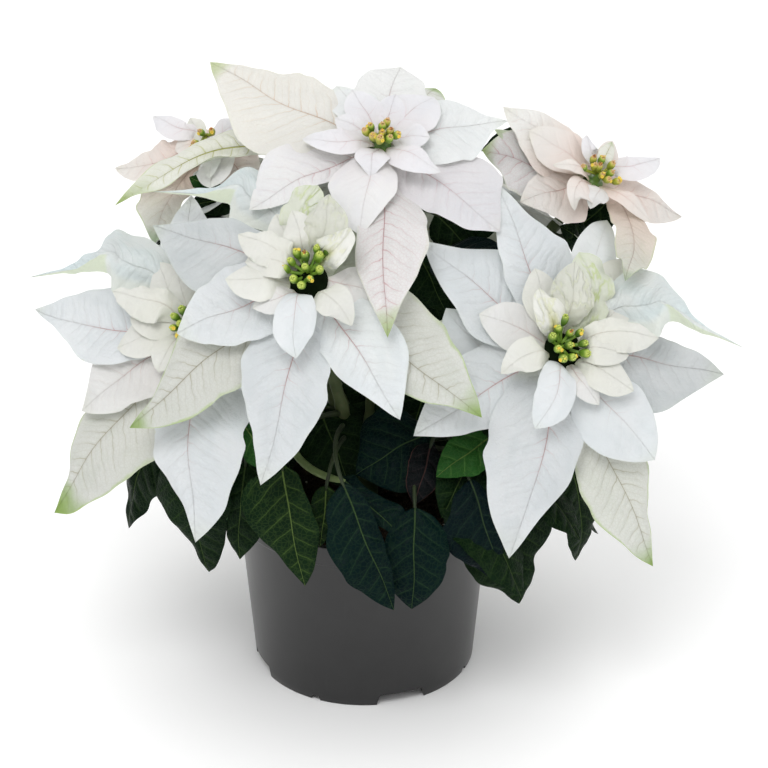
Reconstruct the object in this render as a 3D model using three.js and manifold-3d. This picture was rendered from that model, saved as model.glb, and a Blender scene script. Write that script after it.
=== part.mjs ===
// A potted poinsettia: eight flower heads of pale bracts over dark foliage,
// one branching woody stem, its compost and a round moulded nursery pot.
// Millimetres, +Z up. The origin is the centre of the pot's base, on the
// surface that the pot stands on; -Y is the side that the fullest heads face.
import * as THREE from 'three';
import { mergeVertices } from 'three/addons/utils/BufferGeometryUtils.js';
import Module from 'manifold-3d';

// ---- driving dimensions (mm)
const POT_R_BASE = 70.4;      // outer radius where the wall meets the bench
const POT_R_WALL = 79.4;      // outer radius of the wall just under the rim
const POT_R_RIM = 82.5;       // outer radius of the rim band (165 mm pot)
const POT_H = 120;            // height to the top of the rim
const POT_RIM_H = 14;         // height of the rim band
const POT_WALL = 1.9;         // wall thickness
const POT_FLOOR_Z = 8;        // underside of the raised floor ring
const POT_SEAT_R = 22;        // flat centre of the base, which touches the bench
const SLOT_H = 7.4;           // height of the four wide foot slots
const SLOT_DEG = 25;          // their width round the base
const SLOT_AT = [-70.5, 19.5, 109.5, 199.5];
const NICK_H = 3;             // height of the four small foot notches
const NICK_DEG = 5;
const NICK_AT = [-25.5, 64.5, 154.5, 244.5];
const DRAIN_R = 5;            // floor drain holes
const DRAIN_PCD = 108;
const COMPOST_Z = 108;        // level of the compost at the wall
const STEM_R = 7.5;           // main stem
const BRANCH_R = 3.7;         // branches
const PETIOLE_R = 1.5;        // leaf stalks
const BRACT_T = 1.2;          // thickness given to bracts
const LEAF_T = 1.3;           // thickness given to leaves
const GAP = 0.35;             // clearance between neighbouring pieces
const POT_SEGS = 28;          // facets round the pot
const HUB_R = 7;                // radius of the stem tip that carries the bracts

// stations along a blade at which its half widths are given
const US = [0.08, 0.22, 0.38, 0.54, 0.70, 0.84, 0.94];

// flower heads: letter, centre of the flower cups, axis of the head
const HEADS = [
  ['A',[10.2,18.0,349.1],[0.000,-0.469,0.883]],
  ['B',[147.8,62.0,307.8],[0.412,-0.458,0.788]],
  ['C',[-100.4,82.0,326.0],[-0.416,-0.374,0.829]],
  ['D',[-31.5,-72.0,297.5],[-0.144,-0.679,0.719]],
  ['E',[116.8,-62.0,247.2],[0.254,-0.698,0.669]],
  ['F',[-104.2,-40.0,251.8],[-0.338,-0.635,0.695]],
  ['G',[72.0,138.0,269.0],[0.294,0.630,0.719]],
  ['H',[-62.0,140.0,275.0],[-0.251,0.620,0.743]]
];

// branches: head, then the four control points of each one
const STEMS = [
  ['A',[0.7,1.9,150.0],[9.8,28.4,180.0],[10.2,52.2,284.9],[10.2,29.6,327.2]],
  ['B',[1.8,0.9,141.0],[26.5,14.1,171.0],[117.8,95.3,250.4],[137.6,73.3,288.3]],
  ['C',[-1.4,1.4,144.0],[-21.1,21.4,174.0],[-70.1,109.2,265.7],[-90.1,91.3,305.5]],
  ['D',[-0.9,-1.8,134.0],[-13.5,-26.8,164.0],[-21.0,-22.5,245.1],[-27.9,-55.1,279.7]],
  ['E',[1.9,-0.7,128.0],[27.8,-11.2,158.0],[98.3,-11.2,198.4],[110.5,-44.7,230.6]],
  ['F',[-1.9,-0.5,130.0],[-29.1,-7.4,160.0],[-79.6,6.2,201.2],[-95.8,-24.2,234.6]],
  ['G',[0.9,1.8,137.0],[14.0,26.5,167.0],[50.6,92.2,216.6],[64.7,122.4,251.2]],
  ['H',[-0.8,1.8,139.0],[-12.3,27.4,169.0],[-43.8,94.8,220.9],[-55.8,124.6,256.6]]
];

// bracts: name, layer (o2 lowest, o outer, m middle, i2 inner), base, tip, upper-side normal, arch, bend,
// tip curl and ruffle as shares of the length, tone, midrib share, half widths to the left and to the right
const BRACTS = [
  ['E1','o',[109.4,-51.1,241.2],[33.9,-21.0,295.8],[0.226,-0.688,0.690],0.050,0.020,0.000,0.000,'white',0.55,[12.4,21.0,25.2,20.8,17.2,8.3,2.8],[16.0,28.0,34.6,31.3,20.7,10.9,4.6]],
  ['E2','o',[111.7,-49.5,242.0],[79.9,6.5,320.6],[0.271,-0.729,0.629],0.060,0.000,0.000,0.000,'white',0.60,[8.7,14.1,16.2,15.4,11.7,6.7,2.8],[14.8,25.5,31.0,30.1,20.2,9.2,3.9]],
  ['E3','m',[117.0,-53.0,245.1],[151.3,52.1,278.4],[0.390,-0.391,0.833],0.100,0.000,0.000,0.000,'cream',0.30,[6.3,11.3,14.0,14.4,12.6,9.0,4.7],[6.3,11.3,14.0,14.4,12.6,9.0,4.7]],
  ['E12','o',[112.5,-56.3,234.6],[85.5,-122.0,137.2],[0.211,-0.836,0.506],0.070,0.030,0.000,0.000,'white',0.65,[11.2,18.5,21.9,21.1,13.6,6.5,2.8],[17.8,29.4,34.3,33.9,27.1,17.6,7.6]],
  ['E13','o2',[114.0,-50.1,230.7],[174.3,-86.8,111.0],[0.393,-0.805,0.444],0.060,0.000,0.000,0.000,'green',0.90,[13.1,21.8,25.7,25.1,15.8,7.6,3.2],[11.9,12.8,15.4,26.2,23.9,15.0,6.3]],
  ['E14','m',[118.6,-58.4,238.9],[173.3,-75.8,177.6],[0.376,-0.747,0.548],0.080,0.000,0.000,0.000,'white',0.60,[9.6,17.5,22.0,22.9,19.4,12.7,6.5],[10.7,19.2,23.8,24.4,21.3,15.1,7.9]],
  ['E15','o',[118.4,-51.7,237.2],[219.0,-22.9,208.2],[0.376,-0.670,0.640],0.060,0.000,0.000,0.000,'white',0.55,[11.1,17.1,18.4,17.3,15.8,9.2,3.9],[14.5,25.0,30.7,30.9,21.4,10.9,4.6]],
  ['E10','o',[109.1,-55.3,236.9],[29.8,-87.7,199.8],[0.052,-0.805,0.591],0.060,0.000,0.000,0.000,'white',0.60,[11.5,18.3,20.6,19.6,15.4,9.5,4.0],[13.0,20.9,25.1,25.7,20.1,12.4,5.2]],
  ['E20','o2',[115.9,-46.7,233.6],[236.0,17.7,207.3],[0.467,-0.608,0.643],0.160,0.100,0.060,0.000,'grey',0.30,[8.6,15.1,18.9,12.5,6.3,3.9,1.6],[4.3,6.2,6.2,6.1,6.3,4.7,2.1]],
  ['E8','m',[110.1,-56.4,244.2],[68.2,-54.2,262.9],[0.261,-0.699,0.666],0.050,0.000,0.000,0.000,'pinkish',0.60,[6.4,11.5,14.2,14.6,12.7,9.1,4.8],[6.4,11.5,14.2,14.6,12.7,9.1,4.8]],
  ['E11','i2',[114.4,-63.1,241.6],[100.5,-99.4,211.1],[0.263,-0.677,0.687],0.090,0.000,0.000,0.000,'white',0.50,[5.7,10.2,12.6,12.9,11.3,8.1,4.2],[5.7,10.2,12.6,12.9,11.3,8.1,4.2]],
  ['E17','m',[119.4,-57.5,239.6],[160.2,-64.2,216.2],[0.264,-0.700,0.664],0.080,0.000,0.000,0.000,'cream',0.40,[6.2,11.1,13.8,14.1,12.3,8.8,4.6],[6.2,11.1,13.8,14.1,12.3,8.8,4.6]],
  ['E19','m',[119.8,-55.1,241.9],[175.2,-37.7,240.9],[0.233,-0.705,0.670],0.100,0.000,0.000,0.090,'cream',0.30,[5.8,10.5,12.9,13.3,11.6,8.3,4.3],[5.8,10.5,12.9,13.3,11.6,8.3,4.3]],
  ['E4','m',[115.3,-53.0,245.7],[118.3,-5.1,280.6],[0.265,-0.578,0.771],0.100,0.000,0.000,0.120,'palegreen',0.20,[7.5,13.4,16.6,17.1,14.9,10.6,5.6],[7.5,13.4,16.6,17.1,14.9,10.6,5.6]],
  ['E6','i2',[114.7,-56.4,248.5],[108.0,-39.4,273.6],[0.278,-0.759,0.588],0.100,0.000,0.000,0.000,'palegreen',0.30,[4.4,7.9,9.8,10.0,8.8,6.3,3.3],[4.4,7.9,9.8,10.0,8.8,6.3,3.3]],
  ['E9','i2',[111.7,-62.0,243.7],[80.5,-80.1,236.1],[0.246,-0.703,0.667],0.100,0.000,0.000,0.000,'cream',0.30,[3.6,6.4,7.9,8.1,7.1,5.1,2.7],[3.6,6.4,7.9,8.1,7.1,5.1,2.7]],
  ['E5','i2',[116.7,-55.9,248.2],[125.8,-24.0,285.5],[0.237,-0.766,0.598],0.080,0.000,0.000,0.000,'cream',0.30,[6.3,11.4,14.1,14.4,12.6,9.0,4.7],[6.3,11.4,14.1,14.4,12.6,9.0,4.7]],
  ['E16','i2',[120.6,-59.2,243.2],[155.4,-61.5,236.5],[0.093,-0.698,0.711],0.100,0.000,0.000,0.000,'cream',0.30,[4.4,7.9,9.7,10.0,8.7,6.2,3.3],[4.4,7.9,9.7,10.0,8.7,6.2,3.3]],
  ['E18','i2',[118.4,-62.0,241.2],[137.4,-82.0,217.9],[0.208,-0.651,0.730],0.080,0.000,0.000,0.000,'pinkish',0.30,[3.4,6.1,7.5,7.7,6.7,4.8,2.5],[3.4,6.1,7.5,7.7,6.7,4.8,2.5]],
  ['E21','m',[118.2,-53.4,244.2],[172.0,33.0,261.0],[0.462,-0.437,0.772],0.100,0.000,0.000,0.000,'cream',0.30,[5.7,10.3,12.7,13.0,11.4,8.1,4.3],[5.7,10.3,12.7,13.0,11.4,8.1,4.3]],
  ['D1','o',[-26.9,-66.3,285.0],[21.8,-110.2,221.9],[-0.012,-0.825,0.565],0.070,0.000,0.000,0.000,'white',0.55,[14.3,20.3,23.1,26.6,21.6,13.5,5.8],[10.3,16.5,18.6,18.3,13.1,6.6,2.8]],
  ['D3','o',[-31.0,-66.3,284.2],[-58.3,-122.8,186.2],[-0.207,-0.821,0.531],0.070,0.030,0.000,0.000,'white',0.60,[12.5,17.0,23.7,25.9,18.8,11.7,4.9],[15.2,24.8,28.8,27.2,17.9,11.2,4.8]],
  ['D7','o',[-34.4,-63.5,286.1],[-107.6,-71.9,258.5],[-0.188,-0.685,0.704],0.060,0.000,0.000,0.000,'white',0.60,[14.3,21.8,23.2,21.2,18.2,13.0,6.4],[14.8,23.8,27.1,25.9,20.6,12.7,5.3]],
  ['D8','o',[-34.2,-60.8,288.8],[-124.9,-12.5,301.6],[-0.235,-0.635,0.736],0.060,0.000,0.000,0.000,'white',0.50,[13.5,24.1,30.3,31.2,24.9,12.4,5.1],[8.9,14.7,17.1,16.5,12.7,5.9,2.1]],
  ['D20','o2',[-32.3,-59.7,281.1],[-137.1,-78.3,200.3],[-0.331,-0.730,0.598],0.050,0.000,0.000,0.000,'green',0.90,[16.0,24.5,26.3,25.2,21.5,14.8,6.3],[10.5,18.9,23.9,24.8,15.5,5.5,2.4]],
  ['D17','o2',[-25.2,-60.8,281.6],[68.7,-108.2,222.4],[0.010,-0.772,0.635],0.060,0.000,0.000,0.000,'green',0.90,[15.3,26.4,32.1,31.1,24.5,14.2,5.9],[10.0,16.3,18.9,18.1,14.5,7.6,3.0]],
  ['D10','o2',[-32.1,-56.1,284.6],[-129.4,32.1,305.7],[-0.322,-0.541,0.777],0.160,-0.100,0.060,0.000,'grey',0.30,[3.3,5.1,5.3,5.2,5.4,3.4,1.4],[8.1,14.7,18.8,12.2,4.7,2.9,1.2]],
  ['D2','i2',[-31.5,-73.1,291.4],[-37.1,-109.9,260.2],[-0.137,-0.630,0.764],0.090,0.000,0.000,0.000,'white',0.50,[5.8,10.4,12.9,13.2,11.6,8.3,4.3],[5.8,10.4,12.9,13.2,11.6,8.3,4.3]],
  ['D4','m',[-35.5,-66.3,291.6],[-80.6,-60.8,286.9],[-0.157,-0.678,0.718],0.080,0.000,0.000,0.000,'cream',0.30,[6.2,11.2,13.9,14.2,12.4,8.9,4.6],[6.2,11.2,13.9,14.2,12.4,8.9,4.6]],
  ['D9','m',[-34.6,-64.3,293.6],[-78.0,-35.0,306.8],[-0.206,-0.640,0.740],0.100,0.000,0.000,0.100,'cream',0.30,[7.2,13.0,16.1,16.5,14.4,10.3,5.4],[7.2,13.0,16.1,16.5,14.4,10.3,5.4]],
  ['D11','m',[-29.2,-63.3,295.6],[-16.6,-26.0,327.7],[-0.125,-0.622,0.773],0.060,0.000,0.000,0.000,'cream',0.30,[7.5,13.5,16.7,17.2,15.0,10.7,5.6],[7.5,13.5,16.7,17.2,15.0,10.7,5.6]],
  ['D13','m',[-31.2,-63.0,295.5],[-37.0,-13.3,318.2],[-0.185,-0.426,0.886],0.100,0.000,0.000,0.100,'palegreen',0.20,[6.1,10.9,13.5,13.9,12.1,8.7,4.5],[6.1,10.9,13.5,13.9,12.1,8.7,4.5]],
  ['D15','m',[-25.4,-68.2,291.8],[12.6,-68.6,280.3],[0.191,-0.726,0.660],0.080,0.000,0.000,0.000,'pinkish',0.40,[5.3,9.5,11.8,12.1,10.6,7.5,3.9],[7.1,13.2,16.9,17.9,16.1,11.8,6.3]],
  ['D6','i2',[-35.2,-71.0,292.7],[-63.6,-80.1,277.9],[-0.154,-0.683,0.714],0.080,0.000,0.000,0.000,'pinkish',0.40,[3.8,6.9,8.5,8.7,7.6,5.5,2.9],[3.8,6.9,8.5,8.7,7.6,5.5,2.9]],
  ['D5','i2',[-35.6,-67.8,295.6],[-68.7,-58.0,302.7],[-0.058,-0.708,0.704],0.080,0.000,0.000,0.000,'cream',0.30,[4.2,7.5,9.3,9.6,8.4,6.0,3.1],[4.2,7.5,9.3,9.6,8.4,6.0,3.1]],
  ['D14','i2',[-27.5,-67.3,297.7],[-6.9,-57.1,318.5],[-0.256,-0.743,0.618],0.100,0.000,0.000,0.060,'palegreen',0.30,[5.4,9.7,12.0,12.3,10.8,7.7,4.0],[5.4,9.7,12.0,12.3,10.8,7.7,4.0]],
  ['D16','i2',[-28.0,-72.8,292.5],[-5.5,-102.3,277.5],[-0.232,-0.575,0.785],0.120,0.000,0.000,0.000,'cream',0.30,[4.7,8.5,10.5,10.8,9.4,6.7,3.5],[4.7,8.5,10.5,10.8,9.4,6.7,3.5]],
  ['D12','i2',[-31.9,-65.9,298.2],[-37.1,-46.2,317.7],[-0.135,-0.716,0.685],0.060,0.000,0.000,0.000,'cream',0.30,[3.5,6.3,7.8,8.0,7.0,5.0,2.6],[3.5,6.3,7.8,8.0,7.0,5.0,2.6]],
  ['F1','o',[-104.3,-29.2,242.2],[-204.0,24.9,230.0],[-0.409,-0.599,0.688],0.050,0.080,0.000,0.000,'white',0.50,[9.8,17.4,21.7,22.3,12.0,4.5,1.9],[13.5,22.7,27.0,27.3,22.6,14.1,5.9]],
  ['F2','o',[-104.0,-32.0,239.8],[-170.7,-34.3,189.1],[-0.449,-0.645,0.619],0.060,0.000,0.000,0.000,'pinkish',0.60,[14.2,22.1,24.1,21.7,18.9,12.6,5.5],[15.7,26.1,30.7,29.9,24.3,16.2,6.9]],
  ['F8','o2',[-100.5,-28.7,235.2],[-188.7,-52.6,128.7],[-0.478,-0.685,0.550],0.060,0.000,0.000,0.000,'green',0.90,[17.7,29.2,34.1,33.1,28.2,19.5,10.5],[12.6,21.5,25.9,25.9,19.2,7.0,2.2]],
  ['F9','o',[-100.0,-35.1,238.8],[-99.0,-100.1,135.2],[-0.347,-0.796,0.495],0.060,0.000,0.000,0.000,'white',0.60,[18.3,31.0,37.1,36.4,28.1,20.1,8.8],[10.7,18.8,23.2,23.6,15.2,6.6,2.1]],
  ['F6','o2',[-101.1,-24.9,238.3],[-215.6,71.0,231.0],[-0.486,-0.527,0.698],0.160,-0.100,0.060,0.000,'grey',0.30,[3.3,5.1,5.4,6.3,3.8,2.3,1.0],[5.4,9.3,11.2,7.6,5.3,3.2,1.4]],
  ['F10','o',[-100.2,-27.5,245.8],[-106.5,48.7,296.5],[-0.349,-0.540,0.766],0.060,0.000,0.000,0.000,'white',0.50,[12.7,20.4,23.0,21.5,16.9,10.4,4.4],[10.5,16.8,18.9,17.7,13.9,8.5,3.6]],
  ['F12','m',[-98.2,-38.8,244.9],[-59.4,-64.8,217.1],[-0.135,-0.810,0.571],0.060,0.000,0.000,0.000,'white',0.50,[8.7,15.7,19.4,19.9,17.4,12.4,6.5],[8.7,15.7,19.4,19.9,17.4,12.4,6.5]],
  ['F3','m',[-106.4,-34.6,244.7],[-147.7,-30.2,229.4],[-0.326,-0.636,0.699],0.080,0.000,0.000,0.000,'cream',0.30,[5.8,10.4,12.8,13.2,11.5,8.2,4.3],[5.8,10.4,12.8,13.2,11.5,8.2,4.3]],
  ['F5','m',[-105.7,-32.1,247.4],[-146.7,1.7,253.3],[-0.389,-0.595,0.704],0.100,0.000,0.000,0.100,'cream',0.30,[6.8,12.3,15.2,15.5,13.6,9.7,5.1],[6.8,12.3,15.2,15.5,13.6,9.7,5.1]],
  ['F7','m',[-102.7,-31.2,249.7],[-111.5,14.7,277.4],[-0.361,-0.533,0.765],0.080,0.000,0.000,0.000,'cream',0.30,[6.0,10.8,13.3,13.6,11.9,8.5,4.5],[6.0,10.8,13.3,13.6,11.9,8.5,4.5]],
  ['F4','i2',[-107.6,-35.9,248.8],[-139.5,-25.5,247.1],[-0.251,-0.666,0.702],0.080,0.000,0.000,0.000,'cream',0.30,[5.2,9.3,11.5,11.8,10.3,7.3,3.8],[5.2,9.3,11.5,11.8,10.3,7.3,3.8]],
  ['F13','i2',[-103.9,-33.9,252.4],[-110.7,-13.7,272.0],[-0.314,-0.714,0.626],0.080,0.000,0.000,0.000,'cream',0.30,[4.1,7.3,9.0,9.3,8.1,5.8,3.0],[4.1,7.3,9.0,9.3,8.1,5.8,3.0]],
  ['F14','i2',[-105.5,-40.2,245.8],[-121.1,-55.9,225.9],[-0.313,-0.610,0.728],0.080,0.000,0.000,0.000,'cream',0.30,[5.2,9.3,11.5,11.8,10.3,7.3,3.8],[5.2,9.3,11.5,11.8,10.3,7.3,3.8]],
  ['F15','i2',[-99.1,-40.8,248.4],[-82.7,-55.2,245.2],[-0.387,-0.594,0.705],0.080,0.000,0.000,0.000,'cream',0.30,[4.4,7.9,9.7,10.0,8.7,6.2,3.3],[4.4,7.9,9.7,10.0,8.7,6.2,3.3]],
  ['A1','o',[5.9,26.9,338.6],[-95.0,88.2,369.0],[-0.013,-0.462,0.887],0.050,0.050,0.000,0.000,'creamo',0.70,[17.3,29.7,36.1,36.2,23.2,13.6,5.7],[14.4,23.1,26.7,27.3,16.9,9.8,4.1]],
  ['A2','o',[5.9,21.8,335.8],[-66.6,-23.7,316.0],[0.036,-0.447,0.894],0.060,0.000,0.000,0.000,'pink',0.60,[7.4,10.7,10.6,9.8,11.2,8.1,3.5],[15.8,25.6,29.3,29.2,24.4,15.0,6.2]],
  ['A4','m',[9.4,17.0,340.0],[-1.9,-42.8,308.2],[-0.000,-0.470,0.883],0.070,0.000,0.000,0.000,'pink',0.55,[6.6,12.4,15.9,15.9,12.2,8.2,4.3],[9.9,18.4,23.6,23.4,19.1,12.5,6.5]],
  ['A7','o',[14.2,21.4,335.7],[81.1,-21.8,301.3],[0.090,-0.531,0.843],0.060,0.000,0.000,0.000,'pink',0.60,[14.0,18.8,20.3,35.1,31.9,20.1,8.5],[11.7,18.8,22.6,19.5,17.7,12.2,5.1]],
  ['A8','o2',[10.3,23.5,329.4],[14.6,-105.5,271.7],[-0.002,-0.408,0.913],0.070,0.000,0.000,0.000,'pinkvein',0.95,[11.8,16.7,24.7,25.9,20.5,9.5,3.4],[9.3,13.8,14.2,16.3,14.3,8.3,3.4]],
  ['A6','m',[14.4,18.8,341.0],[46.4,-2.4,329.7],[-0.000,-0.469,0.883],0.080,0.000,0.000,0.000,'pink',0.40,[6.7,12.1,14.9,15.3,13.4,9.5,5.0],[6.7,12.1,14.9,15.3,13.4,9.5,5.0]],
  ['A11','o',[11.0,28.9,339.6],[23.2,103.4,360.6],[0.033,-0.276,0.961],0.160,0.000,0.000,0.000,'grey',0.30,[13.2,21.1,23.8,22.3,17.5,10.8,4.5],[13.2,21.1,23.8,22.3,17.5,10.8,4.5]],
  ['A12','o',[15.2,25.6,337.9],[87.9,45.3,346.1],[0.026,-0.463,0.886],0.060,0.000,0.000,0.000,'grey',0.50,[12.1,21.3,26.6,23.6,15.5,7.0,2.4],[12.5,21.2,25.5,25.4,21.0,7.2,2.8]],
  ['A13','m',[7.8,25.6,344.6],[-16.8,69.8,359.9],[-0.065,-0.358,0.931],0.080,0.000,0.000,0.000,'grey',0.30,[6.1,10.9,13.5,13.8,12.1,8.6,4.5],[6.1,10.9,13.5,13.8,12.1,8.6,4.5]],
  ['A15','o2',[5.8,27.0,331.2],[-151.1,24.4,299.2],[-0.168,-0.479,0.862],0.050,-0.120,0.000,0.000,'greeno',0.95,[5.4,7.9,7.9,6.5,8.2,6.5,1.2],[10.2,15.9,17.5,16.0,13.7,11.8,5.4]],
  ['A3','m',[5.0,21.6,342.5],[-35.0,22.2,342.8],[0.001,-0.469,0.883],0.080,0.000,0.000,0.000,'pink',0.40,[6.9,12.4,15.4,15.7,13.8,9.8,5.1],[6.9,12.4,15.4,15.7,13.8,9.8,5.1]],
  ['A9','m',[13.8,24.9,344.2],[43.0,52.4,358.9],[-0.001,-0.471,0.882],0.100,0.000,0.000,0.000,'pink',0.40,[7.9,14.2,17.6,18.0,15.8,11.2,5.9],[7.9,14.2,17.6,18.0,15.8,11.2,5.9]],
  ['A5','i2',[9.7,15.3,343.6],[6.7,-11.6,332.7],[0.010,-0.378,0.926],0.080,0.000,0.000,0.000,'pink',0.30,[4.7,8.4,10.3,10.6,9.3,6.6,3.5],[4.7,8.4,10.3,10.6,9.3,6.6,3.5]],
  ['A10','i2',[8.1,23.7,348.1],[-6.8,50.6,364.0],[0.018,-0.502,0.865],0.080,0.000,0.000,0.000,'pink',0.30,[4.9,8.8,10.9,11.2,9.8,7.0,3.6],[4.9,8.8,10.9,11.2,9.8,7.0,3.6]],
  ['A14','i2',[15.2,19.2,345.7],[40.0,15.3,347.0],[-0.116,-0.455,0.883],0.080,0.000,0.000,0.000,'pink',0.30,[4.8,8.6,10.7,11.0,9.6,6.8,3.6],[4.8,8.6,10.7,11.0,9.6,6.8,3.6]],
  ['A16','i2',[5.7,21.6,347.0],[-16.8,30.6,353.4],[0.052,-0.491,0.870],0.080,0.000,0.000,0.000,'pink',0.30,[4.2,7.5,9.3,9.6,8.4,6.0,3.1],[4.2,7.5,9.3,9.6,8.4,6.0,3.1]],
  ['A17','i2',[11.6,23.9,348.2],[19.9,47.7,362.5],[-0.014,-0.511,0.859],0.080,0.000,0.000,0.000,'pink',0.30,[4.0,7.2,8.9,9.1,7.9,5.7,3.0],[4.0,7.2,8.9,9.1,7.9,5.7,3.0]],
  ['B1','o',[138.2,69.7,300.1],[86.9,88.7,339.7],[0.427,-0.463,0.777],0.060,0.000,0.000,0.000,'peach',0.50,[14.2,22.7,25.6,24.0,18.8,11.6,4.9],[14.2,22.7,25.6,24.0,18.8,11.6,4.9]],
  ['B14','o2',[135.6,70.7,293.8],[73.2,63.8,320.3],[0.390,-0.460,0.798],0.050,0.000,0.000,0.000,'pinkvein',0.90,[12.2,20.0,23.3,25.7,23.8,12.8,5.4],[12.8,22.6,28.4,29.3,25.0,16.0,6.7]],
  ['B11','o',[138.2,64.9,297.4],[95.7,32.1,298.6],[0.389,-0.475,0.789],0.060,0.000,0.000,0.000,'peach',0.60,[10.6,18.9,24.0,23.3,16.6,10.2,4.3],[9.4,15.0,16.9,15.9,12.4,7.7,3.2]],
  ['B10','o2',[139.6,67.3,289.8],[155.3,-30.6,273.6],[0.381,-0.091,0.920],0.100,0.080,0.000,0.000,'greenpink',0.90,[9.1,13.8,14.7,13.4,14.7,9.1,3.9],[3.1,5.0,6.5,8.9,9.9,6.1,2.6]],
  ['B7','o',[147.0,68.9,295.1],[201.4,79.2,269.3],[0.450,-0.451,0.771],0.060,0.000,0.000,0.000,'pink',0.50,[5.3,9.4,11.8,10.2,5.4,3.1,1.3],[10.8,17.3,19.5,18.3,14.3,8.8,3.7]],
  ['B6','m',[148.6,68.8,301.7],[189.7,103.6,300.1],[0.415,-0.455,0.788],0.080,0.000,0.000,0.000,'peach',0.40,[5.2,9.3,11.4,11.7,10.3,7.3,3.8],[5.2,9.3,11.4,11.7,10.3,7.3,3.8]],
  ['B2','m',[140.3,66.2,304.5],[102.5,72.0,329.8],[0.443,-0.462,0.768],0.080,0.000,0.000,0.000,'peach',0.40,[7.8,14.1,17.4,17.8,15.6,11.1,5.8],[7.8,14.1,17.4,17.8,15.6,11.1,5.8]],
  ['B8','m',[148.5,63.7,298.8],[176.6,49.9,277.3],[0.392,-0.448,0.803],0.080,0.000,0.000,0.000,'peach',0.40,[7.5,13.6,16.8,17.2,15.0,10.7,5.6],[7.5,13.6,16.8,17.2,15.0,10.7,5.6]],
  ['B12','m',[142.3,61.0,300.5],[127.4,29.4,293.7],[0.449,-0.383,0.807],0.080,0.000,0.000,0.000,'peach',0.40,[4.8,8.7,10.7,11.0,9.6,6.9,3.6],[4.8,8.7,10.7,11.0,9.6,6.9,3.6]],
  ['B16','o',[146.2,71.5,297.0],[177.8,120.0,273.8],[0.707,-0.128,0.695],0.050,0.000,0.000,0.000,'peach',0.40,[8.8,14.1,15.9,14.9,11.7,7.2,3.0],[8.8,14.1,15.9,14.9,11.7,7.2,3.0]],
  ['B17','o',[142.7,72.8,299.6],[127.8,122.0,281.8],[0.319,0.406,0.857],0.050,0.000,0.000,0.000,'peach',0.40,[8.9,14.3,16.1,15.1,11.8,7.3,3.1],[8.9,14.3,16.1,15.1,11.8,7.3,3.1]],
  ['B4','i2',[144.8,67.4,307.9],[138.3,83.9,322.7],[0.430,-0.503,0.749],0.080,0.000,0.000,0.000,'peach',0.30,[3.7,6.6,8.1,8.3,7.3,5.2,2.7],[3.7,6.6,8.1,8.3,7.3,5.2,2.7]],
  ['B5','i2',[147.9,68.1,306.7],[156.6,89.7,316.5],[0.393,-0.507,0.767],0.080,0.000,0.000,0.000,'peach',0.30,[3.0,5.4,6.7,6.9,6.0,4.3,2.3],[3.0,5.4,6.7,6.9,6.0,4.3,2.3]],
  ['B13','i2',[145.7,59.2,302.7],[143.6,32.9,292.9],[0.424,-0.344,0.837],0.080,0.000,0.000,0.000,'peach',0.30,[3.7,6.6,8.2,8.4,7.3,5.2,2.7],[3.7,6.6,8.2,8.4,7.3,5.2,2.7]],
  ['B3','i2',[141.8,61.9,306.3],[112.0,48.5,317.7],[0.483,-0.428,0.764],0.080,0.000,0.000,0.000,'cream',0.30,[4.2,7.5,9.2,9.5,8.3,5.9,3.1],[4.2,7.5,9.2,9.5,8.3,5.9,3.1]],
  ['C4','o',[-99.5,88.5,313.1],[-159.4,106.4,291.9],[-0.407,-0.377,0.832],0.060,0.000,0.000,0.000,'peach',0.50,[10.2,17.9,22.2,22.6,18.5,6.2,1.1],[3.7,6.2,7.3,6.4,4.4,2.6,1.1]],
  ['C7','o2',[-94.5,86.8,307.0],[-130.0,47.1,264.4],[-0.461,-0.425,0.779],0.100,-0.090,0.000,0.000,'greenpink',0.90,[8.3,12.2,12.3,13.3,13.0,8.2,3.5],[13.2,23.2,28.8,29.4,25.5,13.7,5.8]],
  ['C1','m',[-100.7,88.7,319.7],[-134.9,125.7,320.1],[-0.407,-0.384,0.829],0.080,0.000,0.000,0.000,'peach',0.40,[5.2,9.3,11.5,11.8,10.3,7.3,3.8],[5.2,9.3,11.5,11.8,10.3,7.3,3.8]],
  ['C5','o',[-92.2,82.6,314.1],[-57.8,23.2,303.4],[-0.409,-0.386,0.827],0.060,0.000,0.000,0.000,'peach',0.50,[8.2,13.2,14.9,13.9,10.9,6.7,2.8],[8.2,13.2,14.9,13.9,10.9,6.7,2.8]],
  ['C3','m',[-92.7,85.5,322.3],[-75.0,88.5,330.3],[-0.332,-0.361,0.871],0.080,0.000,0.000,0.000,'cream',0.40,[9.4,12.1,10.6,11.1,9.7,6.9,3.6],[5.2,9.4,11.6,11.9,10.4,7.4,3.9]],
  ['C6','m',[-96.5,80.0,317.9],[-92.6,38.7,306.4],[-0.427,-0.280,0.860],0.080,0.000,0.000,0.000,'pink',0.40,[5.6,10.0,12.4,12.7,11.1,7.9,4.1],[5.6,10.0,12.4,12.7,11.1,7.9,4.1]],
  ['C8','o',[-98.1,84.3,311.9],[-123.1,63.9,268.1],[-0.606,-0.531,0.592],0.060,0.000,0.000,0.000,'white',0.50,[7.8,12.5,14.1,13.2,10.4,6.4,2.7],[7.8,12.5,14.1,13.2,10.4,6.4,2.7]],
  ['C9','o',[-98.6,90.5,314.5],[-132.4,138.0,292.0],[-0.652,-0.109,0.750],0.050,0.000,0.000,0.000,'peach',0.40,[8.3,13.3,15.0,14.1,11.0,6.8,2.9],[8.3,13.3,15.0,14.1,11.0,6.8,2.9]],
  ['C10','o',[-96.4,91.8,316.2],[-80.4,132.0,276.0],[-0.446,0.715,0.538],0.050,0.000,0.000,0.000,'peach',0.40,[7.8,12.5,14.1,13.2,10.3,6.4,2.7],[7.8,12.5,14.1,13.2,10.3,6.4,2.7]],
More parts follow.
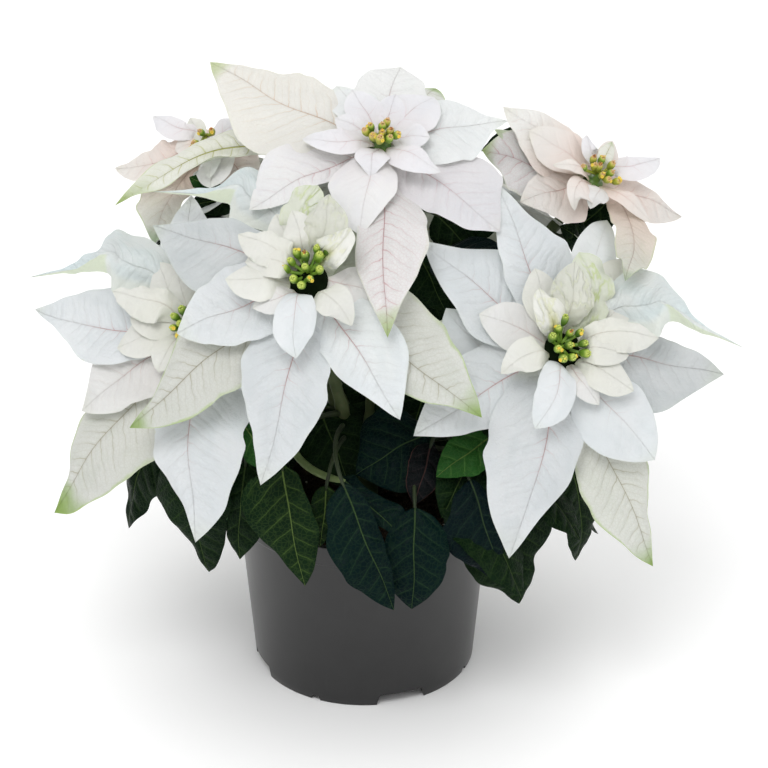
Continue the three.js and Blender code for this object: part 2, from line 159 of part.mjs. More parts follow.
  ['C2','i2',[-101.3,87.7,323.8],[-109.8,101.5,327.5],[-0.373,-0.447,0.813],0.080,0.000,0.000,0.000,'cream',0.30,[2.7,4.9,6.1,6.2,5.5,3.9,2.0],[2.7,4.9,6.1,6.2,5.5,3.9,2.0]],
  ['C11','i2',[-103.1,82.5,320.5],[-118.1,78.8,314.6],[-0.273,-0.343,0.899],0.080,0.000,0.000,0.000,'peach',0.30,[4.8,8.7,10.8,11.0,9.6,6.9,3.6],[4.8,8.7,10.8,11.0,9.6,6.9,3.6]],
  ['C12','i2',[-96.5,79.0,322.3],[-84.6,54.7,320.5],[-0.461,-0.287,0.840],0.080,0.000,0.000,0.000,'peach',0.30,[3.0,5.3,6.6,6.8,5.9,4.2,2.2],[3.0,5.3,6.6,6.8,5.9,4.2,2.2]],
  ['G1','o',[63.2,131.3,259.7],[-38.2,154.3,255.5],[0.124,0.679,0.723],0.070,0.036,0.000,0.000,'white',0.60,[12.8,22.2,24.3,21.6,18.2,10.4,4.7],[12.8,20.6,24.6,24.5,17.1,10.7,4.8]],
  ['G2','o',[64.5,127.5,262.5],[-6.2,77.4,303.9],[0.125,0.522,0.844],0.070,-0.024,0.000,0.000,'white',0.60,[12.5,22.8,23.5,21.5,16.8,10.7,4.9],[12.8,21.9,24.9,22.3,18.0,10.2,4.3]],
  ['G3','o',[68.7,125.5,262.5],[73.6,26.5,310.2],[0.314,0.425,0.849],0.070,0.021,0.000,0.000,'white',0.60,[13.8,21.7,23.8,24.2,18.6,10.7,4.8],[13.7,23.1,25.5,22.3,19.4,10.4,4.6]],
  ['G4','o',[71.9,126.2,260.6],[135.3,49.2,266.5],[0.472,0.447,0.760],0.070,0.016,0.000,0.000,'pinkish',0.60,[12.0,19.5,21.4,21.0,15.0,9.9,4.1],[11.9,18.6,22.3,21.2,15.4,9.8,3.8]],
  ['G5','o',[72.7,129.9,257.1],[139.6,114.2,195.8],[0.608,0.610,0.508],0.070,-0.004,0.000,0.000,'white',0.60,[12.1,19.8,23.3,19.6,16.5,9.7,4.1],[11.7,21.0,21.4,20.4,16.3,10.9,4.0]],
  ['G6','o',[69.8,132.8,255.7],[92.4,172.8,160.2],[0.392,0.812,0.433],0.070,-0.006,0.000,0.000,'white',0.60,[15.3,22.4,25.8,23.9,20.3,12.7,4.7],[13.7,22.2,25.0,24.4,19.4,11.4,4.6]],
  ['G7','o',[65.7,133.4,256.8],[20.7,182.1,199.0],[0.159,0.813,0.560],0.070,-0.035,0.000,0.000,'creamo',0.60,[12.7,19.8,22.7,21.4,15.1,10.7,4.4],[13.1,20.6,21.9,20.5,15.3,10.3,3.9]],
  ['G8','o2',[70.2,125.6,252.8],[155.2,92.4,166.0],[0.684,0.573,0.451],0.070,0.028,0.000,0.000,'green',0.90,[14.3,21.8,24.3,23.4,18.1,11.7,4.7],[15.5,23.9,25.0,23.8,18.9,11.7,4.7]],
  ['G9','o2',[66.5,128.6,251.6],[57.3,169.7,124.4],[0.301,0.914,0.273],0.070,0.038,0.000,0.000,'green',0.90,[15.5,23.3,26.3,25.7,19.8,13.4,5.1],[14.4,26.7,28.2,24.8,20.7,11.7,5.4]],
  ['G10','o2',[63.0,128.3,253.4],[-28.3,153.3,176.5],[-0.136,0.883,0.449],0.070,-0.022,0.000,0.000,'green',0.90,[13.6,22.2,24.2,25.0,18.9,12.1,4.7],[13.5,23.8,27.6,25.3,19.7,12.1,5.1]],
  ['G11','m',[65.0,133.0,265.6],[21.7,134.4,288.7],[0.380,0.630,0.677],0.070,0.010,0.000,0.000,'cream',0.40,[5.5,10.4,12.8,14.1,12.8,8.4,4.8],[6.5,11.5,13.0,13.0,11.4,8.1,4.2]],
  ['G12','m',[69.3,129.4,267.1],[63.4,85.4,305.6],[0.291,0.608,0.739],0.070,-0.008,0.000,0.000,'pinkish',0.40,[7.3,13.5,14.9,16.7,15.2,10.6,5.5],[7.1,12.2,16.7,15.9,15.0,11.0,5.2]],
  ['G13','m',[73.9,130.2,264.5],[119.2,99.1,277.7],[0.248,0.662,0.707],0.070,0.002,0.000,0.070,'cream',0.40,[6.5,11.7,16.3,16.5,12.9,10.3,5.5],[7.1,12.1,15.4,14.8,12.6,10.5,5.2]],
  ['G14','m',[74.3,134.0,261.0],[115.6,136.8,231.9],[0.410,0.644,0.646],0.070,-0.006,0.000,0.000,'white',0.40,[6.5,10.6,13.2,13.6,11.8,8.9,4.4],[6.1,10.4,14.6,13.7,12.2,8.9,4.9]],
  ['G15','m',[70.2,137.0,260.0],[74.0,173.6,223.2],[0.297,0.661,0.689],0.070,-0.032,0.000,0.000,'cream',0.40,[6.4,10.5,14.0,13.7,11.6,9.4,4.5],[6.3,11.8,14.2,14.0,12.7,9.1,4.9]],
  ['G16','m',[66.1,136.6,262.1],[33.3,167.9,249.8],[0.313,0.612,0.727],0.070,0.016,0.000,0.090,'palegreen',0.40,[6.0,10.3,12.8,13.6,12.2,8.1,4.3],[5.7,10.3,13.1,12.9,11.5,8.1,4.6]],
  ['G17','i2',[66.2,136.8,267.5],[36.4,149.9,281.5],[0.543,0.549,0.635],0.070,0.013,0.000,0.000,'cream',0.30,[4.7,8.9,10.8,9.9,8.7,6.5,3.2],[4.4,7.7,10.6,11.0,9.8,6.2,3.6]],
  ['G18','i2',[68.3,133.1,269.8],[50.7,116.8,295.0],[0.334,0.669,0.664],0.070,0.004,0.000,0.000,'cream',0.30,[4.3,8.8,9.9,10.3,9.8,6.8,3.2],[4.5,8.2,9.8,9.9,8.8,6.7,3.1]],
  ['G19','i2',[74.3,132.4,268.0],[93.1,119.5,280.8],[0.115,0.780,0.615],0.070,0.026,0.000,0.000,'cream',0.30,[3.5,6.2,7.1,8.4,7.1,5.2,2.4],[3.3,5.7,7.9,7.5,6.4,4.8,2.7]],
  ['G20','i2',[75.4,136.3,264.1],[100.3,140.9,253.4],[0.211,0.617,0.758],0.070,-0.004,0.000,0.000,'cream',0.30,[3.6,6.7,7.5,7.6,7.4,5.0,2.5],[3.8,6.6,8.4,7.6,7.6,4.7,2.8]],
  ['G21','i2',[70.4,139.6,263.3],[68.0,165.5,245.5],[0.302,0.558,0.773],0.070,-0.012,0.000,0.000,'cream',0.30,[4.0,7.0,9.2,9.0,7.7,5.5,2.8],[3.9,7.2,8.9,9.8,7.9,5.8,2.9]],
  ['H1','o',[-63.6,131.1,263.7],[-156.7,108.8,223.0],[-0.438,0.589,0.679],0.070,-0.013,0.000,0.000,'white',0.60,[12.6,19.6,20.8,20.4,17.2,9.3,4.4],[12.0,19.4,23.1,20.2,16.1,10.2,4.5]],
  ['H2','o',[-61.2,127.8,267.3],[-98.7,41.6,286.9],[-0.390,0.362,0.847],0.070,-0.017,0.000,0.000,'white',0.60,[12.5,19.8,21.3,20.2,15.6,10.7,4.2],[12.0,18.9,24.1,22.7,17.2,10.0,4.2]],
  ['H3','o',[-57.3,128.0,268.4],[-25.4,40.1,326.4],[-0.203,0.486,0.850],0.070,-0.040,0.000,0.000,'white',0.60,[13.5,24.1,27.2,23.9,17.8,12.3,4.7],[13.7,20.6,24.8,23.6,18.5,10.9,4.8]],
  ['H4','o',[-54.1,130.6,267.4],[35.2,100.6,300.9],[-0.108,0.580,0.808],0.070,0.018,0.000,0.000,'pinkish',0.60,[11.7,18.6,22.1,20.4,16.9,10.3,4.5],[12.9,20.9,24.2,21.0,16.2,11.1,4.1]],
  ['H5','o',[-54.3,134.4,264.1],[24.9,174.1,239.2],[-0.123,0.693,0.711],0.070,-0.022,0.000,0.000,'white',0.60,[13.4,20.6,23.6,22.4,15.7,10.3,4.3],[13.3,21.2,24.0,21.6,17.7,10.6,4.5]],
  ['H6','o',[-57.1,135.7,262.1],[-21.9,205.9,190.9],[-0.197,0.745,0.638],0.070,0.019,0.000,0.000,'white',0.60,[12.4,22.4,24.2,22.9,17.9,11.1,4.6],[12.2,22.2,24.9,22.4,17.7,11.1,4.3]],
  ['H7','o',[-61.7,134.3,261.7],[-109.2,170.3,197.0],[-0.340,0.693,0.635],0.070,0.019,0.000,0.000,'creamo',0.60,[11.2,16.5,20.3,19.7,14.3,8.6,3.7],[11.1,18.0,19.9,18.7,13.3,8.3,3.6]],
  ['H8','o2',[-53.3,129.9,259.5],[53.6,144.4,194.3],[0.229,0.800,0.554],0.070,0.035,0.000,0.000,'green',0.90,[13.5,21.8,25.5,25.4,20.0,12.3,4.9],[14.7,23.3,26.3,23.2,20.6,11.4,5.4]],
  ['H9','o2',[-56.2,131.0,257.5],[-19.7,179.2,137.9],[-0.130,0.933,0.336],0.070,0.031,0.000,0.000,'green',0.90,[16.4,26.8,27.9,25.4,19.6,13.6,5.1],[15.8,23.5,28.2,28.2,19.4,13.3,5.4]],
  ['H10','o2',[-60.5,128.9,257.9],[-132.2,124.8,159.2],[-0.601,0.687,0.408],0.070,-0.030,0.000,0.000,'green',0.90,[15.1,22.6,23.7,22.1,18.7,11.5,4.7],[13.4,22.1,24.8,25.3,17.3,12.0,5.1]],
  ['H11','m',[-64.2,132.3,270.5],[-105.5,94.7,276.8],[-0.362,0.528,0.768],0.070,-0.019,0.000,0.000,'cream',0.40,[6.6,12.1,15.0,16.9,13.8,9.5,5.0],[6.6,11.4,14.3,16.5,13.2,10.4,4.9]],
  ['H12','m',[-60.3,131.3,272.6],[-61.9,95.9,301.7],[-0.251,0.621,0.743],0.070,-0.036,0.000,0.000,'pinkish',0.40,[6.0,10.6,13.0,13.0,11.8,8.5,4.2],[5.8,9.3,12.9,12.6,11.6,8.1,4.0]],
  ['H13','m',[-55.5,134.4,271.6],[-15.7,126.5,290.0],[-0.227,0.616,0.755],0.070,-0.022,0.000,0.070,'cream',0.40,[5.3,9.4,12.5,13.3,10.4,7.9,3.9],[5.5,9.6,11.4,11.7,10.3,8.2,4.0]],
  ['H14','m',[-56.0,138.3,268.2],[-7.1,173.4,253.7],[-0.234,0.632,0.738],0.070,-0.013,0.000,0.000,'white',0.40,[7.1,12.9,15.7,16.8,14.0,10.3,5.4],[7.6,14.4,17.4,17.0,14.8,10.8,5.5]],
  ['H15','m',[-59.1,139.4,266.3],[-48.5,171.3,232.7],[-0.217,0.741,0.635],0.070,0.017,0.000,0.000,'cream',0.40,[5.4,10.4,13.1,14.0,11.0,7.9,4.1],[5.7,10.3,13.8,13.9,12.2,7.6,4.0]],
  ['H16','m',[-64.7,136.2,267.1],[-109.2,143.0,242.2],[-0.302,0.629,0.716],0.070,0.021,0.000,0.090,'palegreen',0.40,[5.8,11.1,14.9,15.0,13.2,9.6,4.5],[5.9,10.6,14.0,14.7,13.4,9.2,4.8]],
  ['H17','i2',[-65.9,136.8,271.5],[-97.3,137.8,274.1],[0.084,0.647,0.758],0.070,-0.022,0.000,0.000,'cream',0.30,[4.3,7.1,9.8,9.6,7.9,5.5,2.9],[4.2,7.6,8.6,8.7,8.2,5.9,3.0]],
  ['H18','i2',[-62.2,133.8,275.2],[-69.5,118.3,294.9],[-0.184,0.804,0.566],0.070,-0.019,0.000,0.000,'cream',0.30,[3.4,6.6,7.7,8.2,6.8,4.6,2.4],[3.7,6.3,7.3,7.2,6.8,5.0,2.5]],
  ['H19','i2',[-56.9,136.5,274.8],[-31.0,134.5,298.6],[-0.477,0.664,0.576],0.070,0.021,0.000,0.000,'cream',0.30,[4.3,8.1,10.1,10.8,8.7,6.9,3.6],[4.6,7.9,11.0,10.2,9.6,6.3,3.3]],
  ['H20','i2',[-57.1,140.6,271.3],[-31.3,165.0,269.7],[-0.412,0.488,0.770],0.070,0.031,0.000,0.000,'cream',0.30,[4.4,8.0,10.2,10.8,9.9,6.2,3.4],[4.4,9.0,9.7,9.8,8.6,6.5,3.7]],
  ['H21','i2',[-63.2,140.9,269.0],[-78.8,165.3,247.7],[-0.213,0.562,0.799],0.070,-0.030,0.000,0.000,'cream',0.30,[4.6,8.0,11.2,11.1,8.7,6.8,3.4],[4.6,8.2,9.9,9.9,9.0,6.5,3.7]],
  ['B18','o',[141.0,72.2,300.2],[116.0,131.2,316.1],[0.292,-0.132,0.947],0.070,-0.007,0.000,0.000,'peach',0.50,[9.0,12.8,14.8,14.9,11.7,6.8,2.7],[8.4,13.2,16.2,13.5,10.9,7.3,2.7]],
  ['B19','o2',[141.8,74.8,293.0],[160.8,148.6,276.5],[0.616,0.018,0.788],0.070,0.017,0.000,0.000,'greenpink',0.90,[9.5,15.1,15.2,14.2,11.2,7.9,3.0],[9.4,15.4,15.9,14.8,12.9,7.5,3.0]],
  ['C13','o2',[-89.9,92.5,311.9],[-39.7,154.2,319.6],[-0.137,-0.013,0.991],0.070,-0.006,0.000,0.000,'greenpink',0.90,[9.0,14.3,15.5,16.4,13.1,7.7,3.4],[8.6,14.2,16.7,16.9,13.2,7.4,3.1]],
  ['C14','o',[-96.2,91.8,316.3],[-87.6,144.6,289.0],[-0.475,0.465,0.747],0.070,0.020,0.000,0.000,'peach',0.50,[7.6,13.1,13.1,13.5,10.5,6.5,2.7],[7.8,11.9,13.4,12.6,10.6,5.8,2.5]],
  ['A18','o2',[11.7,31.0,333.4],[46.1,137.6,334.5],[0.150,-0.058,0.987],0.070,-0.021,0.000,0.000,'green',0.90,[12.5,19.4,21.7,22.2,16.7,11.4,4.8],[14.0,20.0,21.9,20.6,17.2,11.0,4.4]],
  ['A19','o2',[7.5,30.5,333.1],[-52.3,120.2,327.2],[-0.270,-0.117,0.956],0.070,-0.020,0.000,0.000,'green',0.90,[12.4,20.5,23.3,22.1,17.5,10.5,4.1],[13.2,19.4,22.9,20.8,17.2,9.7,4.1]],
  ['E22','o2',[115.3,-45.7,234.9],[174.5,39.0,223.0],[0.622,-0.337,0.707],0.070,0.027,0.000,0.000,'green',0.90,[11.4,20.5,22.1,19.9,15.7,10.6,4.2],[11.6,20.3,22.4,22.0,15.0,9.8,4.4]],
  ['F16','o2',[-100.0,-24.2,239.5],[-137.3,68.6,238.7],[-0.581,-0.226,0.782],0.070,-0.032,0.000,0.000,'green',0.90,[12.4,17.2,20.3,18.5,14.6,10.2,4.1],[12.4,18.2,22.2,19.5,14.8,9.9,4.3]]
];

// leaves: name, stalk root, blade base, tip, upper-side normal, arch, fold, tone, half widths left and right
const LEAVES = [
  ['L01',[-36.2,-2.9,164.4],[-127.3,-14.0,161.4],[-148.4,-18.0,97.8],[-0.707,-0.652,0.276],0.090,0.18,'dark',[14.2,22.0,25.1,18.4,12.3,7.6,3.3],[7.7,11.6,12.9,12.2,8.2,4.4,1.9]],
  ['L02',[-47.0,-3.2,175.1],[-107.2,-46.0,171.3],[-95.6,-52.0,86.4],[-0.440,-0.898,0.003],0.090,0.18,'dark',[19.5,27.5,28.5,25.0,18.6,11.8,6.8],[12.8,21.2,25.0,16.0,10.9,5.5,2.1]],
  ['L03',[-38.6,-3.0,166.8],[-70.8,-52.0,163.5],[-75.0,-70.0,105.9],[-0.322,-0.897,0.304],0.090,0.18,'dark',[12.8,19.0,21.1,19.8,15.7,9.3,3.1],[9.1,13.2,14.2,12.9,10.0,6.2,2.7]],
  ['L04',[-12.7,-20.4,181.3],[-47.6,-84.0,178.0],[-34.4,-104.0,107.7],[-0.115,-0.961,0.252],0.090,0.18,'veined',[8.9,10.5,13.9,15.2,13.6,8.8,3.8],[21.4,27.9,27.1,20.8,11.4,5.9,2.4]],
  ['L05',[-9.4,-16.0,164.2],[-21.9,-78.0,161.2],[-25.6,-92.0,127.5],[0.211,-0.911,0.355],0.090,0.50,'veined',[5.8,8.4,9.1,8.3,6.4,3.9,1.7],[5.8,8.4,9.1,8.3,6.4,3.9,1.7]],
  ['L06',[-11.1,-18.3,172.5],[-11.6,-90.0,169.1],[18.5,-112.0,95.9],[0.110,-0.939,0.327],0.090,0.18,'teal',[6.8,9.8,10.6,9.7,7.5,4.6,2.0],[13.5,17.6,21.6,21.4,17.6,11.2,4.8]],
  ['L07',[29.1,-7.5,153.0],[31.0,-84.0,149.6],[29.3,-106.0,92.2],[0.060,-0.933,0.355],0.090,0.18,'teal',[11.9,19.5,21.2,20.3,16.5,10.6,4.6],[10.7,14.5,17.4,18.0,16.6,12.3,5.4]],
  ['L08',[46.5,-10.8,166.8],[63.9,-74.0,163.1],[82.3,-92.0,102.5],[0.255,-0.903,0.346],0.090,0.18,'navy',[5.5,8.0,8.6,7.8,6.0,3.7,1.6],[12.3,17.5,25.3,24.5,19.1,10.6,4.9]],
  ['L09',[27.7,-7.3,151.9],[92.8,-56.0,139.5],[95.8,-66.0,71.9],[0.397,-0.905,0.151],0.090,0.18,'dark',[13.6,24.9,18.5,11.2,8.4,5.2,2.2],[22.1,32.9,36.3,33.9,26.8,13.0,5.6]],
  ['L10',[29.1,-7.5,153.0],[127.9,-34.0,149.7],[133.6,-38.0,85.3],[0.646,-0.756,0.104],0.090,0.18,'dark',[8.7,12.7,13.7,12.5,9.6,5.9,2.6],[12.8,19.9,21.9,16.3,11.0,6.8,2.9]],
  ['L11',[73.0,-17.3,188.0],[77.2,-58.0,184.4],[43.6,-74.0,165.2],[0.042,-0.803,0.595],0.090,0.18,'bright',[9.1,13.2,14.2,12.9,10.0,6.2,2.6],[9.1,13.3,14.3,13.0,10.1,6.2,2.7]],
  ['L12',[-76.5,-8.0,206.4],[-75.0,-66.0,203.2],[-43.9,-78.0,162.2],[0.081,-0.938,0.336],0.090,0.18,'bright',[6.4,9.3,10.0,9.2,7.1,4.4,1.9],[7.1,10.5,11.6,10.8,7.8,4.4,1.9]],
  ['L13',[52.5,-12.1,171.5],[40.5,-40.0,177.7],[-4.2,-62.0,160.7],[0.065,-0.690,0.721],0.090,0.18,'teal',[16.9,20.3,23.7,26.8,22.6,14.2,6.1],[19.9,25.0,27.1,25.8,20.8,11.8,5.0]],
  ['L14',[52.5,-12.1,171.5],[40.9,-50.0,174.7],[30.6,-76.0,147.2],[0.199,-0.749,0.632],0.090,0.18,'purple',[6.5,8.5,9.2,10.4,9.2,5.7,2.4],[7.4,10.4,10.8,10.2,8.6,5.7,2.4]],
  ['L15',[57.0,-13.0,175.0],[64.4,-54.0,171.4],[47.4,-78.0,139.4],[0.283,-0.834,0.474],0.090,0.18,'dark',[13.2,19.1,20.6,18.8,14.5,8.9,3.8],[9.9,14.3,15.4,14.1,10.9,6.7,2.9]],
  ['L16',[-9.0,-15.5,162.5],[-12.6,-66.0,160.1],[26.3,-94.0,131.4],[-0.090,-0.771,0.630],0.090,0.18,'teal',[6.5,6.3,7.6,10.4,12.4,8.8,3.9],[4.4,6.1,7.2,7.2,4.9,2.8,1.2]],
  ['L17',[-43.4,-3.1,171.5],[-25.4,-20.0,179.8],[-7.0,-44.0,139.8],[-0.061,-0.868,0.493],0.090,0.18,'dark',[13.3,19.3,20.8,19.0,14.6,9.0,3.9],[13.3,19.3,20.8,19.0,14.6,9.0,3.9]],
  ['L18',[52.5,-12.1,171.5],[65.6,-34.2,176.0],[131.8,-67.3,118.0],[0.545,-0.290,0.787],0.090,0.18,'dark',[17.2,25.1,27.0,24.6,19.0,11.7,5.0],[17.2,25.1,27.0,24.6,19.0,11.7,5.0]],
  ['L19',[27.7,-7.3,151.9],[79.6,-7.6,148.0],[149.5,-12.6,92.0],[0.621,-0.068,0.781],0.090,0.18,'dark',[17.9,26.0,28.0,25.5,19.7,12.2,5.2],[17.9,26.0,28.0,25.5,19.7,12.2,5.2]],
  ['L20',[43.9,30.7,184.4],[68.4,15.2,182.0],[139.5,27.3,122.0],[0.622,0.151,0.768],0.090,0.18,'veined',[17.2,25.1,27.0,24.6,19.0,11.7,5.0],[17.2,25.1,27.0,24.6,19.0,11.7,5.0]],
  ['L21',[15.3,9.8,155.9],[68.5,45.2,152.0],[126.2,81.1,98.0],[0.514,0.350,0.783],0.090,0.18,'dark',[18.5,26.9,29.0,26.4,20.4,12.6,5.4],[18.5,26.9,29.0,26.4,20.4,12.6,5.4]],
  ['L22',[40.4,28.1,181.0],[38.8,53.4,186.0],[85.9,110.9,128.0],[0.349,0.508,0.787],0.090,0.18,'dark',[17.2,25.1,27.0,24.6,19.0,11.7,5.0],[17.2,25.1,27.0,24.6,19.0,11.7,5.0]],
  ['L23',[9.4,17.6,153.8],[21.7,79.1,150.0],[43.6,143.7,94.0],[0.149,0.618,0.772],0.090,0.18,'navy',[18.5,26.9,29.0,26.4,20.4,12.6,5.4],[18.5,26.9,29.0,26.4,20.4,12.6,5.4]],
  ['L24',[-20.3,44.7,180.5],[-7.9,67.6,180.0],[-13.8,143.5,120.0],[-0.084,0.614,0.785],0.090,0.18,'dark',[17.2,25.1,27.0,24.6,19.0,11.7,5.0],[17.2,25.1,27.0,24.6,19.0,11.7,5.0]],
  ['L25',[-7.6,16.9,154.8],[-39.1,72.1,152.0],[-72.7,131.2,96.0],[-0.297,0.562,0.772],0.090,0.18,'dark',[18.5,26.9,29.0,26.4,20.4,12.6,5.4],[18.5,26.9,29.0,26.4,20.4,12.6,5.4]],
  ['L26',[-26.7,34.8,186.9],[-51.2,44.8,184.0],[-106.6,90.8,126.0],[-0.467,0.419,0.779],0.090,0.18,'veined',[17.2,25.1,27.0,24.6,19.0,11.7,5.0],[17.2,25.1,27.0,24.6,19.0,11.7,5.0]],
  ['L27',[-24.3,-2.8,152.9],[-76.4,29.8,150.0],[-138.4,58.4,94.0],[-0.599,0.213,0.772],0.090,0.18,'dark',[17.9,26.0,28.0,25.5,19.7,12.2,5.2],[17.9,26.0,28.0,25.5,19.7,12.2,5.2]],
  ['L28',[-47.0,-3.2,175.1],[-72.0,3.1,178.0],[-146.0,12.5,118.0],[-0.630,0.002,0.777],0.090,0.18,'dark',[17.2,25.1,27.0,24.6,19.0,11.7,5.0],[17.2,25.1,27.0,24.6,19.0,11.7,5.0]],
  ['L29',[-39.8,-3.0,168.0],[-64.4,-27.5,164.0],[-107.8,-43.1,116.0],[-0.661,-0.290,0.692],0.090,0.18,'dark',[15.3,22.3,24.0,21.9,16.9,10.4,4.5],[15.3,22.3,24.0,21.9,16.9,10.4,4.5]],
  ['L30',[29.1,-7.5,153.0],[54.4,-58.7,150.0],[95.7,-99.5,96.0],[0.455,-0.507,0.732],0.090,0.18,'dark',[15.3,22.3,24.0,21.9,16.9,10.4,4.5],[15.3,22.3,24.0,21.9,16.9,10.4,4.5]],
  ['L31',[75.4,52.9,215.5],[92.0,12.0,224.0],[158.0,18.0,176.0],[0.590,-0.044,0.806],0.090,0.18,'dark',[17.2,25.1,27.0,24.6,19.0,11.7,5.0],[17.2,25.1,27.0,24.6,19.0,11.7,5.0]],
  ['L32',[-84.0,-11.7,215.9],[-86.0,22.0,236.0],[-152.0,30.0,190.0],[-0.571,0.014,0.821],0.090,0.18,'dark',[17.2,25.1,27.0,24.6,19.0,11.7,5.0],[17.2,25.1,27.0,24.6,19.0,11.7,5.0]],
  ['L33',[9.6,37.9,262.1],[44.0,34.0,262.0],[98.0,2.0,262.0],[-0.118,-0.200,0.973],0.090,0.18,'navy',[15.3,22.3,24.0,21.9,16.9,10.4,4.5],[15.3,22.3,24.0,21.9,16.9,10.4,4.5]]
];

const wasm = await Module();
wasm.setup();

// ---- solids
function solidOf(geo) {
  let g = geo.index ? geo.clone() : geo;
  for (const k of Object.keys(g.attributes)) if (k !== 'position') g.deleteAttribute(k);
  g = mergeVertices(g, 1e-4);
  const idx = g.index.array;
  const tri = [];
  for (let i = 0; i < idx.length; i += 3) {
    const [a, b, c] = [idx[i], idx[i + 1], idx[i + 2]];
    if (a !== b && b !== c && a !== c) tri.push(a, b, c);
  }
  return new wasm.Manifold(new wasm.Mesh({
    numProp: 3,
    vertProperties: new Float32Array(g.attributes.position.array),
    triVerts: new Uint32Array(tri),
  }));
}
const addAll = (list) => list.reduce((a, b) => a.add(b));
const V = (a) => new THREE.Vector3(a[0], a[1], a[2]);

// turned solid: profile of [radius, z] pairs that starts and ends on the axis or closes on itself
function turned(profile, segs) {
  const g = new THREE.LatheGeometry(profile.map(([r, z]) => new THREE.Vector2(r, z)), segs);
  g.rotateX(Math.PI / 2);
  let s = solidOf(g);
  if (s.volume() < 0) throw new Error('profile runs the wrong way');
  return s;
}
// a short tapered plug along a head's axis, from depth d0 (lower) up to depth d1
function plug(c, n, d0, d1, r0, r1, sides = 10) {
  const g = new THREE.CylinderGeometry(r1, r0, d0 - d1, sides, 1);
  g.rotateX(Math.PI / 2);
  const q = new THREE.Quaternion().setFromUnitVectors(new THREE.Vector3(0, 0, 1), n);
  g.applyQuaternion(q);
  const m = c.clone().addScaledVector(n, -(d0 + d1) / 2);
  g.translate(m.x, m.y, m.z);
  return solidOf(g);
}
// a round tube along a curve
function tube(curve, r, sides, steps) {
  const sh = new THREE.Shape();
  for (let i = 0; i < sides; i++) {
    const a = (i / sides) * Math.PI * 2;
    if (i) sh.lineTo(r * Math.cos(a), r * Math.sin(a)); else sh.moveTo(r, 0);
  }
  sh.closePath();
  const g = new THREE.ExtrudeGeometry(sh, { steps, extrudePath: curve, bevelEnabled: false });
  return solidOf(g);
}
const lerpTable = (tab, u) => {
  const xs = [0, ...US, 1], ys = [tab[0] * 0.55, ...tab, 0.5];
  for (let i = 1; i < xs.length; i++) if (u <= xs[i]) {
    const t = (u - xs[i - 1]) / (xs[i] - xs[i - 1]);
    return ys[i - 1] * (1 - t) + ys[i] * t;
  }
  return 0.5;
};
// a blade (bract or leaf): a thin closed shell over a bent midrib, folded a little at the midrib
function blade({ B, T, N, arch, bend, tipc, fold, L, R, t, us, cols, grow = 0 }) {
  const a = T.clone().sub(B), len = a.length(); a.normalize();
  const W = new THREE.Vector3().crossVectors(N, a);
  const C = B.clone().add(T).multiplyScalar(0.5).addScaledVector(N, 2 * arch * len).addScaledVector(W, 2 * bend * len);
  const th = t / 2 + grow;
  const pos = [], row = [];
  const cs = cols === 3 ? [1, 0, -1] : [1, -1];
  for (const u of us) {
    const p = B.clone().multiplyScalar((1 - u) ** 2).addScaledVector(C, 2 * u * (1 - u)).addScaledVector(T, u * u);
    const tg = C.clone().sub(B).multiplyScalar(2 * (1 - u)).addScaledVector(T.clone().sub(C), 2 * u).normalize();
    if (u > 0.6) p.addScaledVector(N, tipc * len * ((u - 0.6) / 0.4) ** 2);
    if (u === 1) p.addScaledVector(tg, grow);
    const n = N.clone().addScaledVector(tg, -N.dot(tg)).normalize();
    const w = new THREE.Vector3().crossVectors(n, tg);
    for (const v of cs) {
      const s = v > 0 ? lerpTable(L, u) + grow : v < 0 ? -(lerpTable(R, u) + grow) : 0;
      const h = fold * Math.abs(s);
      const q = p.clone().addScaledVector(w, s).addScaledVector(n, h);
      pos.push([q.clone().addScaledVector(n, th), q.clone().addScaledVector(n, -th)]);
    }
    row.push(pos.length - cs.length);
  }
  const verts = [];
  for (const [p, q] of pos) verts.push(p.x, p.y, p.z, q.x, q.y, q.z);
  const nc = cs.length, nu = us.length, id = (i, j, k) => (i * nc + j) * 2 + k;
  const idx = [];
  const quad = (a1, b1, c1, d1) => idx.push(a1, b1, c1, a1, c1, d1);
  for (let i = 0; i + 1 < nu; i++) {
    for (let j = 0; j + 1 < nc; j++) {
      quad(id(i, j, 0), id(i, j + 1, 0), id(i + 1, j + 1, 0), id(i + 1, j, 0));
      quad(id(i, j, 1), id(i + 1, j, 1), id(i + 1, j + 1, 1), id(i, j + 1, 1));
    }
    quad(id(i, 0, 1), id(i, 0, 0), id(i + 1, 0, 0), id(i + 1, 0, 1));
    quad(id(i, nc - 1, 0), id(i, nc - 1, 1), id(i + 1, nc - 1, 1), id(i + 1, nc - 1, 0));
  }
  for (let j = 0; j + 1 < nc; j++) {
    quad(id(0, j, 1), id(0, j + 1, 1), id(0, j + 1, 0), id(0, j, 0));
    quad(id(nu - 1, j, 0), id(nu - 1, j + 1, 0), id(nu - 1, j + 1, 1), id(nu - 1, j, 1));
  }
  const g = new THREE.BufferGeometry();
  g.setAttribute('position', new THREE.Float32BufferAttribute(verts, 3));
  g.setIndex(idx);
  let s = solidOf(g);
  if (s.volume() < 0) {
    g.setIndex(idx.map((_, i) => idx[i - (i % 3) + [0, 2, 1][i % 3]]));
    s = solidOf(g);
  }
  return s;
}

// ---- pieces: each has its own solid, and a slightly swollen copy that its neighbours are cut back from
const pieces = [];
const piece = (name, make, color, rough) => pieces.push({ name, solid: make(0), thick: make(GAP), color, rough });

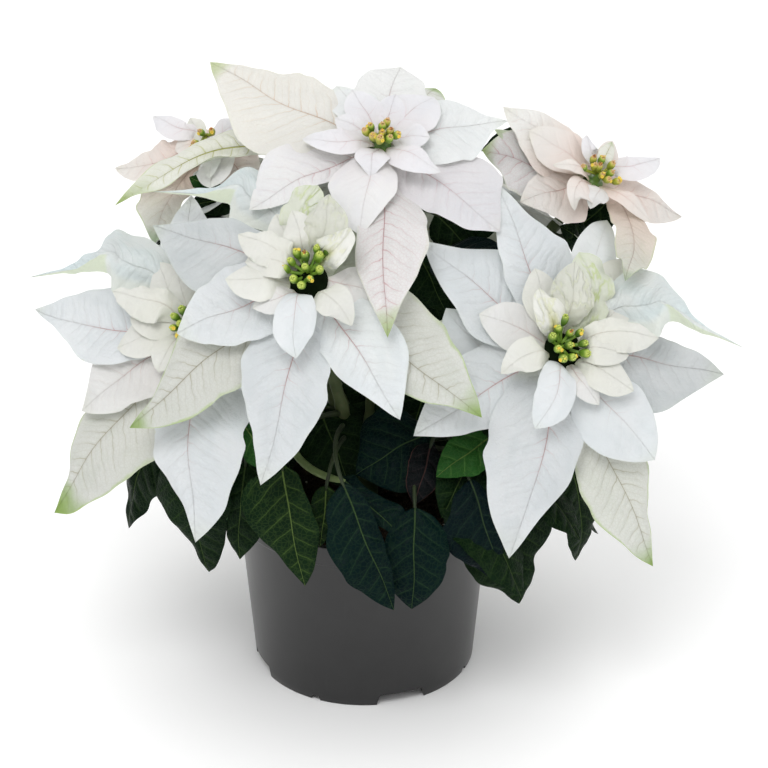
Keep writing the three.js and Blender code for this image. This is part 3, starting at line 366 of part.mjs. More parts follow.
// pot
function potSolid() {
  const rw = (z) => POT_R_BASE + ((POT_R_WALL - POT_R_BASE) * z) / (POT_H - POT_RIM_H);
  const zr = POT_H - POT_RIM_H, t = POT_WALL, f = POT_FLOOR_Z;
  let s = turned([
    [0, 0], [POT_SEAT_R, 0], [POT_SEAT_R + 3, f], [rw(0) - t - 1.6, f], [rw(0) - t, 0.0], [rw(0), 0],
    [rw(zr), zr], [POT_R_RIM, zr + 0.8], [POT_R_RIM, POT_H - 1], [POT_R_RIM - 1, POT_H], [POT_R_RIM - 2.6, POT_H],
    [POT_R_RIM - 3.2, zr + 3], [rw(zr) - t, zr - 1], [rw(f + 3) - t, f + 4], [rw(f) - t - 2.4, f + 2],
    [POT_SEAT_R + 1.2, f + 2], [POT_SEAT_R - 1.6, 2], [0, 2],
  ], POT_SEGS);
  const cut = (deg, width, h) => {
    const w = 2 * POT_R_BASE * Math.sin((width * Math.PI) / 360);
    const g = new THREE.BoxGeometry(16, w, h + 2);
    g.translate(POT_R_BASE, 0, h / 2 - 1);
    g.rotateZ((deg * Math.PI) / 180);
    s = s.subtract(solidOf(g));
  };
  for (const a of SLOT_AT) cut(a, SLOT_DEG, SLOT_H);
  for (const a of NICK_AT) cut(a, NICK_DEG, NICK_H);
  for (let i = 0; i < 8; i++) {
    const g = new THREE.CylinderGeometry(DRAIN_R, DRAIN_R, 8, 8);
    g.rotateX(Math.PI / 2);
    const a = ((i * 45 + 19.5) * Math.PI) / 180;
    g.translate((DRAIN_PCD / 2) * Math.cos(a), (DRAIN_PCD / 2) * Math.sin(a), POT_FLOOR_Z + 1);
    s = s.subtract(solidOf(g));
  }
  return s;
}
{
  const s = potSolid();
  pieces.push({ name: 'pot', solid: s, thick: s, color: 0x3a3b3c, rough: 0.5 });
}

// compost: fills the pot, 0.5 mm clear of it, domed a little round the stem
{
  const rw = (z) => POT_R_BASE + ((POT_R_WALL - POT_R_BASE) * z) / (POT_H - POT_RIM_H) - POT_WALL - 0.5;
  const f = POT_FLOOR_Z + 2.5;
  const s = turned([
    [0, 2.5], [POT_SEAT_R - 2.2, 2.5], [POT_SEAT_R + 0.6, f], [rw(f) - 3.0, f], [rw(f + 2) - 0.2, f + 2.4],
    [rw(104), 104], [rw(104) - 3, COMPOST_Z], [30, COMPOST_Z + 2.5], [0, COMPOST_Z + 3.5],
  ], POT_SEGS);
  pieces.push({ name: 'compost', solid: s, thick: s, color: 0x2a1d14, rough: 0.95, cutBy: ['stems'] });
}

// stems: the main stem stands in the compost and divides above it
piece('stems', (g) => {
  const main = new THREE.CylinderGeometry(STEM_R - 1.5 + g, STEM_R + 0.5 + g, 84 + 2 * g, 10);
  main.rotateX(Math.PI / 2);
  main.translate(0, 0, 60 + 42);
  const parts = [solidOf(main)];
  for (const [, p0, p1, p2, p3] of STEMS) {
    const c = new THREE.CubicBezierCurve3(V(p0).addScaledVector(new THREE.Vector3(0, 0, 1), -6), V(p1), V(p2), V(p3));
    parts.push(tube(c, BRANCH_R + g, 5, 5));
  }
  return addAll(parts);
}, 0x5d6b2c, 0.7);

// flower heads
const uOuter = [0, 0.25, 0.62, 1], uMid = [0, 0.48, 1], uIn = [0, 0.48, 1];
for (const [h, c0, n0] of HEADS) {
  const c = V(c0), n = V(n0).normalize();
  const rows = BRACTS.filter((r) => r[0][0] === h);
  const build = (sel, us, cols) => (g) => rows.filter((r) => sel.includes(r[1])).map((r) => blade({
    B: V(r[2]), T: V(r[3]), N: V(r[4]).normalize(), arch: r[5], bend: r[6], tipc: r[7], fold: cols === 3 ? 0.12 : 0,
    L: r[11], R: r[12], t: BRACT_T, us, cols, grow: g,
  }));
  const buds = [];
  const e1 = new THREE.Vector3(0, 0, 1).cross(n).normalize(), e2 = new THREE.Vector3().crossVectors(n, e1);
  for (let i = 0; i < 5; i++) {
    const r = i ? 5.0 : 0, a = (i * Math.PI * 2) / 4;
    const g = new THREE.OctahedronGeometry(3.0, 0);
    g.scale(1, 1, 1.3);
    g.applyQuaternion(new THREE.Quaternion().setFromUnitVectors(new THREE.Vector3(0, 0, 1), n));
    const p = c.clone().addScaledVector(e1, r * Math.cos(a)).addScaledVector(e2, r * Math.sin(a)).addScaledVector(n, 3.6);
    g.translate(p.x, p.y, p.z);
    buds.push(solidOf(g));
  }
  piece(`flower_cups_${h}`, (g) => addAll([plug(c, n, 1.0 + g, -1.6 - g, 4.2 + g, 6.2 + g, 6), ...(g ? [plug(c, n, 1.0 + g, -8.2, 9.4, 9.4, 8)] : buds)]), 0xa9b83c, 0.5);
  piece(`inner_bracts_${h}`, (g) => addAll([
    plug(c, n, 9.5 + g, 1.5 - g, 6.6 + g, 6.2 + g, 8), ...build(['m'], uMid, 2)(g), ...build(['i2'], uIn, 2)(g),
  ]), 0xf1ece0, 0.6);
  piece(`outer_bracts_${h}`, (g) => addAll([
    plug(c, n, 24 + g, 10 - g, 5.2 + g, HUB_R + g, 8), ...build(['o', 'o2'], uOuter, 2)(g),
  ]), 0xf2f3f0, 0.6);
}

// foliage leaves, each with its stalk
const uLeaf = [0, 0.24, 0.62, 1];
for (const [name, S, B, T, N, arch, , , L, R] of LEAVES) {
  const b = V(B), t = V(T), n = V(N).normalize(), s0 = V(S);
  const dir = t.clone().sub(b).normalize();
  const c = b.clone().addScaledVector(dir, -0.4 * b.distanceTo(s0)).addScaledVector(n, 0.12 * b.distanceTo(s0));
  const stalk = new THREE.QuadraticBezierCurve3(s0, c, b.clone().addScaledVector(dir, 2.5));
  piece(`leaf_${name.slice(1)}`, (g) => addAll([
    blade({ B: b, T: t, N: n, arch, bend: 0, tipc: 0, fold: 0, L, R, t: LEAF_T, us: uLeaf, cols: 2, grow: g }),
    tube(stalk, PETIOLE_R + g, 4, 3),
  ]), 0x16301b, 0.55);
}

// ---- neighbours are cut back from each other, and each keeps its largest body
const group = new THREE.Group();
group.name = 'poinsettia';
const report = [];
for (const p of pieces) {
  const b = p.solid.boundingBox();
  p.box = b; p.tb = p.thick.boundingBox();
}
const hit = (a, b) => a.min[0] < b.max[0] && b.min[0] < a.max[0] && a.min[1] < b.max[1] && b.min[1] < a.max[1] && a.min[2] < b.max[2] && b.min[2] < a.max[2];
const stems = pieces.find((p) => p.name === 'stems');
pieces.forEach((p, i) => {
  let s = p.solid;
  for (let j = 0; j < i; j++) {
    const q = pieces[j];
    if (q.name === 'compost' && p.name === 'stems') continue;
    if (hit(p.box, q.tb)) s = s.subtract(q.thick);
  }
  if (p.cutBy) s = s.subtract(stems.thick);
  const bodies = s.decompose();
  let best = bodies[0];
  for (const b of bodies) if (b.volume() > best.volume()) best = b;
  report.push([p.name, best.numTri(), bodies.length, (best.volume() / p.solid.volume()).toFixed(2)]);
  const m = best.getMesh();
  const g = new THREE.BufferGeometry();
  const vp = new Float32Array((m.vertProperties.length / m.numProp) * 3);
  for (let k = 0; k < vp.length / 3; k++) for (let d = 0; d < 3; d++) vp[k * 3 + d] = m.vertProperties[k * m.numProp + d];
  g.setAttribute('position', new THREE.BufferAttribute(vp, 3));
  g.setIndex(new THREE.BufferAttribute(new Uint32Array(m.triVerts), 1));
  g.computeVertexNormals();
  const mesh = new THREE.Mesh(g, new THREE.MeshStandardMaterial({ color: p.color, roughness: p.rough, metalness: 0 }));
  mesh.name = p.name;
  group.add(mesh);
});

export default group;
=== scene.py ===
# A white poinsettia in its nursery pot: the finished surfaces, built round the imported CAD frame.
import bpy
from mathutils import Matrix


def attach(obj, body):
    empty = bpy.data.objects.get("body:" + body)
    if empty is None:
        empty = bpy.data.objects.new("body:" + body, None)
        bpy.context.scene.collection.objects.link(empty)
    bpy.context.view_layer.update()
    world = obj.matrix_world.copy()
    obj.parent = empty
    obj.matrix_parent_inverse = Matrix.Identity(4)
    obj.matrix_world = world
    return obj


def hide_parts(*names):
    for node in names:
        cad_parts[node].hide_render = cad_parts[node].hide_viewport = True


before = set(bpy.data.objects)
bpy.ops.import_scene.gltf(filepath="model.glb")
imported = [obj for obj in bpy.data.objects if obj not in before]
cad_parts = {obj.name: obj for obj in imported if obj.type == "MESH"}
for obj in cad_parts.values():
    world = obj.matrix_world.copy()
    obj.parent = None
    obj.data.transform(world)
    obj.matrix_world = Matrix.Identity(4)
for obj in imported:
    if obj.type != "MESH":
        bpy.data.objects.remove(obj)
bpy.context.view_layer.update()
import bpy, bmesh, math, random, zlib
import numpy as np
from mathutils import Matrix, Vector

MM = 0.001
US = [0.08, 0.22, 0.38, 0.54, 0.70, 0.84, 0.94]

# flower heads: letter, centre of the flower cups, axis of the head (mm)
HEADS = [
  ['A',[10.2,18.0,349.1],[0.000,-0.469,0.883]],
  ['B',[147.8,62.0,307.8],[0.412,-0.458,0.788]],
  ['C',[-100.4,82.0,326.0],[-0.416,-0.374,0.829]],
  ['D',[-31.5,-72.0,297.5],[-0.144,-0.679,0.719]],
  ['E',[116.8,-62.0,247.2],[0.254,-0.698,0.669]],
  ['F',[-104.2,-40.0,251.8],[-0.338,-0.635,0.695]],
  ['G',[72.0,138.0,269.0],[0.294,0.630,0.719]],
  ['H',[-62.0,140.0,275.0],[-0.251,0.620,0.743]]
]

# branches: head, then four control points
STEMS = [
  ['A',[0.7,1.9,150.0],[9.8,28.4,180.0],[10.2,52.2,284.9],[10.2,29.6,327.2]],
  ['B',[1.8,0.9,141.0],[26.5,14.1,171.0],[117.8,95.3,250.4],[137.6,73.3,288.3]],
  ['C',[-1.4,1.4,144.0],[-21.1,21.4,174.0],[-70.1,109.2,265.7],[-90.1,91.3,305.5]],
  ['D',[-0.9,-1.8,134.0],[-13.5,-26.8,164.0],[-21.0,-22.5,245.1],[-27.9,-55.1,279.7]],
  ['E',[1.9,-0.7,128.0],[27.8,-11.2,158.0],[98.3,-11.2,198.4],[110.5,-44.7,230.6]],
  ['F',[-1.9,-0.5,130.0],[-29.1,-7.4,160.0],[-79.6,6.2,201.2],[-95.8,-24.2,234.6]],
  ['G',[0.9,1.8,137.0],[14.0,26.5,167.0],[50.6,92.2,216.6],[64.7,122.4,251.2]],
  ['H',[-0.8,1.8,139.0],[-12.3,27.4,169.0],[-43.8,94.8,220.9],[-55.8,124.6,256.6]]
]

# bracts: name, layer, base, tip, upper-side normal, arch, bend, tip curl, ruffle, tone, midrib share, half widths left and right (mm)
BRACTS = [
  ['E1','o',[109.4,-51.1,241.2],[33.9,-21.0,295.8],[0.226,-0.688,0.690],0.050,0.020,0.000,0.000,'white',0.55,[12.4,21.0,25.2,20.8,17.2,8.3,2.8],[16.0,28.0,34.6,31.3,20.7,10.9,4.6]],
  ['E2','o',[111.7,-49.5,242.0],[79.9,6.5,320.6],[0.271,-0.729,0.629],0.060,0.000,0.000,0.000,'white',0.60,[8.7,14.1,16.2,15.4,11.7,6.7,2.8],[14.8,25.5,31.0,30.1,20.2,9.2,3.9]],
  ['E3','m',[117.0,-53.0,245.1],[151.3,52.1,278.4],[0.390,-0.391,0.833],0.100,0.000,0.000,0.000,'cream',0.30,[6.3,11.3,14.0,14.4,12.6,9.0,4.7],[6.3,11.3,14.0,14.4,12.6,9.0,4.7]],
  ['E12','o',[112.5,-56.3,234.6],[85.5,-122.0,137.2],[0.211,-0.836,0.506],0.070,0.030,0.000,0.000,'white',0.65,[11.2,18.5,21.9,21.1,13.6,6.5,2.8],[17.8,29.4,34.3,33.9,27.1,17.6,7.6]],
  ['E13','o2',[114.0,-50.1,230.7],[174.3,-86.8,111.0],[0.393,-0.805,0.444],0.060,0.000,0.000,0.000,'green',0.90,[13.1,21.8,25.7,25.1,15.8,7.6,3.2],[11.9,12.8,15.4,26.2,23.9,15.0,6.3]],
  ['E14','m',[118.6,-58.4,238.9],[173.3,-75.8,177.6],[0.376,-0.747,0.548],0.080,0.000,0.000,0.000,'white',0.60,[9.6,17.5,22.0,22.9,19.4,12.7,6.5],[10.7,19.2,23.8,24.4,21.3,15.1,7.9]],
  ['E15','o',[118.4,-51.7,237.2],[219.0,-22.9,208.2],[0.376,-0.670,0.640],0.060,0.000,0.000,0.000,'white',0.55,[11.1,17.1,18.4,17.3,15.8,9.2,3.9],[14.5,25.0,30.7,30.9,21.4,10.9,4.6]],
  ['E10','o',[109.1,-55.3,236.9],[29.8,-87.7,199.8],[0.052,-0.805,0.591],0.060,0.000,0.000,0.000,'white',0.60,[11.5,18.3,20.6,19.6,15.4,9.5,4.0],[13.0,20.9,25.1,25.7,20.1,12.4,5.2]],
  ['E20','o2',[115.9,-46.7,233.6],[236.0,17.7,207.3],[0.467,-0.608,0.643],0.160,0.100,0.060,0.000,'grey',0.30,[8.6,15.1,18.9,12.5,6.3,3.9,1.6],[4.3,6.2,6.2,6.1,6.3,4.7,2.1]],
  ['E8','m',[110.1,-56.4,244.2],[68.2,-54.2,262.9],[0.261,-0.699,0.666],0.050,0.000,0.000,0.000,'pinkish',0.60,[6.4,11.5,14.2,14.6,12.7,9.1,4.8],[6.4,11.5,14.2,14.6,12.7,9.1,4.8]],
  ['E11','i2',[114.4,-63.1,241.6],[100.5,-99.4,211.1],[0.263,-0.677,0.687],0.090,0.000,0.000,0.000,'white',0.50,[5.7,10.2,12.6,12.9,11.3,8.1,4.2],[5.7,10.2,12.6,12.9,11.3,8.1,4.2]],
  ['E17','m',[119.4,-57.5,239.6],[160.2,-64.2,216.2],[0.264,-0.700,0.664],0.080,0.000,0.000,0.000,'cream',0.40,[6.2,11.1,13.8,14.1,12.3,8.8,4.6],[6.2,11.1,13.8,14.1,12.3,8.8,4.6]],
  ['E19','m',[119.8,-55.1,241.9],[175.2,-37.7,240.9],[0.233,-0.705,0.670],0.100,0.000,0.000,0.090,'cream',0.30,[5.8,10.5,12.9,13.3,11.6,8.3,4.3],[5.8,10.5,12.9,13.3,11.6,8.3,4.3]],
  ['E4','m',[115.3,-53.0,245.7],[118.3,-5.1,280.6],[0.265,-0.578,0.771],0.100,0.000,0.000,0.120,'palegreen',0.20,[7.5,13.4,16.6,17.1,14.9,10.6,5.6],[7.5,13.4,16.6,17.1,14.9,10.6,5.6]],
  ['E6','i2',[114.7,-56.4,248.5],[108.0,-39.4,273.6],[0.278,-0.759,0.588],0.100,0.000,0.000,0.000,'palegreen',0.30,[4.4,7.9,9.8,10.0,8.8,6.3,3.3],[4.4,7.9,9.8,10.0,8.8,6.3,3.3]],
  ['E9','i2',[111.7,-62.0,243.7],[80.5,-80.1,236.1],[0.246,-0.703,0.667],0.100,0.000,0.000,0.000,'cream',0.30,[3.6,6.4,7.9,8.1,7.1,5.1,2.7],[3.6,6.4,7.9,8.1,7.1,5.1,2.7]],
  ['E5','i2',[116.7,-55.9,248.2],[125.8,-24.0,285.5],[0.237,-0.766,0.598],0.080,0.000,0.000,0.000,'cream',0.30,[6.3,11.4,14.1,14.4,12.6,9.0,4.7],[6.3,11.4,14.1,14.4,12.6,9.0,4.7]],
  ['E16','i2',[120.6,-59.2,243.2],[155.4,-61.5,236.5],[0.093,-0.698,0.711],0.100,0.000,0.000,0.000,'cream',0.30,[4.4,7.9,9.7,10.0,8.7,6.2,3.3],[4.4,7.9,9.7,10.0,8.7,6.2,3.3]],
  ['E18','i2',[118.4,-62.0,241.2],[137.4,-82.0,217.9],[0.208,-0.651,0.730],0.080,0.000,0.000,0.000,'pinkish',0.30,[3.4,6.1,7.5,7.7,6.7,4.8,2.5],[3.4,6.1,7.5,7.7,6.7,4.8,2.5]],
  ['E21','m',[118.2,-53.4,244.2],[172.0,33.0,261.0],[0.462,-0.437,0.772],0.100,0.000,0.000,0.000,'cream',0.30,[5.7,10.3,12.7,13.0,11.4,8.1,4.3],[5.7,10.3,12.7,13.0,11.4,8.1,4.3]],
  ['D1','o',[-26.9,-66.3,285.0],[21.8,-110.2,221.9],[-0.012,-0.825,0.565],0.070,0.000,0.000,0.000,'white',0.55,[14.3,20.3,23.1,26.6,21.6,13.5,5.8],[10.3,16.5,18.6,18.3,13.1,6.6,2.8]],
  ['D3','o',[-31.0,-66.3,284.2],[-58.3,-122.8,186.2],[-0.207,-0.821,0.531],0.070,0.030,0.000,0.000,'white',0.60,[12.5,17.0,23.7,25.9,18.8,11.7,4.9],[15.2,24.8,28.8,27.2,17.9,11.2,4.8]],
  ['D7','o',[-34.4,-63.5,286.1],[-107.6,-71.9,258.5],[-0.188,-0.685,0.704],0.060,0.000,0.000,0.000,'white',0.60,[14.3,21.8,23.2,21.2,18.2,13.0,6.4],[14.8,23.8,27.1,25.9,20.6,12.7,5.3]],
  ['D8','o',[-34.2,-60.8,288.8],[-124.9,-12.5,301.6],[-0.235,-0.635,0.736],0.060,0.000,0.000,0.000,'white',0.50,[13.5,24.1,30.3,31.2,24.9,12.4,5.1],[8.9,14.7,17.1,16.5,12.7,5.9,2.1]],
  ['D20','o2',[-32.3,-59.7,281.1],[-137.1,-78.3,200.3],[-0.331,-0.730,0.598],0.050,0.000,0.000,0.000,'green',0.90,[16.0,24.5,26.3,25.2,21.5,14.8,6.3],[10.5,18.9,23.9,24.8,15.5,5.5,2.4]],
  ['D17','o2',[-25.2,-60.8,281.6],[68.7,-108.2,222.4],[0.010,-0.772,0.635],0.060,0.000,0.000,0.000,'green',0.90,[15.3,26.4,32.1,31.1,24.5,14.2,5.9],[10.0,16.3,18.9,18.1,14.5,7.6,3.0]],
  ['D10','o2',[-32.1,-56.1,284.6],[-129.4,32.1,305.7],[-0.322,-0.541,0.777],0.160,-0.100,0.060,0.000,'grey',0.30,[3.3,5.1,5.3,5.2,5.4,3.4,1.4],[8.1,14.7,18.8,12.2,4.7,2.9,1.2]],
  ['D2','i2',[-31.5,-73.1,291.4],[-37.1,-109.9,260.2],[-0.137,-0.630,0.764],0.090,0.000,0.000,0.000,'white',0.50,[5.8,10.4,12.9,13.2,11.6,8.3,4.3],[5.8,10.4,12.9,13.2,11.6,8.3,4.3]],
  ['D4','m',[-35.5,-66.3,291.6],[-80.6,-60.8,286.9],[-0.157,-0.678,0.718],0.080,0.000,0.000,0.000,'cream',0.30,[6.2,11.2,13.9,14.2,12.4,8.9,4.6],[6.2,11.2,13.9,14.2,12.4,8.9,4.6]],
  ['D9','m',[-34.6,-64.3,293.6],[-78.0,-35.0,306.8],[-0.206,-0.640,0.740],0.100,0.000,0.000,0.100,'cream',0.30,[7.2,13.0,16.1,16.5,14.4,10.3,5.4],[7.2,13.0,16.1,16.5,14.4,10.3,5.4]],
  ['D11','m',[-29.2,-63.3,295.6],[-16.6,-26.0,327.7],[-0.125,-0.622,0.773],0.060,0.000,0.000,0.000,'cream',0.30,[7.5,13.5,16.7,17.2,15.0,10.7,5.6],[7.5,13.5,16.7,17.2,15.0,10.7,5.6]],
  ['D13','m',[-31.2,-63.0,295.5],[-37.0,-13.3,318.2],[-0.185,-0.426,0.886],0.100,0.000,0.000,0.100,'palegreen',0.20,[6.1,10.9,13.5,13.9,12.1,8.7,4.5],[6.1,10.9,13.5,13.9,12.1,8.7,4.5]],
  ['D15','m',[-25.4,-68.2,291.8],[12.6,-68.6,280.3],[0.191,-0.726,0.660],0.080,0.000,0.000,0.000,'pinkish',0.40,[5.3,9.5,11.8,12.1,10.6,7.5,3.9],[7.1,13.2,16.9,17.9,16.1,11.8,6.3]],
  ['D6','i2',[-35.2,-71.0,292.7],[-63.6,-80.1,277.9],[-0.154,-0.683,0.714],0.080,0.000,0.000,0.000,'pinkish',0.40,[3.8,6.9,8.5,8.7,7.6,5.5,2.9],[3.8,6.9,8.5,8.7,7.6,5.5,2.9]],
  ['D5','i2',[-35.6,-67.8,295.6],[-68.7,-58.0,302.7],[-0.058,-0.708,0.704],0.080,0.000,0.000,0.000,'cream',0.30,[4.2,7.5,9.3,9.6,8.4,6.0,3.1],[4.2,7.5,9.3,9.6,8.4,6.0,3.1]],
  ['D14','i2',[-27.5,-67.3,297.7],[-6.9,-57.1,318.5],[-0.256,-0.743,0.618],0.100,0.000,0.000,0.060,'palegreen',0.30,[5.4,9.7,12.0,12.3,10.8,7.7,4.0],[5.4,9.7,12.0,12.3,10.8,7.7,4.0]],
  ['D16','i2',[-28.0,-72.8,292.5],[-5.5,-102.3,277.5],[-0.232,-0.575,0.785],0.120,0.000,0.000,0.000,'cream',0.30,[4.7,8.5,10.5,10.8,9.4,6.7,3.5],[4.7,8.5,10.5,10.8,9.4,6.7,3.5]],
  ['D12','i2',[-31.9,-65.9,298.2],[-37.1,-46.2,317.7],[-0.135,-0.716,0.685],0.060,0.000,0.000,0.000,'cream',0.30,[3.5,6.3,7.8,8.0,7.0,5.0,2.6],[3.5,6.3,7.8,8.0,7.0,5.0,2.6]],
  ['F1','o',[-104.3,-29.2,242.2],[-204.0,24.9,230.0],[-0.409,-0.599,0.688],0.050,0.080,0.000,0.000,'white',0.50,[9.8,17.4,21.7,22.3,12.0,4.5,1.9],[13.5,22.7,27.0,27.3,22.6,14.1,5.9]],
  ['F2','o',[-104.0,-32.0,239.8],[-170.7,-34.3,189.1],[-0.449,-0.645,0.619],0.060,0.000,0.000,0.000,'pinkish',0.60,[14.2,22.1,24.1,21.7,18.9,12.6,5.5],[15.7,26.1,30.7,29.9,24.3,16.2,6.9]],
  ['F8','o2',[-100.5,-28.7,235.2],[-188.7,-52.6,128.7],[-0.478,-0.685,0.550],0.060,0.000,0.000,0.000,'green',0.90,[17.7,29.2,34.1,33.1,28.2,19.5,10.5],[12.6,21.5,25.9,25.9,19.2,7.0,2.2]],
  ['F9','o',[-100.0,-35.1,238.8],[-99.0,-100.1,135.2],[-0.347,-0.796,0.495],0.060,0.000,0.000,0.000,'white',0.60,[18.3,31.0,37.1,36.4,28.1,20.1,8.8],[10.7,18.8,23.2,23.6,15.2,6.6,2.1]],
  ['F6','o2',[-101.1,-24.9,238.3],[-215.6,71.0,231.0],[-0.486,-0.527,0.698],0.160,-0.100,0.060,0.000,'grey',0.30,[3.3,5.1,5.4,6.3,3.8,2.3,1.0],[5.4,9.3,11.2,7.6,5.3,3.2,1.4]],
  ['F10','o',[-100.2,-27.5,245.8],[-106.5,48.7,296.5],[-0.349,-0.540,0.766],0.060,0.000,0.000,0.000,'white',0.50,[12.7,20.4,23.0,21.5,16.9,10.4,4.4],[10.5,16.8,18.9,17.7,13.9,8.5,3.6]],
  ['F12','m',[-98.2,-38.8,244.9],[-59.4,-64.8,217.1],[-0.135,-0.810,0.571],0.060,0.000,0.000,0.000,'white',0.50,[8.7,15.7,19.4,19.9,17.4,12.4,6.5],[8.7,15.7,19.4,19.9,17.4,12.4,6.5]],
  ['F3','m',[-106.4,-34.6,244.7],[-147.7,-30.2,229.4],[-0.326,-0.636,0.699],0.080,0.000,0.000,0.000,'cream',0.30,[5.8,10.4,12.8,13.2,11.5,8.2,4.3],[5.8,10.4,12.8,13.2,11.5,8.2,4.3]],
  ['F5','m',[-105.7,-32.1,247.4],[-146.7,1.7,253.3],[-0.389,-0.595,0.704],0.100,0.000,0.000,0.100,'cream',0.30,[6.8,12.3,15.2,15.5,13.6,9.7,5.1],[6.8,12.3,15.2,15.5,13.6,9.7,5.1]],
  ['F7','m',[-102.7,-31.2,249.7],[-111.5,14.7,277.4],[-0.361,-0.533,0.765],0.080,0.000,0.000,0.000,'cream',0.30,[6.0,10.8,13.3,13.6,11.9,8.5,4.5],[6.0,10.8,13.3,13.6,11.9,8.5,4.5]],
  ['F4','i2',[-107.6,-35.9,248.8],[-139.5,-25.5,247.1],[-0.251,-0.666,0.702],0.080,0.000,0.000,0.000,'cream',0.30,[5.2,9.3,11.5,11.8,10.3,7.3,3.8],[5.2,9.3,11.5,11.8,10.3,7.3,3.8]],
  ['F13','i2',[-103.9,-33.9,252.4],[-110.7,-13.7,272.0],[-0.314,-0.714,0.626],0.080,0.000,0.000,0.000,'cream',0.30,[4.1,7.3,9.0,9.3,8.1,5.8,3.0],[4.1,7.3,9.0,9.3,8.1,5.8,3.0]],
  ['F14','i2',[-105.5,-40.2,245.8],[-121.1,-55.9,225.9],[-0.313,-0.610,0.728],0.080,0.000,0.000,0.000,'cream',0.30,[5.2,9.3,11.5,11.8,10.3,7.3,3.8],[5.2,9.3,11.5,11.8,10.3,7.3,3.8]],
  ['F15','i2',[-99.1,-40.8,248.4],[-82.7,-55.2,245.2],[-0.387,-0.594,0.705],0.080,0.000,0.000,0.000,'cream',0.30,[4.4,7.9,9.7,10.0,8.7,6.2,3.3],[4.4,7.9,9.7,10.0,8.7,6.2,3.3]],
  ['A1','o',[5.9,26.9,338.6],[-95.0,88.2,369.0],[-0.013,-0.462,0.887],0.050,0.050,0.000,0.000,'creamo',0.70,[17.3,29.7,36.1,36.2,23.2,13.6,5.7],[14.4,23.1,26.7,27.3,16.9,9.8,4.1]],
  ['A2','o',[5.9,21.8,335.8],[-66.6,-23.7,316.0],[0.036,-0.447,0.894],0.060,0.000,0.000,0.000,'pink',0.60,[7.4,10.7,10.6,9.8,11.2,8.1,3.5],[15.8,25.6,29.3,29.2,24.4,15.0,6.2]],
  ['A4','m',[9.4,17.0,340.0],[-1.9,-42.8,308.2],[-0.000,-0.470,0.883],0.070,0.000,0.000,0.000,'pink',0.55,[6.6,12.4,15.9,15.9,12.2,8.2,4.3],[9.9,18.4,23.6,23.4,19.1,12.5,6.5]],
  ['A7','o',[14.2,21.4,335.7],[81.1,-21.8,301.3],[0.090,-0.531,0.843],0.060,0.000,0.000,0.000,'pink',0.60,[14.0,18.8,20.3,35.1,31.9,20.1,8.5],[11.7,18.8,22.6,19.5,17.7,12.2,5.1]],
  ['A8','o2',[10.3,23.5,329.4],[14.6,-105.5,271.7],[-0.002,-0.408,0.913],0.070,0.000,0.000,0.000,'pinkvein',0.95,[11.8,16.7,24.7,25.9,20.5,9.5,3.4],[9.3,13.8,14.2,16.3,14.3,8.3,3.4]],
  ['A6','m',[14.4,18.8,341.0],[46.4,-2.4,329.7],[-0.000,-0.469,0.883],0.080,0.000,0.000,0.000,'pink',0.40,[6.7,12.1,14.9,15.3,13.4,9.5,5.0],[6.7,12.1,14.9,15.3,13.4,9.5,5.0]],
  ['A11','o',[11.0,28.9,339.6],[23.2,103.4,360.6],[0.033,-0.276,0.961],0.160,0.000,0.000,0.000,'grey',0.30,[13.2,21.1,23.8,22.3,17.5,10.8,4.5],[13.2,21.1,23.8,22.3,17.5,10.8,4.5]],
  ['A12','o',[15.2,25.6,337.9],[87.9,45.3,346.1],[0.026,-0.463,0.886],0.060,0.000,0.000,0.000,'grey',0.50,[12.1,21.3,26.6,23.6,15.5,7.0,2.4],[12.5,21.2,25.5,25.4,21.0,7.2,2.8]],
  ['A13','m',[7.8,25.6,344.6],[-16.8,69.8,359.9],[-0.065,-0.358,0.931],0.080,0.000,0.000,0.000,'grey',0.30,[6.1,10.9,13.5,13.8,12.1,8.6,4.5],[6.1,10.9,13.5,13.8,12.1,8.6,4.5]],
  ['A15','o2',[5.8,27.0,331.2],[-151.1,24.4,299.2],[-0.168,-0.479,0.862],0.050,-0.120,0.000,0.000,'greeno',0.95,[5.4,7.9,7.9,6.5,8.2,6.5,1.2],[10.2,15.9,17.5,16.0,13.7,11.8,5.4]],
  ['A3','m',[5.0,21.6,342.5],[-35.0,22.2,342.8],[0.001,-0.469,0.883],0.080,0.000,0.000,0.000,'pink',0.40,[6.9,12.4,15.4,15.7,13.8,9.8,5.1],[6.9,12.4,15.4,15.7,13.8,9.8,5.1]],
  ['A9','m',[13.8,24.9,344.2],[43.0,52.4,358.9],[-0.001,-0.471,0.882],0.100,0.000,0.000,0.000,'pink',0.40,[7.9,14.2,17.6,18.0,15.8,11.2,5.9],[7.9,14.2,17.6,18.0,15.8,11.2,5.9]],
  ['A5','i2',[9.7,15.3,343.6],[6.7,-11.6,332.7],[0.010,-0.378,0.926],0.080,0.000,0.000,0.000,'pink',0.30,[4.7,8.4,10.3,10.6,9.3,6.6,3.5],[4.7,8.4,10.3,10.6,9.3,6.6,3.5]],
  ['A10','i2',[8.1,23.7,348.1],[-6.8,50.6,364.0],[0.018,-0.502,0.865],0.080,0.000,0.000,0.000,'pink',0.30,[4.9,8.8,10.9,11.2,9.8,7.0,3.6],[4.9,8.8,10.9,11.2,9.8,7.0,3.6]],
  ['A14','i2',[15.2,19.2,345.7],[40.0,15.3,347.0],[-0.116,-0.455,0.883],0.080,0.000,0.000,0.000,'pink',0.30,[4.8,8.6,10.7,11.0,9.6,6.8,3.6],[4.8,8.6,10.7,11.0,9.6,6.8,3.6]],
  ['A16','i2',[5.7,21.6,347.0],[-16.8,30.6,353.4],[0.052,-0.491,0.870],0.080,0.000,0.000,0.000,'pink',0.30,[4.2,7.5,9.3,9.6,8.4,6.0,3.1],[4.2,7.5,9.3,9.6,8.4,6.0,3.1]],
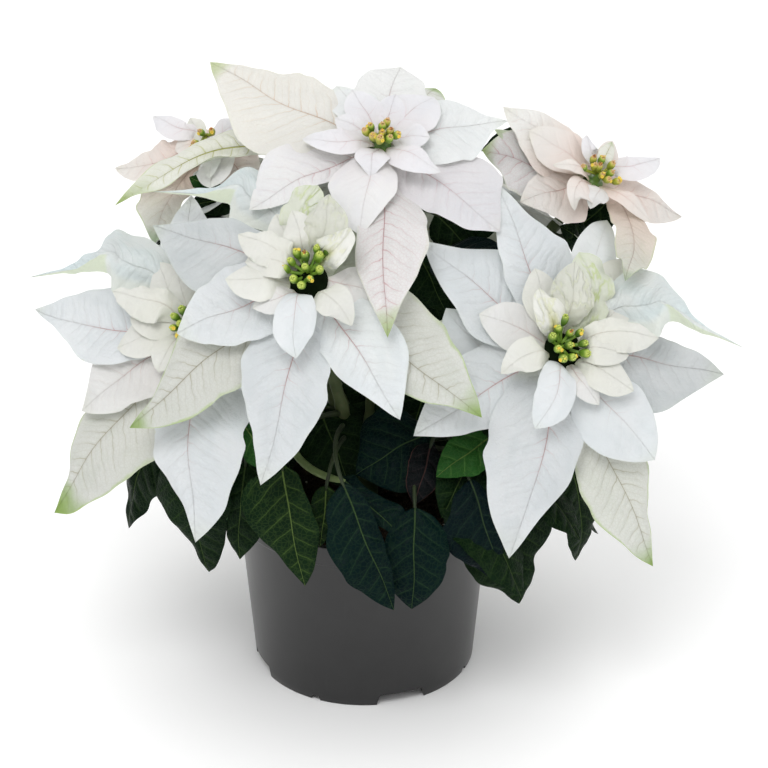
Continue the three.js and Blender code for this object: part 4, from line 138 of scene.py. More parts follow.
  ['A17','i2',[11.6,23.9,348.2],[19.9,47.7,362.5],[-0.014,-0.511,0.859],0.080,0.000,0.000,0.000,'pink',0.30,[4.0,7.2,8.9,9.1,7.9,5.7,3.0],[4.0,7.2,8.9,9.1,7.9,5.7,3.0]],
  ['B1','o',[138.2,69.7,300.1],[86.9,88.7,339.7],[0.427,-0.463,0.777],0.060,0.000,0.000,0.000,'peach',0.50,[14.2,22.7,25.6,24.0,18.8,11.6,4.9],[14.2,22.7,25.6,24.0,18.8,11.6,4.9]],
  ['B14','o2',[135.6,70.7,293.8],[73.2,63.8,320.3],[0.390,-0.460,0.798],0.050,0.000,0.000,0.000,'pinkvein',0.90,[12.2,20.0,23.3,25.7,23.8,12.8,5.4],[12.8,22.6,28.4,29.3,25.0,16.0,6.7]],
  ['B11','o',[138.2,64.9,297.4],[95.7,32.1,298.6],[0.389,-0.475,0.789],0.060,0.000,0.000,0.000,'peach',0.60,[10.6,18.9,24.0,23.3,16.6,10.2,4.3],[9.4,15.0,16.9,15.9,12.4,7.7,3.2]],
  ['B10','o2',[139.6,67.3,289.8],[155.3,-30.6,273.6],[0.381,-0.091,0.920],0.100,0.080,0.000,0.000,'greenpink',0.90,[9.1,13.8,14.7,13.4,14.7,9.1,3.9],[3.1,5.0,6.5,8.9,9.9,6.1,2.6]],
  ['B7','o',[147.0,68.9,295.1],[201.4,79.2,269.3],[0.450,-0.451,0.771],0.060,0.000,0.000,0.000,'pink',0.50,[5.3,9.4,11.8,10.2,5.4,3.1,1.3],[10.8,17.3,19.5,18.3,14.3,8.8,3.7]],
  ['B6','m',[148.6,68.8,301.7],[189.7,103.6,300.1],[0.415,-0.455,0.788],0.080,0.000,0.000,0.000,'peach',0.40,[5.2,9.3,11.4,11.7,10.3,7.3,3.8],[5.2,9.3,11.4,11.7,10.3,7.3,3.8]],
  ['B2','m',[140.3,66.2,304.5],[102.5,72.0,329.8],[0.443,-0.462,0.768],0.080,0.000,0.000,0.000,'peach',0.40,[7.8,14.1,17.4,17.8,15.6,11.1,5.8],[7.8,14.1,17.4,17.8,15.6,11.1,5.8]],
  ['B8','m',[148.5,63.7,298.8],[176.6,49.9,277.3],[0.392,-0.448,0.803],0.080,0.000,0.000,0.000,'peach',0.40,[7.5,13.6,16.8,17.2,15.0,10.7,5.6],[7.5,13.6,16.8,17.2,15.0,10.7,5.6]],
  ['B12','m',[142.3,61.0,300.5],[127.4,29.4,293.7],[0.449,-0.383,0.807],0.080,0.000,0.000,0.000,'peach',0.40,[4.8,8.7,10.7,11.0,9.6,6.9,3.6],[4.8,8.7,10.7,11.0,9.6,6.9,3.6]],
  ['B16','o',[146.2,71.5,297.0],[177.8,120.0,273.8],[0.707,-0.128,0.695],0.050,0.000,0.000,0.000,'peach',0.40,[8.8,14.1,15.9,14.9,11.7,7.2,3.0],[8.8,14.1,15.9,14.9,11.7,7.2,3.0]],
  ['B17','o',[142.7,72.8,299.6],[127.8,122.0,281.8],[0.319,0.406,0.857],0.050,0.000,0.000,0.000,'peach',0.40,[8.9,14.3,16.1,15.1,11.8,7.3,3.1],[8.9,14.3,16.1,15.1,11.8,7.3,3.1]],
  ['B4','i2',[144.8,67.4,307.9],[138.3,83.9,322.7],[0.430,-0.503,0.749],0.080,0.000,0.000,0.000,'peach',0.30,[3.7,6.6,8.1,8.3,7.3,5.2,2.7],[3.7,6.6,8.1,8.3,7.3,5.2,2.7]],
  ['B5','i2',[147.9,68.1,306.7],[156.6,89.7,316.5],[0.393,-0.507,0.767],0.080,0.000,0.000,0.000,'peach',0.30,[3.0,5.4,6.7,6.9,6.0,4.3,2.3],[3.0,5.4,6.7,6.9,6.0,4.3,2.3]],
  ['B13','i2',[145.7,59.2,302.7],[143.6,32.9,292.9],[0.424,-0.344,0.837],0.080,0.000,0.000,0.000,'peach',0.30,[3.7,6.6,8.2,8.4,7.3,5.2,2.7],[3.7,6.6,8.2,8.4,7.3,5.2,2.7]],
  ['B3','i2',[141.8,61.9,306.3],[112.0,48.5,317.7],[0.483,-0.428,0.764],0.080,0.000,0.000,0.000,'cream',0.30,[4.2,7.5,9.2,9.5,8.3,5.9,3.1],[4.2,7.5,9.2,9.5,8.3,5.9,3.1]],
  ['C4','o',[-99.5,88.5,313.1],[-159.4,106.4,291.9],[-0.407,-0.377,0.832],0.060,0.000,0.000,0.000,'peach',0.50,[10.2,17.9,22.2,22.6,18.5,6.2,1.1],[3.7,6.2,7.3,6.4,4.4,2.6,1.1]],
  ['C7','o2',[-94.5,86.8,307.0],[-130.0,47.1,264.4],[-0.461,-0.425,0.779],0.100,-0.090,0.000,0.000,'greenpink',0.90,[8.3,12.2,12.3,13.3,13.0,8.2,3.5],[13.2,23.2,28.8,29.4,25.5,13.7,5.8]],
  ['C1','m',[-100.7,88.7,319.7],[-134.9,125.7,320.1],[-0.407,-0.384,0.829],0.080,0.000,0.000,0.000,'peach',0.40,[5.2,9.3,11.5,11.8,10.3,7.3,3.8],[5.2,9.3,11.5,11.8,10.3,7.3,3.8]],
  ['C5','o',[-92.2,82.6,314.1],[-57.8,23.2,303.4],[-0.409,-0.386,0.827],0.060,0.000,0.000,0.000,'peach',0.50,[8.2,13.2,14.9,13.9,10.9,6.7,2.8],[8.2,13.2,14.9,13.9,10.9,6.7,2.8]],
  ['C3','m',[-92.7,85.5,322.3],[-75.0,88.5,330.3],[-0.332,-0.361,0.871],0.080,0.000,0.000,0.000,'cream',0.40,[9.4,12.1,10.6,11.1,9.7,6.9,3.6],[5.2,9.4,11.6,11.9,10.4,7.4,3.9]],
  ['C6','m',[-96.5,80.0,317.9],[-92.6,38.7,306.4],[-0.427,-0.280,0.860],0.080,0.000,0.000,0.000,'pink',0.40,[5.6,10.0,12.4,12.7,11.1,7.9,4.1],[5.6,10.0,12.4,12.7,11.1,7.9,4.1]],
  ['C8','o',[-98.1,84.3,311.9],[-123.1,63.9,268.1],[-0.606,-0.531,0.592],0.060,0.000,0.000,0.000,'white',0.50,[7.8,12.5,14.1,13.2,10.4,6.4,2.7],[7.8,12.5,14.1,13.2,10.4,6.4,2.7]],
  ['C9','o',[-98.6,90.5,314.5],[-132.4,138.0,292.0],[-0.652,-0.109,0.750],0.050,0.000,0.000,0.000,'peach',0.40,[8.3,13.3,15.0,14.1,11.0,6.8,2.9],[8.3,13.3,15.0,14.1,11.0,6.8,2.9]],
  ['C10','o',[-96.4,91.8,316.2],[-80.4,132.0,276.0],[-0.446,0.715,0.538],0.050,0.000,0.000,0.000,'peach',0.40,[7.8,12.5,14.1,13.2,10.3,6.4,2.7],[7.8,12.5,14.1,13.2,10.3,6.4,2.7]],
  ['C2','i2',[-101.3,87.7,323.8],[-109.8,101.5,327.5],[-0.373,-0.447,0.813],0.080,0.000,0.000,0.000,'cream',0.30,[2.7,4.9,6.1,6.2,5.5,3.9,2.0],[2.7,4.9,6.1,6.2,5.5,3.9,2.0]],
  ['C11','i2',[-103.1,82.5,320.5],[-118.1,78.8,314.6],[-0.273,-0.343,0.899],0.080,0.000,0.000,0.000,'peach',0.30,[4.8,8.7,10.8,11.0,9.6,6.9,3.6],[4.8,8.7,10.8,11.0,9.6,6.9,3.6]],
  ['C12','i2',[-96.5,79.0,322.3],[-84.6,54.7,320.5],[-0.461,-0.287,0.840],0.080,0.000,0.000,0.000,'peach',0.30,[3.0,5.3,6.6,6.8,5.9,4.2,2.2],[3.0,5.3,6.6,6.8,5.9,4.2,2.2]],
  ['G1','o',[63.2,131.3,259.7],[-38.2,154.3,255.5],[0.124,0.679,0.723],0.070,0.036,0.000,0.000,'white',0.60,[12.8,22.2,24.3,21.6,18.2,10.4,4.7],[12.8,20.6,24.6,24.5,17.1,10.7,4.8]],
  ['G2','o',[64.5,127.5,262.5],[-6.2,77.4,303.9],[0.125,0.522,0.844],0.070,-0.024,0.000,0.000,'white',0.60,[12.5,22.8,23.5,21.5,16.8,10.7,4.9],[12.8,21.9,24.9,22.3,18.0,10.2,4.3]],
  ['G3','o',[68.7,125.5,262.5],[73.6,26.5,310.2],[0.314,0.425,0.849],0.070,0.021,0.000,0.000,'white',0.60,[13.8,21.7,23.8,24.2,18.6,10.7,4.8],[13.7,23.1,25.5,22.3,19.4,10.4,4.6]],
  ['G4','o',[71.9,126.2,260.6],[135.3,49.2,266.5],[0.472,0.447,0.760],0.070,0.016,0.000,0.000,'pinkish',0.60,[12.0,19.5,21.4,21.0,15.0,9.9,4.1],[11.9,18.6,22.3,21.2,15.4,9.8,3.8]],
  ['G5','o',[72.7,129.9,257.1],[139.6,114.2,195.8],[0.608,0.610,0.508],0.070,-0.004,0.000,0.000,'white',0.60,[12.1,19.8,23.3,19.6,16.5,9.7,4.1],[11.7,21.0,21.4,20.4,16.3,10.9,4.0]],
  ['G6','o',[69.8,132.8,255.7],[92.4,172.8,160.2],[0.392,0.812,0.433],0.070,-0.006,0.000,0.000,'white',0.60,[15.3,22.4,25.8,23.9,20.3,12.7,4.7],[13.7,22.2,25.0,24.4,19.4,11.4,4.6]],
  ['G7','o',[65.7,133.4,256.8],[20.7,182.1,199.0],[0.159,0.813,0.560],0.070,-0.035,0.000,0.000,'creamo',0.60,[12.7,19.8,22.7,21.4,15.1,10.7,4.4],[13.1,20.6,21.9,20.5,15.3,10.3,3.9]],
  ['G8','o2',[70.2,125.6,252.8],[155.2,92.4,166.0],[0.684,0.573,0.451],0.070,0.028,0.000,0.000,'green',0.90,[14.3,21.8,24.3,23.4,18.1,11.7,4.7],[15.5,23.9,25.0,23.8,18.9,11.7,4.7]],
  ['G9','o2',[66.5,128.6,251.6],[57.3,169.7,124.4],[0.301,0.914,0.273],0.070,0.038,0.000,0.000,'green',0.90,[15.5,23.3,26.3,25.7,19.8,13.4,5.1],[14.4,26.7,28.2,24.8,20.7,11.7,5.4]],
  ['G10','o2',[63.0,128.3,253.4],[-28.3,153.3,176.5],[-0.136,0.883,0.449],0.070,-0.022,0.000,0.000,'green',0.90,[13.6,22.2,24.2,25.0,18.9,12.1,4.7],[13.5,23.8,27.6,25.3,19.7,12.1,5.1]],
  ['G11','m',[65.0,133.0,265.6],[21.7,134.4,288.7],[0.380,0.630,0.677],0.070,0.010,0.000,0.000,'cream',0.40,[5.5,10.4,12.8,14.1,12.8,8.4,4.8],[6.5,11.5,13.0,13.0,11.4,8.1,4.2]],
  ['G12','m',[69.3,129.4,267.1],[63.4,85.4,305.6],[0.291,0.608,0.739],0.070,-0.008,0.000,0.000,'pinkish',0.40,[7.3,13.5,14.9,16.7,15.2,10.6,5.5],[7.1,12.2,16.7,15.9,15.0,11.0,5.2]],
  ['G13','m',[73.9,130.2,264.5],[119.2,99.1,277.7],[0.248,0.662,0.707],0.070,0.002,0.000,0.070,'cream',0.40,[6.5,11.7,16.3,16.5,12.9,10.3,5.5],[7.1,12.1,15.4,14.8,12.6,10.5,5.2]],
  ['G14','m',[74.3,134.0,261.0],[115.6,136.8,231.9],[0.410,0.644,0.646],0.070,-0.006,0.000,0.000,'white',0.40,[6.5,10.6,13.2,13.6,11.8,8.9,4.4],[6.1,10.4,14.6,13.7,12.2,8.9,4.9]],
  ['G15','m',[70.2,137.0,260.0],[74.0,173.6,223.2],[0.297,0.661,0.689],0.070,-0.032,0.000,0.000,'cream',0.40,[6.4,10.5,14.0,13.7,11.6,9.4,4.5],[6.3,11.8,14.2,14.0,12.7,9.1,4.9]],
  ['G16','m',[66.1,136.6,262.1],[33.3,167.9,249.8],[0.313,0.612,0.727],0.070,0.016,0.000,0.090,'palegreen',0.40,[6.0,10.3,12.8,13.6,12.2,8.1,4.3],[5.7,10.3,13.1,12.9,11.5,8.1,4.6]],
  ['G17','i2',[66.2,136.8,267.5],[36.4,149.9,281.5],[0.543,0.549,0.635],0.070,0.013,0.000,0.000,'cream',0.30,[4.7,8.9,10.8,9.9,8.7,6.5,3.2],[4.4,7.7,10.6,11.0,9.8,6.2,3.6]],
  ['G18','i2',[68.3,133.1,269.8],[50.7,116.8,295.0],[0.334,0.669,0.664],0.070,0.004,0.000,0.000,'cream',0.30,[4.3,8.8,9.9,10.3,9.8,6.8,3.2],[4.5,8.2,9.8,9.9,8.8,6.7,3.1]],
  ['G19','i2',[74.3,132.4,268.0],[93.1,119.5,280.8],[0.115,0.780,0.615],0.070,0.026,0.000,0.000,'cream',0.30,[3.5,6.2,7.1,8.4,7.1,5.2,2.4],[3.3,5.7,7.9,7.5,6.4,4.8,2.7]],
  ['G20','i2',[75.4,136.3,264.1],[100.3,140.9,253.4],[0.211,0.617,0.758],0.070,-0.004,0.000,0.000,'cream',0.30,[3.6,6.7,7.5,7.6,7.4,5.0,2.5],[3.8,6.6,8.4,7.6,7.6,4.7,2.8]],
  ['G21','i2',[70.4,139.6,263.3],[68.0,165.5,245.5],[0.302,0.558,0.773],0.070,-0.012,0.000,0.000,'cream',0.30,[4.0,7.0,9.2,9.0,7.7,5.5,2.8],[3.9,7.2,8.9,9.8,7.9,5.8,2.9]],
  ['H1','o',[-63.6,131.1,263.7],[-156.7,108.8,223.0],[-0.438,0.589,0.679],0.070,-0.013,0.000,0.000,'white',0.60,[12.6,19.6,20.8,20.4,17.2,9.3,4.4],[12.0,19.4,23.1,20.2,16.1,10.2,4.5]],
  ['H2','o',[-61.2,127.8,267.3],[-98.7,41.6,286.9],[-0.390,0.362,0.847],0.070,-0.017,0.000,0.000,'white',0.60,[12.5,19.8,21.3,20.2,15.6,10.7,4.2],[12.0,18.9,24.1,22.7,17.2,10.0,4.2]],
  ['H3','o',[-57.3,128.0,268.4],[-25.4,40.1,326.4],[-0.203,0.486,0.850],0.070,-0.040,0.000,0.000,'white',0.60,[13.5,24.1,27.2,23.9,17.8,12.3,4.7],[13.7,20.6,24.8,23.6,18.5,10.9,4.8]],
  ['H4','o',[-54.1,130.6,267.4],[35.2,100.6,300.9],[-0.108,0.580,0.808],0.070,0.018,0.000,0.000,'pinkish',0.60,[11.7,18.6,22.1,20.4,16.9,10.3,4.5],[12.9,20.9,24.2,21.0,16.2,11.1,4.1]],
  ['H5','o',[-54.3,134.4,264.1],[24.9,174.1,239.2],[-0.123,0.693,0.711],0.070,-0.022,0.000,0.000,'white',0.60,[13.4,20.6,23.6,22.4,15.7,10.3,4.3],[13.3,21.2,24.0,21.6,17.7,10.6,4.5]],
  ['H6','o',[-57.1,135.7,262.1],[-21.9,205.9,190.9],[-0.197,0.745,0.638],0.070,0.019,0.000,0.000,'white',0.60,[12.4,22.4,24.2,22.9,17.9,11.1,4.6],[12.2,22.2,24.9,22.4,17.7,11.1,4.3]],
  ['H7','o',[-61.7,134.3,261.7],[-109.2,170.3,197.0],[-0.340,0.693,0.635],0.070,0.019,0.000,0.000,'creamo',0.60,[11.2,16.5,20.3,19.7,14.3,8.6,3.7],[11.1,18.0,19.9,18.7,13.3,8.3,3.6]],
  ['H8','o2',[-53.3,129.9,259.5],[53.6,144.4,194.3],[0.229,0.800,0.554],0.070,0.035,0.000,0.000,'green',0.90,[13.5,21.8,25.5,25.4,20.0,12.3,4.9],[14.7,23.3,26.3,23.2,20.6,11.4,5.4]],
  ['H9','o2',[-56.2,131.0,257.5],[-19.7,179.2,137.9],[-0.130,0.933,0.336],0.070,0.031,0.000,0.000,'green',0.90,[16.4,26.8,27.9,25.4,19.6,13.6,5.1],[15.8,23.5,28.2,28.2,19.4,13.3,5.4]],
  ['H10','o2',[-60.5,128.9,257.9],[-132.2,124.8,159.2],[-0.601,0.687,0.408],0.070,-0.030,0.000,0.000,'green',0.90,[15.1,22.6,23.7,22.1,18.7,11.5,4.7],[13.4,22.1,24.8,25.3,17.3,12.0,5.1]],
  ['H11','m',[-64.2,132.3,270.5],[-105.5,94.7,276.8],[-0.362,0.528,0.768],0.070,-0.019,0.000,0.000,'cream',0.40,[6.6,12.1,15.0,16.9,13.8,9.5,5.0],[6.6,11.4,14.3,16.5,13.2,10.4,4.9]],
  ['H12','m',[-60.3,131.3,272.6],[-61.9,95.9,301.7],[-0.251,0.621,0.743],0.070,-0.036,0.000,0.000,'pinkish',0.40,[6.0,10.6,13.0,13.0,11.8,8.5,4.2],[5.8,9.3,12.9,12.6,11.6,8.1,4.0]],
  ['H13','m',[-55.5,134.4,271.6],[-15.7,126.5,290.0],[-0.227,0.616,0.755],0.070,-0.022,0.000,0.070,'cream',0.40,[5.3,9.4,12.5,13.3,10.4,7.9,3.9],[5.5,9.6,11.4,11.7,10.3,8.2,4.0]],
  ['H14','m',[-56.0,138.3,268.2],[-7.1,173.4,253.7],[-0.234,0.632,0.738],0.070,-0.013,0.000,0.000,'white',0.40,[7.1,12.9,15.7,16.8,14.0,10.3,5.4],[7.6,14.4,17.4,17.0,14.8,10.8,5.5]],
  ['H15','m',[-59.1,139.4,266.3],[-48.5,171.3,232.7],[-0.217,0.741,0.635],0.070,0.017,0.000,0.000,'cream',0.40,[5.4,10.4,13.1,14.0,11.0,7.9,4.1],[5.7,10.3,13.8,13.9,12.2,7.6,4.0]],
  ['H16','m',[-64.7,136.2,267.1],[-109.2,143.0,242.2],[-0.302,0.629,0.716],0.070,0.021,0.000,0.090,'palegreen',0.40,[5.8,11.1,14.9,15.0,13.2,9.6,4.5],[5.9,10.6,14.0,14.7,13.4,9.2,4.8]],
  ['H17','i2',[-65.9,136.8,271.5],[-97.3,137.8,274.1],[0.084,0.647,0.758],0.070,-0.022,0.000,0.000,'cream',0.30,[4.3,7.1,9.8,9.6,7.9,5.5,2.9],[4.2,7.6,8.6,8.7,8.2,5.9,3.0]],
  ['H18','i2',[-62.2,133.8,275.2],[-69.5,118.3,294.9],[-0.184,0.804,0.566],0.070,-0.019,0.000,0.000,'cream',0.30,[3.4,6.6,7.7,8.2,6.8,4.6,2.4],[3.7,6.3,7.3,7.2,6.8,5.0,2.5]],
  ['H19','i2',[-56.9,136.5,274.8],[-31.0,134.5,298.6],[-0.477,0.664,0.576],0.070,0.021,0.000,0.000,'cream',0.30,[4.3,8.1,10.1,10.8,8.7,6.9,3.6],[4.6,7.9,11.0,10.2,9.6,6.3,3.3]],
  ['H20','i2',[-57.1,140.6,271.3],[-31.3,165.0,269.7],[-0.412,0.488,0.770],0.070,0.031,0.000,0.000,'cream',0.30,[4.4,8.0,10.2,10.8,9.9,6.2,3.4],[4.4,9.0,9.7,9.8,8.6,6.5,3.7]],
  ['H21','i2',[-63.2,140.9,269.0],[-78.8,165.3,247.7],[-0.213,0.562,0.799],0.070,-0.030,0.000,0.000,'cream',0.30,[4.6,8.0,11.2,11.1,8.7,6.8,3.4],[4.6,8.2,9.9,9.9,9.0,6.5,3.7]],
  ['B18','o',[141.0,72.2,300.2],[116.0,131.2,316.1],[0.292,-0.132,0.947],0.070,-0.007,0.000,0.000,'peach',0.50,[9.0,12.8,14.8,14.9,11.7,6.8,2.7],[8.4,13.2,16.2,13.5,10.9,7.3,2.7]],
  ['B19','o2',[141.8,74.8,293.0],[160.8,148.6,276.5],[0.616,0.018,0.788],0.070,0.017,0.000,0.000,'greenpink',0.90,[9.5,15.1,15.2,14.2,11.2,7.9,3.0],[9.4,15.4,15.9,14.8,12.9,7.5,3.0]],
  ['C13','o2',[-89.9,92.5,311.9],[-39.7,154.2,319.6],[-0.137,-0.013,0.991],0.070,-0.006,0.000,0.000,'greenpink',0.90,[9.0,14.3,15.5,16.4,13.1,7.7,3.4],[8.6,14.2,16.7,16.9,13.2,7.4,3.1]],
  ['C14','o',[-96.2,91.8,316.3],[-87.6,144.6,289.0],[-0.475,0.465,0.747],0.070,0.020,0.000,0.000,'peach',0.50,[7.6,13.1,13.1,13.5,10.5,6.5,2.7],[7.8,11.9,13.4,12.6,10.6,5.8,2.5]],
  ['A18','o2',[11.7,31.0,333.4],[46.1,137.6,334.5],[0.150,-0.058,0.987],0.070,-0.021,0.000,0.000,'green',0.90,[12.5,19.4,21.7,22.2,16.7,11.4,4.8],[14.0,20.0,21.9,20.6,17.2,11.0,4.4]],
  ['A19','o2',[7.5,30.5,333.1],[-52.3,120.2,327.2],[-0.270,-0.117,0.956],0.070,-0.020,0.000,0.000,'green',0.90,[12.4,20.5,23.3,22.1,17.5,10.5,4.1],[13.2,19.4,22.9,20.8,17.2,9.7,4.1]],
  ['E22','o2',[115.3,-45.7,234.9],[174.5,39.0,223.0],[0.622,-0.337,0.707],0.070,0.027,0.000,0.000,'green',0.90,[11.4,20.5,22.1,19.9,15.7,10.6,4.2],[11.6,20.3,22.4,22.0,15.0,9.8,4.4]],
  ['F16','o2',[-100.0,-24.2,239.5],[-137.3,68.6,238.7],[-0.581,-0.226,0.782],0.070,-0.032,0.000,0.000,'green',0.90,[12.4,17.2,20.3,18.5,14.6,10.2,4.1],[12.4,18.2,22.2,19.5,14.8,9.9,4.3]]
]

# a few more small bracts inside the heads
BRACTS += [
  ['E31', 'm', [113.9,-52.4,247.8], [101.8,-30.1,281.7], [0.282,-0.752,0.596], 0.120, 0.000, 0.000, 0.000, 'cream', 0.30, [5.4,9.8,12.1,12.4,10.8,7.7,4.0], [5.4,9.8,12.1,12.4,10.8,7.7,4.0]],
  ['D31', 'm', [-33.5,-60.1,298.6], [-50.1,-39.7,320.1], [-0.088,-0.756,0.649], 0.120, 0.000, 0.000, 0.000, 'cream', 0.30, [5.2,9.4,11.6,11.9,10.4,7.4,3.9], [5.2,9.4,11.6,11.9,10.4,7.4,3.9]],
  ['F31', 'm', [-109.3,-26.5,251.5], [-123.7,-1.5,273.2], [-0.295,-0.716,0.632], 0.120, 0.000, 0.000, 0.000, 'cream', 0.30, [5.2,9.4,11.6,11.9,10.4,7.4,3.9], [5.2,9.4,11.6,11.9,10.4,7.4,3.9]],
  ['E32', 'm', [134.5,-45.4,245.8], [158.5,-21.8,259.9], [0.272,-0.681,0.680], 0.120, 0.000, 0.000, 0.000, 'cream', 0.30, [4.4,7.8,9.7,9.9,8.7,6.2,3.2], [4.4,7.8,9.7,9.9,8.7,6.2,3.2]],
  ['E34', 'm', [110.4,-56.1,237.8], [49.3,-38.7,259.7], [0.080,-0.661,0.746], 0.120, 0.000, 0.000, 0.000, 'white', 0.30, [7.6,13.7,16.9,17.4,15.2,10.8,5.7], [7.6,13.7,16.9,17.4,15.2,10.8,5.7]],
  ['B31', 'm', [145.3,60.5,304.4], [155.6,85.6,317.4], [0.380,-0.544,0.749], 0.120, 0.000, 0.000, 0.000, 'greeno', 0.30, [2.2,3.9,4.8,5.0,4.3,3.1,1.6], [2.2,3.9,4.8,5.0,4.3,3.1,1.6]],
  ['B32', 'm', [139.0,74.2,301.7], [81.2,80.4,327.9], [0.328,-0.450,0.830], 0.120, 0.000, 0.000, 0.000, 'green', 0.30, [4.6,8.2,10.2,10.4,9.1,6.5,3.4], [4.6,8.2,10.2,10.4,9.1,6.5,3.4]],
  ['C33', 'm', [-94.9,70.9,318.9], [-94.2,37.5,311.5], [-0.426,-0.206,0.881], 0.120, 0.000, 0.000, 0.000, 'snow', 0.30, [3.1,5.6,7.0,7.1,6.2,4.5,2.3], [3.1,5.6,7.0,7.1,6.2,4.5,2.3]],
]

